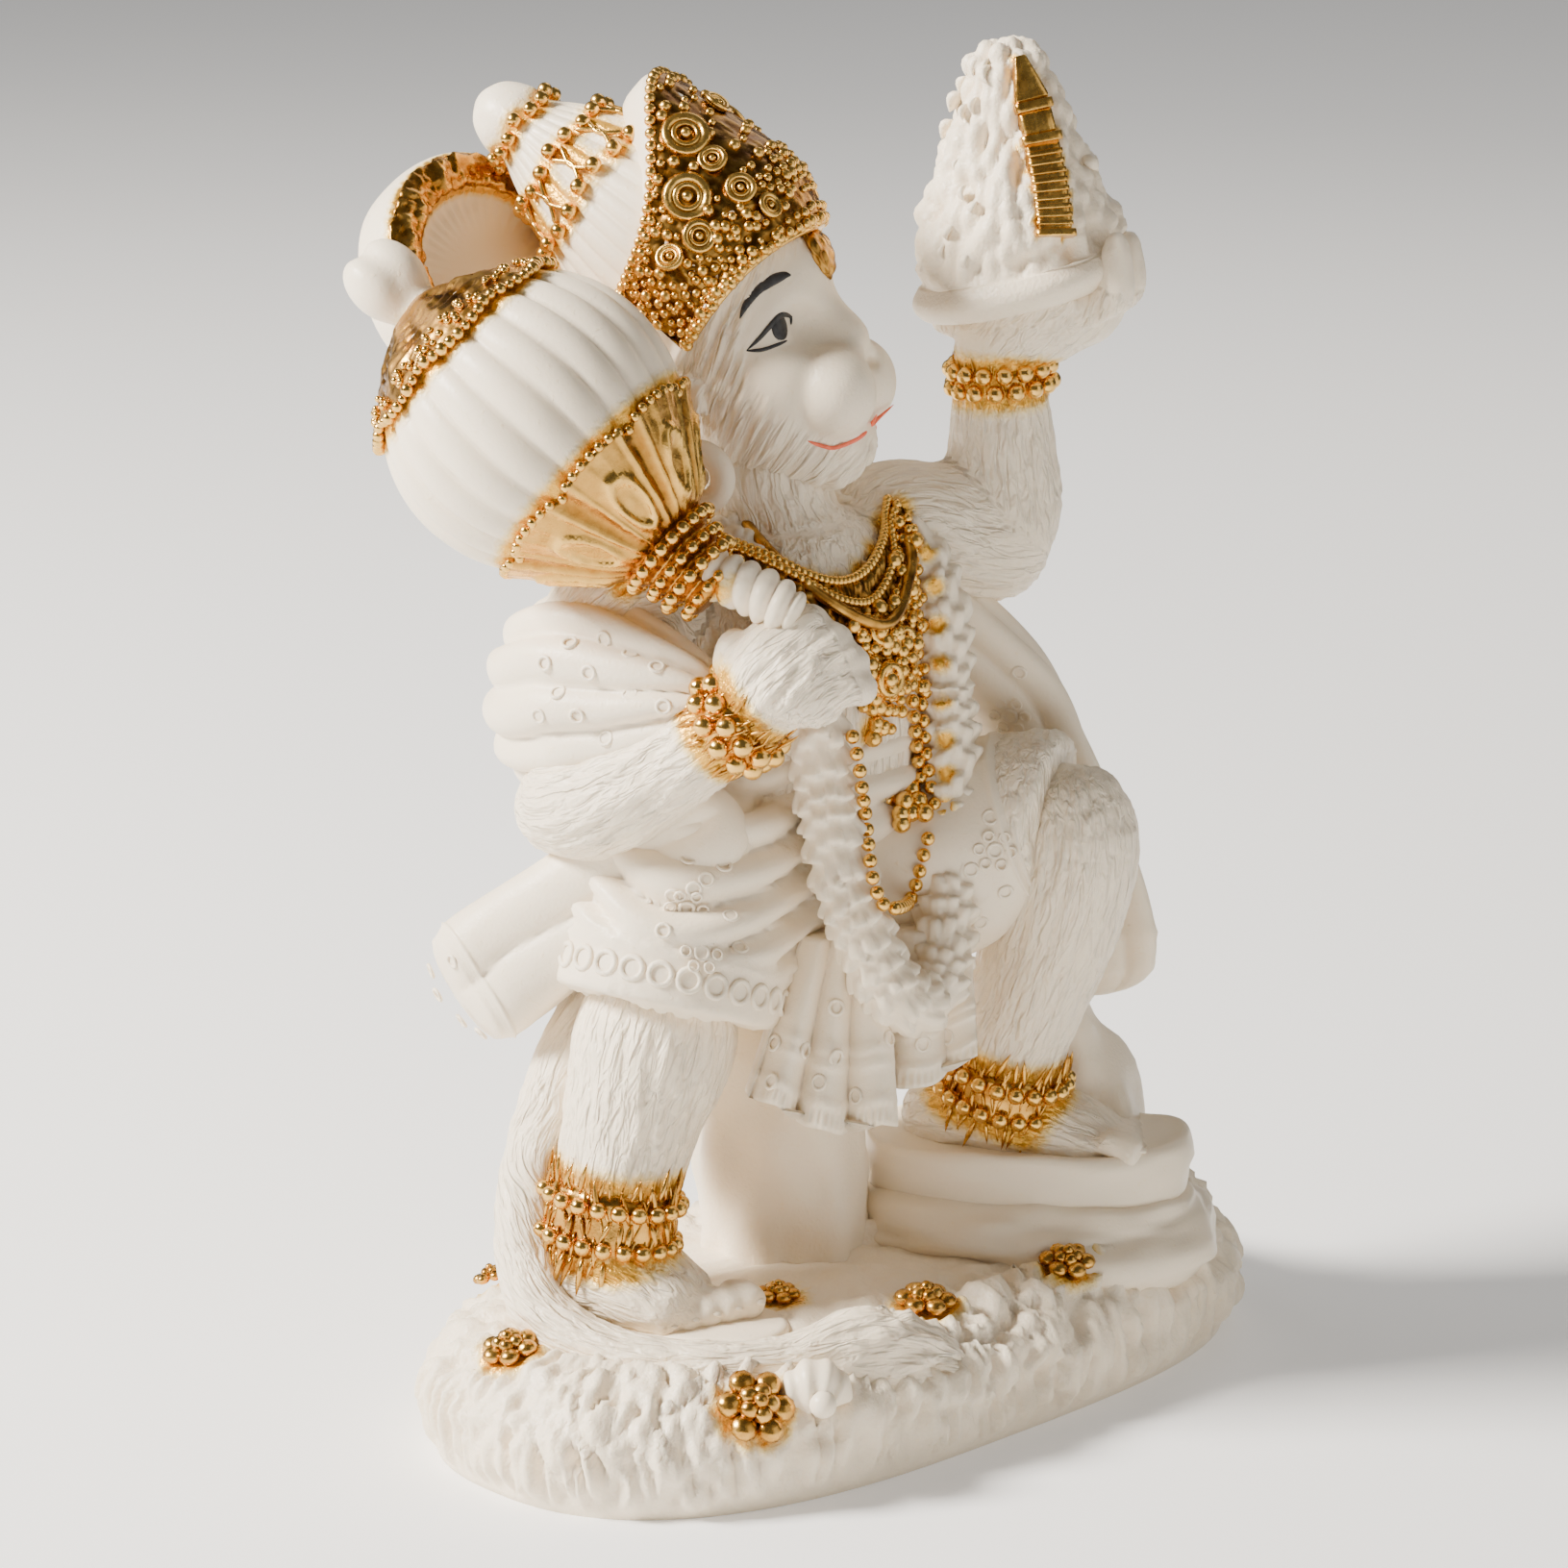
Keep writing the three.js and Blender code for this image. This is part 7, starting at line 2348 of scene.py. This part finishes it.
@dataclass
class Garland:
    """The long garland: a rope covered with small cupped petals, row over row."""

    rows: Rows = ((9.6, -7, 70, 3.3, 3.3), (10, -5.6, 80, 3.2, 3.2), (8.6, -0.5, 87.4, 3, 3),
                  (3.6, 8.6, 90, 2.8, 2.8), (-4.6, 12.4, 90.5, 2.8, 2.8), (-12, 7.6, 89.4, 2.8, 2.8),
                  (-14.4, -1, 84.4, 3, 3), (-13.6, -7.6, 74, 3.3, 3.3), (-12.4, -9.8, 60, 3.6, 3.6),
                  (-11, -12.4, 48, 3.6, 3.6), (-7.6, -14.6, 39, 3.7, 3.7), (-3.4, -15.2, 35.8, 3.7, 3.7),
                  (1.6, -14, 38, 3.6, 3.6), (5.6, -11.4, 46, 3.5, 3.5), (8.6, -9.4, 56, 3.4, 3.4))
    lacquered: Rows = ((965, 575), (972, 610), (975, 650), (978, 690), (980, 730), (983, 770), (985, 805),
                       (984, 840))
    petals: int = 12
    steps: int = 470
    sides: int = 56

    def build(self) -> Skin:
        """Makes the garland.

        The rope is cut into columns of cells, each column moved on by its own share. Each cell holds a
        tongue that is round across, rises along the rope, drops at its end and has a shallow groove down
        its middle.
        """
        path = Path(self.rows, (0.2, -0.9, 0.3), True)
        t = path.even(self.steps)
        centre, _, across, deep, size = path.at(t)
        phi = turns(self.sides)
        out = across[:, None] * np.cos(phi)[:, None] + deep[:, None] * np.sin(phi)[:, None]
        points = centre[:, None] + out * size[:, :1, None]
        run, turn = np.meshgrid(path.lengths(t), phi / (2 * np.pi), indexing="ij")
        flat = points.reshape(-1, 3)
        run = run + 1.1 * noise(flat, 3.4, 21).reshape(run.shape)
        col = turn * self.petals + 0.35 * noise(flat, 2.8, 22).reshape(run.shape)
        k = np.floor(col) % self.petals
        row = run / 3.1 + 0.5 * (k % 2) + 0.2 * np.sin(2.4 * k)
        u, v = 2 * (col % 1) - 1, row % 1
        tongue = np.sqrt(np.clip(1 - u**2, 0, 1)) * smooth(v, 0.0, 0.75) * (1 - smooth(v, 0.86, 1.0))
        height = 1.1 * tongue - 0.45 - 0.25 * bump_at(u, 0.0, 0.22) * (v > 0.2)
        height = height * (0.85 + 0.4 * noise(flat, 4.0, 23).reshape(run.shape))
        skin = sheet_of(points + out * height[..., None] * 1.3, round_v=True)
        stained(skin, seen(skin, self.lacquered)[0], 2.0)
        dress(skin, "garland", SMOOTH)
        return skin


@dataclass
class Jewellery:
    """The gold collar, the pendant, the double strand and the looped strand with its cluster."""

    collar: Rows = ((6.4, -3.4, 87.6, 3.0, 1.3), (2.6, -7.4, 82.9, 3.6, 1.3), (-2.4, -9.4, 79.8, 4.0, 1.3),
                    (-7.6, -8.2, 81.6, 3.6, 1.3), (-12.4, -3.6, 86.4, 3.0, 1.3), (-11.4, 5, 91, 2, 1.2),
                    (-4, 12, 92, 2, 1.2), (4.4, 6.6, 91, 2, 1.2))
    yoke: Rows = ((728, 548, 742, 566), (760, 565, 770, 592), (800, 584, 806, 622), (840, 600, 850, 662),
                  (870, 605, 892, 700), (892, 592, 925, 735), (908, 570, 945, 690), (916, 545, 955, 620),
                  (922, 522, 952, 545))
    strand: Rows = ((937, 545), (944, 575), (950, 610), (953, 650), (957, 690), (960, 730), (964, 770),
                    (968, 805), (974, 838))
    second: Rows = ((926, 560), (931, 590), (937, 625), (940, 665), (943, 705), (946, 745), (950, 785),
                    (955, 820))
    looped: Rows = ((884, 765), (890, 790), (894, 820), (898, 850), (901, 880), (905, 912), (915, 938),
                    (930, 943), (944, 935), (953, 908), (960, 880), (967, 855))
    packed: Rows = ((884, 632, 940, 700, 40), (893, 690, 940, 742, 34), (905, 742, 925, 768, 8),
                    (925, 560, 962, 720, 26))
    brooches: Rows = ((906, 655), (915, 705), (930, 670))
    cluster: Rows = ((940, 838), (930, 848), (948, 850), (938, 860), (956, 838), (925, 836), (948, 826),
                     (936, 826), (962, 850))

    def along(self, skin: Skin, pixels: Rows, spacing: float, size: float) -> Skin:
        """Beads along a seen line, resting on the skin.

        Args:
            skin: what they rest on.
            pixels: the line.
            spacing, size: between the beads, and their radius.

        Returns:
            The beads.
        """
        at, facing = seen(skin, pixels)
        at = spline(at, np.linspace(0, 1, 60))
        run = np.concatenate([[0], np.cumsum(np.linalg.norm(np.diff(at, axis=0), axis=1))])
        stops = np.arange(0, run[-1], spacing)
        line = np.stack([np.interp(stops, run, at[:, k]) for k in range(3)], 1)
        out = unit(facing.mean(0))
        return beads(line + out * 0.75 * size, size)

    def plate(self, chest: Skin) -> tuple[Skin, Skin]:
        """The yoke, a pebbled plate on the chest between two seen edges, and the rows of grains on it."""
        edges = spline(np.asarray(self.yoke, float), np.linspace(0, 1, 30))
        v = np.linspace(0, 1, 9)[None, :, None]
        pixels = edges[:, None, :2] * (1 - v) + edges[:, None, 2:] * v
        at, facing = seen(chest, pixels.reshape(-1, 2))
        grid, out = at.reshape(30, 9, 3), unit(facing.reshape(30, 9, 3))
        for _ in range(3):
            grid[1:-1] = 0.5 * grid[1:-1] + 0.25 * (grid[:-2] + grid[2:])
            grid[:, 1:-1] = 0.5 * grid[:, 1:-1] + 0.25 * (grid[:, :-2] + grid[:, 2:])
            out[1:-1] = unit(out[1:-1] + out[:-2] + out[2:])
            out[:, 1:-1] = unit(out[:, 1:-1] + out[:, :-2] + out[:, 2:])
        fine = spline(np.concatenate([grid, out], 2).reshape(30, -1),
                      np.linspace(0, 1, 150)).reshape(150, 9, 6)
        fine = np.swapaxes(spline(np.swapaxes(fine, 0, 1).reshape(9, -1),
                                  np.linspace(0, 1, 34)).reshape(34, 150, 6), 0, 1)
        top, way = fine[..., :3], unit(fine[..., 3:])
        s = np.linspace(-1, 1, 34)
        lift = 0.35 + 0.75 * np.sqrt(1 - 0.9 * np.abs(s) ** 6)
        section = np.concatenate([top + way * lift[None, :, None], (top - 0.8 * way)[:, ::-4]], 1)
        skin = sheet_of(section)
        cells = 0.8 * pebbles(skin.corners, 1.25, 41)
        cut = np.arange(150)[:, None] * np.ones(len(section[0]))
        lines = bump_at((cut * 0.125) % 1, 0.5, 0.13).ravel()
        lines = np.concatenate([lines, np.zeros(len(skin.corners) - len(lines))])
        skin.pushed(0.9 * (0.5 - cells) - 0.45 * lines)
        # Painted shade: the plate darkens where its pebbled cells sink in.
        skin.values["hollow"] = np.clip(1.5 * cells + 0.15, 0, 1)
        grains = [top[1::3, k] + way[1::3, k] * (lift[k] + 0.2) for k in (1, 8, 25, 32)]
        return skin, beads(np.concatenate(grains), 0.62, False)

    def build(self, chest: Skin) -> None:
        """Makes the jewels on the chest."""
        path = Path(self.collar, (0, 0.55, 0.83), True)
        centre, _, across, deep, _ = path.at(path.even(160))
        phi = turns(20)
        out = across[:, None] * np.cos(phi)[:, None] + deep[:, None] * np.sin(phi)[:, None]
        ring = centre[:, None] + 0.7 * out
        band = sheet_of(ring, round_v=True)
        band.values["hollow"] = np.clip(0.5 + 0.6 * noise(band.corners, 1.1, 43), 0, 1)
        plate, grains = self.plate(chest)
        rng = np.random.default_rng(17)
        pixels = []
        for x0, y0, x1, y1, n in self.packed:
            pixels += [(x0 + (x1 - x0) * a, y0 + (y1 - y0) * b) for a, b in rng.random((n, 2))]
        at, facing = seen(joined([Skin(s.corners, s.quads, s.triangles) for s in (chest, plate)]), pixels)
        mass = beads(at + 0.5 * facing, 0.6 + 0.5 * rng.random(len(at)), False)
        brooch, brooch_out = seen(chest, self.brooches)
        discs = joined([hoops(brooch + 1.7 * brooch_out, brooch_out, 1.7, 0.5, 20),
                        beads(brooch + 1.6 * brooch_out, 1.0)])
        dress(joined([band, plate]), "collar", BRONZED)
        dress(joined([grains, mass, discs]), "pendant", GOLD)
        beaded = [self.along(chest, line, 2.0, 0.85) for line in (self.strand, self.second, self.looped)]
        tuft, tuft_out = seen(chest, self.cluster)
        dress(joined([*beaded, beads(tuft + 1.0 * tuft_out, 1.15)]), "bead_strands", BRIGHT)


# Studio


@dataclass
class Studio:
    """The pale floor, the soft lights and the camera at the photograph's viewpoint."""

    lights: tuple[tuple[tuple[float, float, float], float, float], ...] = (
        ((-0.86, 0.52, 0.80), 0.32, 55.0), ((0.30, -0.95, 0.40), 0.8, 2.2), ((0.70, 0.35, 0.75), 0.5, 1.5),
        ((-0.3, 0.85, 0.6), 0.7, 2.0))

    lamp_colour: Colour = (1.0, 0.94, 0.86)
    aim: Colour = (0, 0, 0.07)
    world_light: float = 0.13
    floor_half: float = 6000
    sensor: float = 36.0

    def build(self) -> None:
        """Makes the floor, lights and camera."""
        s = np.linspace(-1, 1, 9)
        x, y = np.meshgrid(s, s, indexing="ij")
        grid = np.stack([x * self.floor_half, y * self.floor_half, 0 * x], -1)
        skin = sheet_of(grid, round_u=False)
        mesh = bpy.data.meshes.new("floor")
        mesh.from_pydata((skin.corners * MM).tolist(), [], skin.quads.tolist())
        mesh.materials.append(Backdrop().make())
        floor = bpy.data.objects.new("floor", mesh)
        bpy.context.scene.collection.objects.link(floor)
        for k, (where, size, power) in enumerate(self.lights):
            lamp = bpy.data.lights.new(f"soft_light_{k}", "AREA")
            lamp.energy, lamp.size, lamp.color = power, size, self.lamp_colour
            holder = bpy.data.objects.new(f"soft_light_{k}", lamp)
            holder.location = where
            holder.rotation_euler = (Vector(self.aim) - Vector(where)).to_track_quat("-Z", "Y").to_euler()
            bpy.context.scene.collection.objects.link(holder)
        world = bpy.data.worlds.new("studio")
        world.use_nodes = True
        world.node_tree.nodes["Background"].inputs[0].default_value = (1, 1, 1, 1)
        world.node_tree.nodes["Background"].inputs[1].default_value = self.world_light
        bpy.context.scene.world = world
        self.camera()

    def camera(self) -> None:
        """Makes the camera at the photograph's viewpoint, with the same angle over its sensor."""
        back, _, _ = VIEW.axes()
        data = bpy.data.cameras.new("photo_camera")
        data.sensor_width = self.sensor
        data.lens = self.sensor * VIEW.focal / (2 * VIEW.middle)
        data.clip_start, data.clip_end = 0.02, 20
        camera = bpy.data.objects.new("photo_camera", data)
        camera.location = VIEW.eye() * MM
        camera.rotation_mode = "QUATERNION"
        camera.rotation_quaternion = Vector(-back).to_track_quat("-Z", "Y")
        bpy.context.scene.collection.objects.link(camera)
        bpy.context.scene.camera = camera


def main() -> None:
    """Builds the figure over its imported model, a sub-assembly at a time."""
    logging.basicConfig(level=logging.INFO, format="%(message)s")
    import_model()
    Studio().build()
    Ground().build()
    Rocks().build()
    Tail().build()
    Legs().build()
    wrap = Dhoti().build()
    Shawl().build()
    chest = Body().build()
    head = Head()
    head.build()
    Crown(head).build()
    Halo().build()
    Mace().build()
    Hill().build()
    garland = Garland().build()
    Jewellery().build(joined([chest, garland, wrap]))


if __name__ == "__main__":
    main()
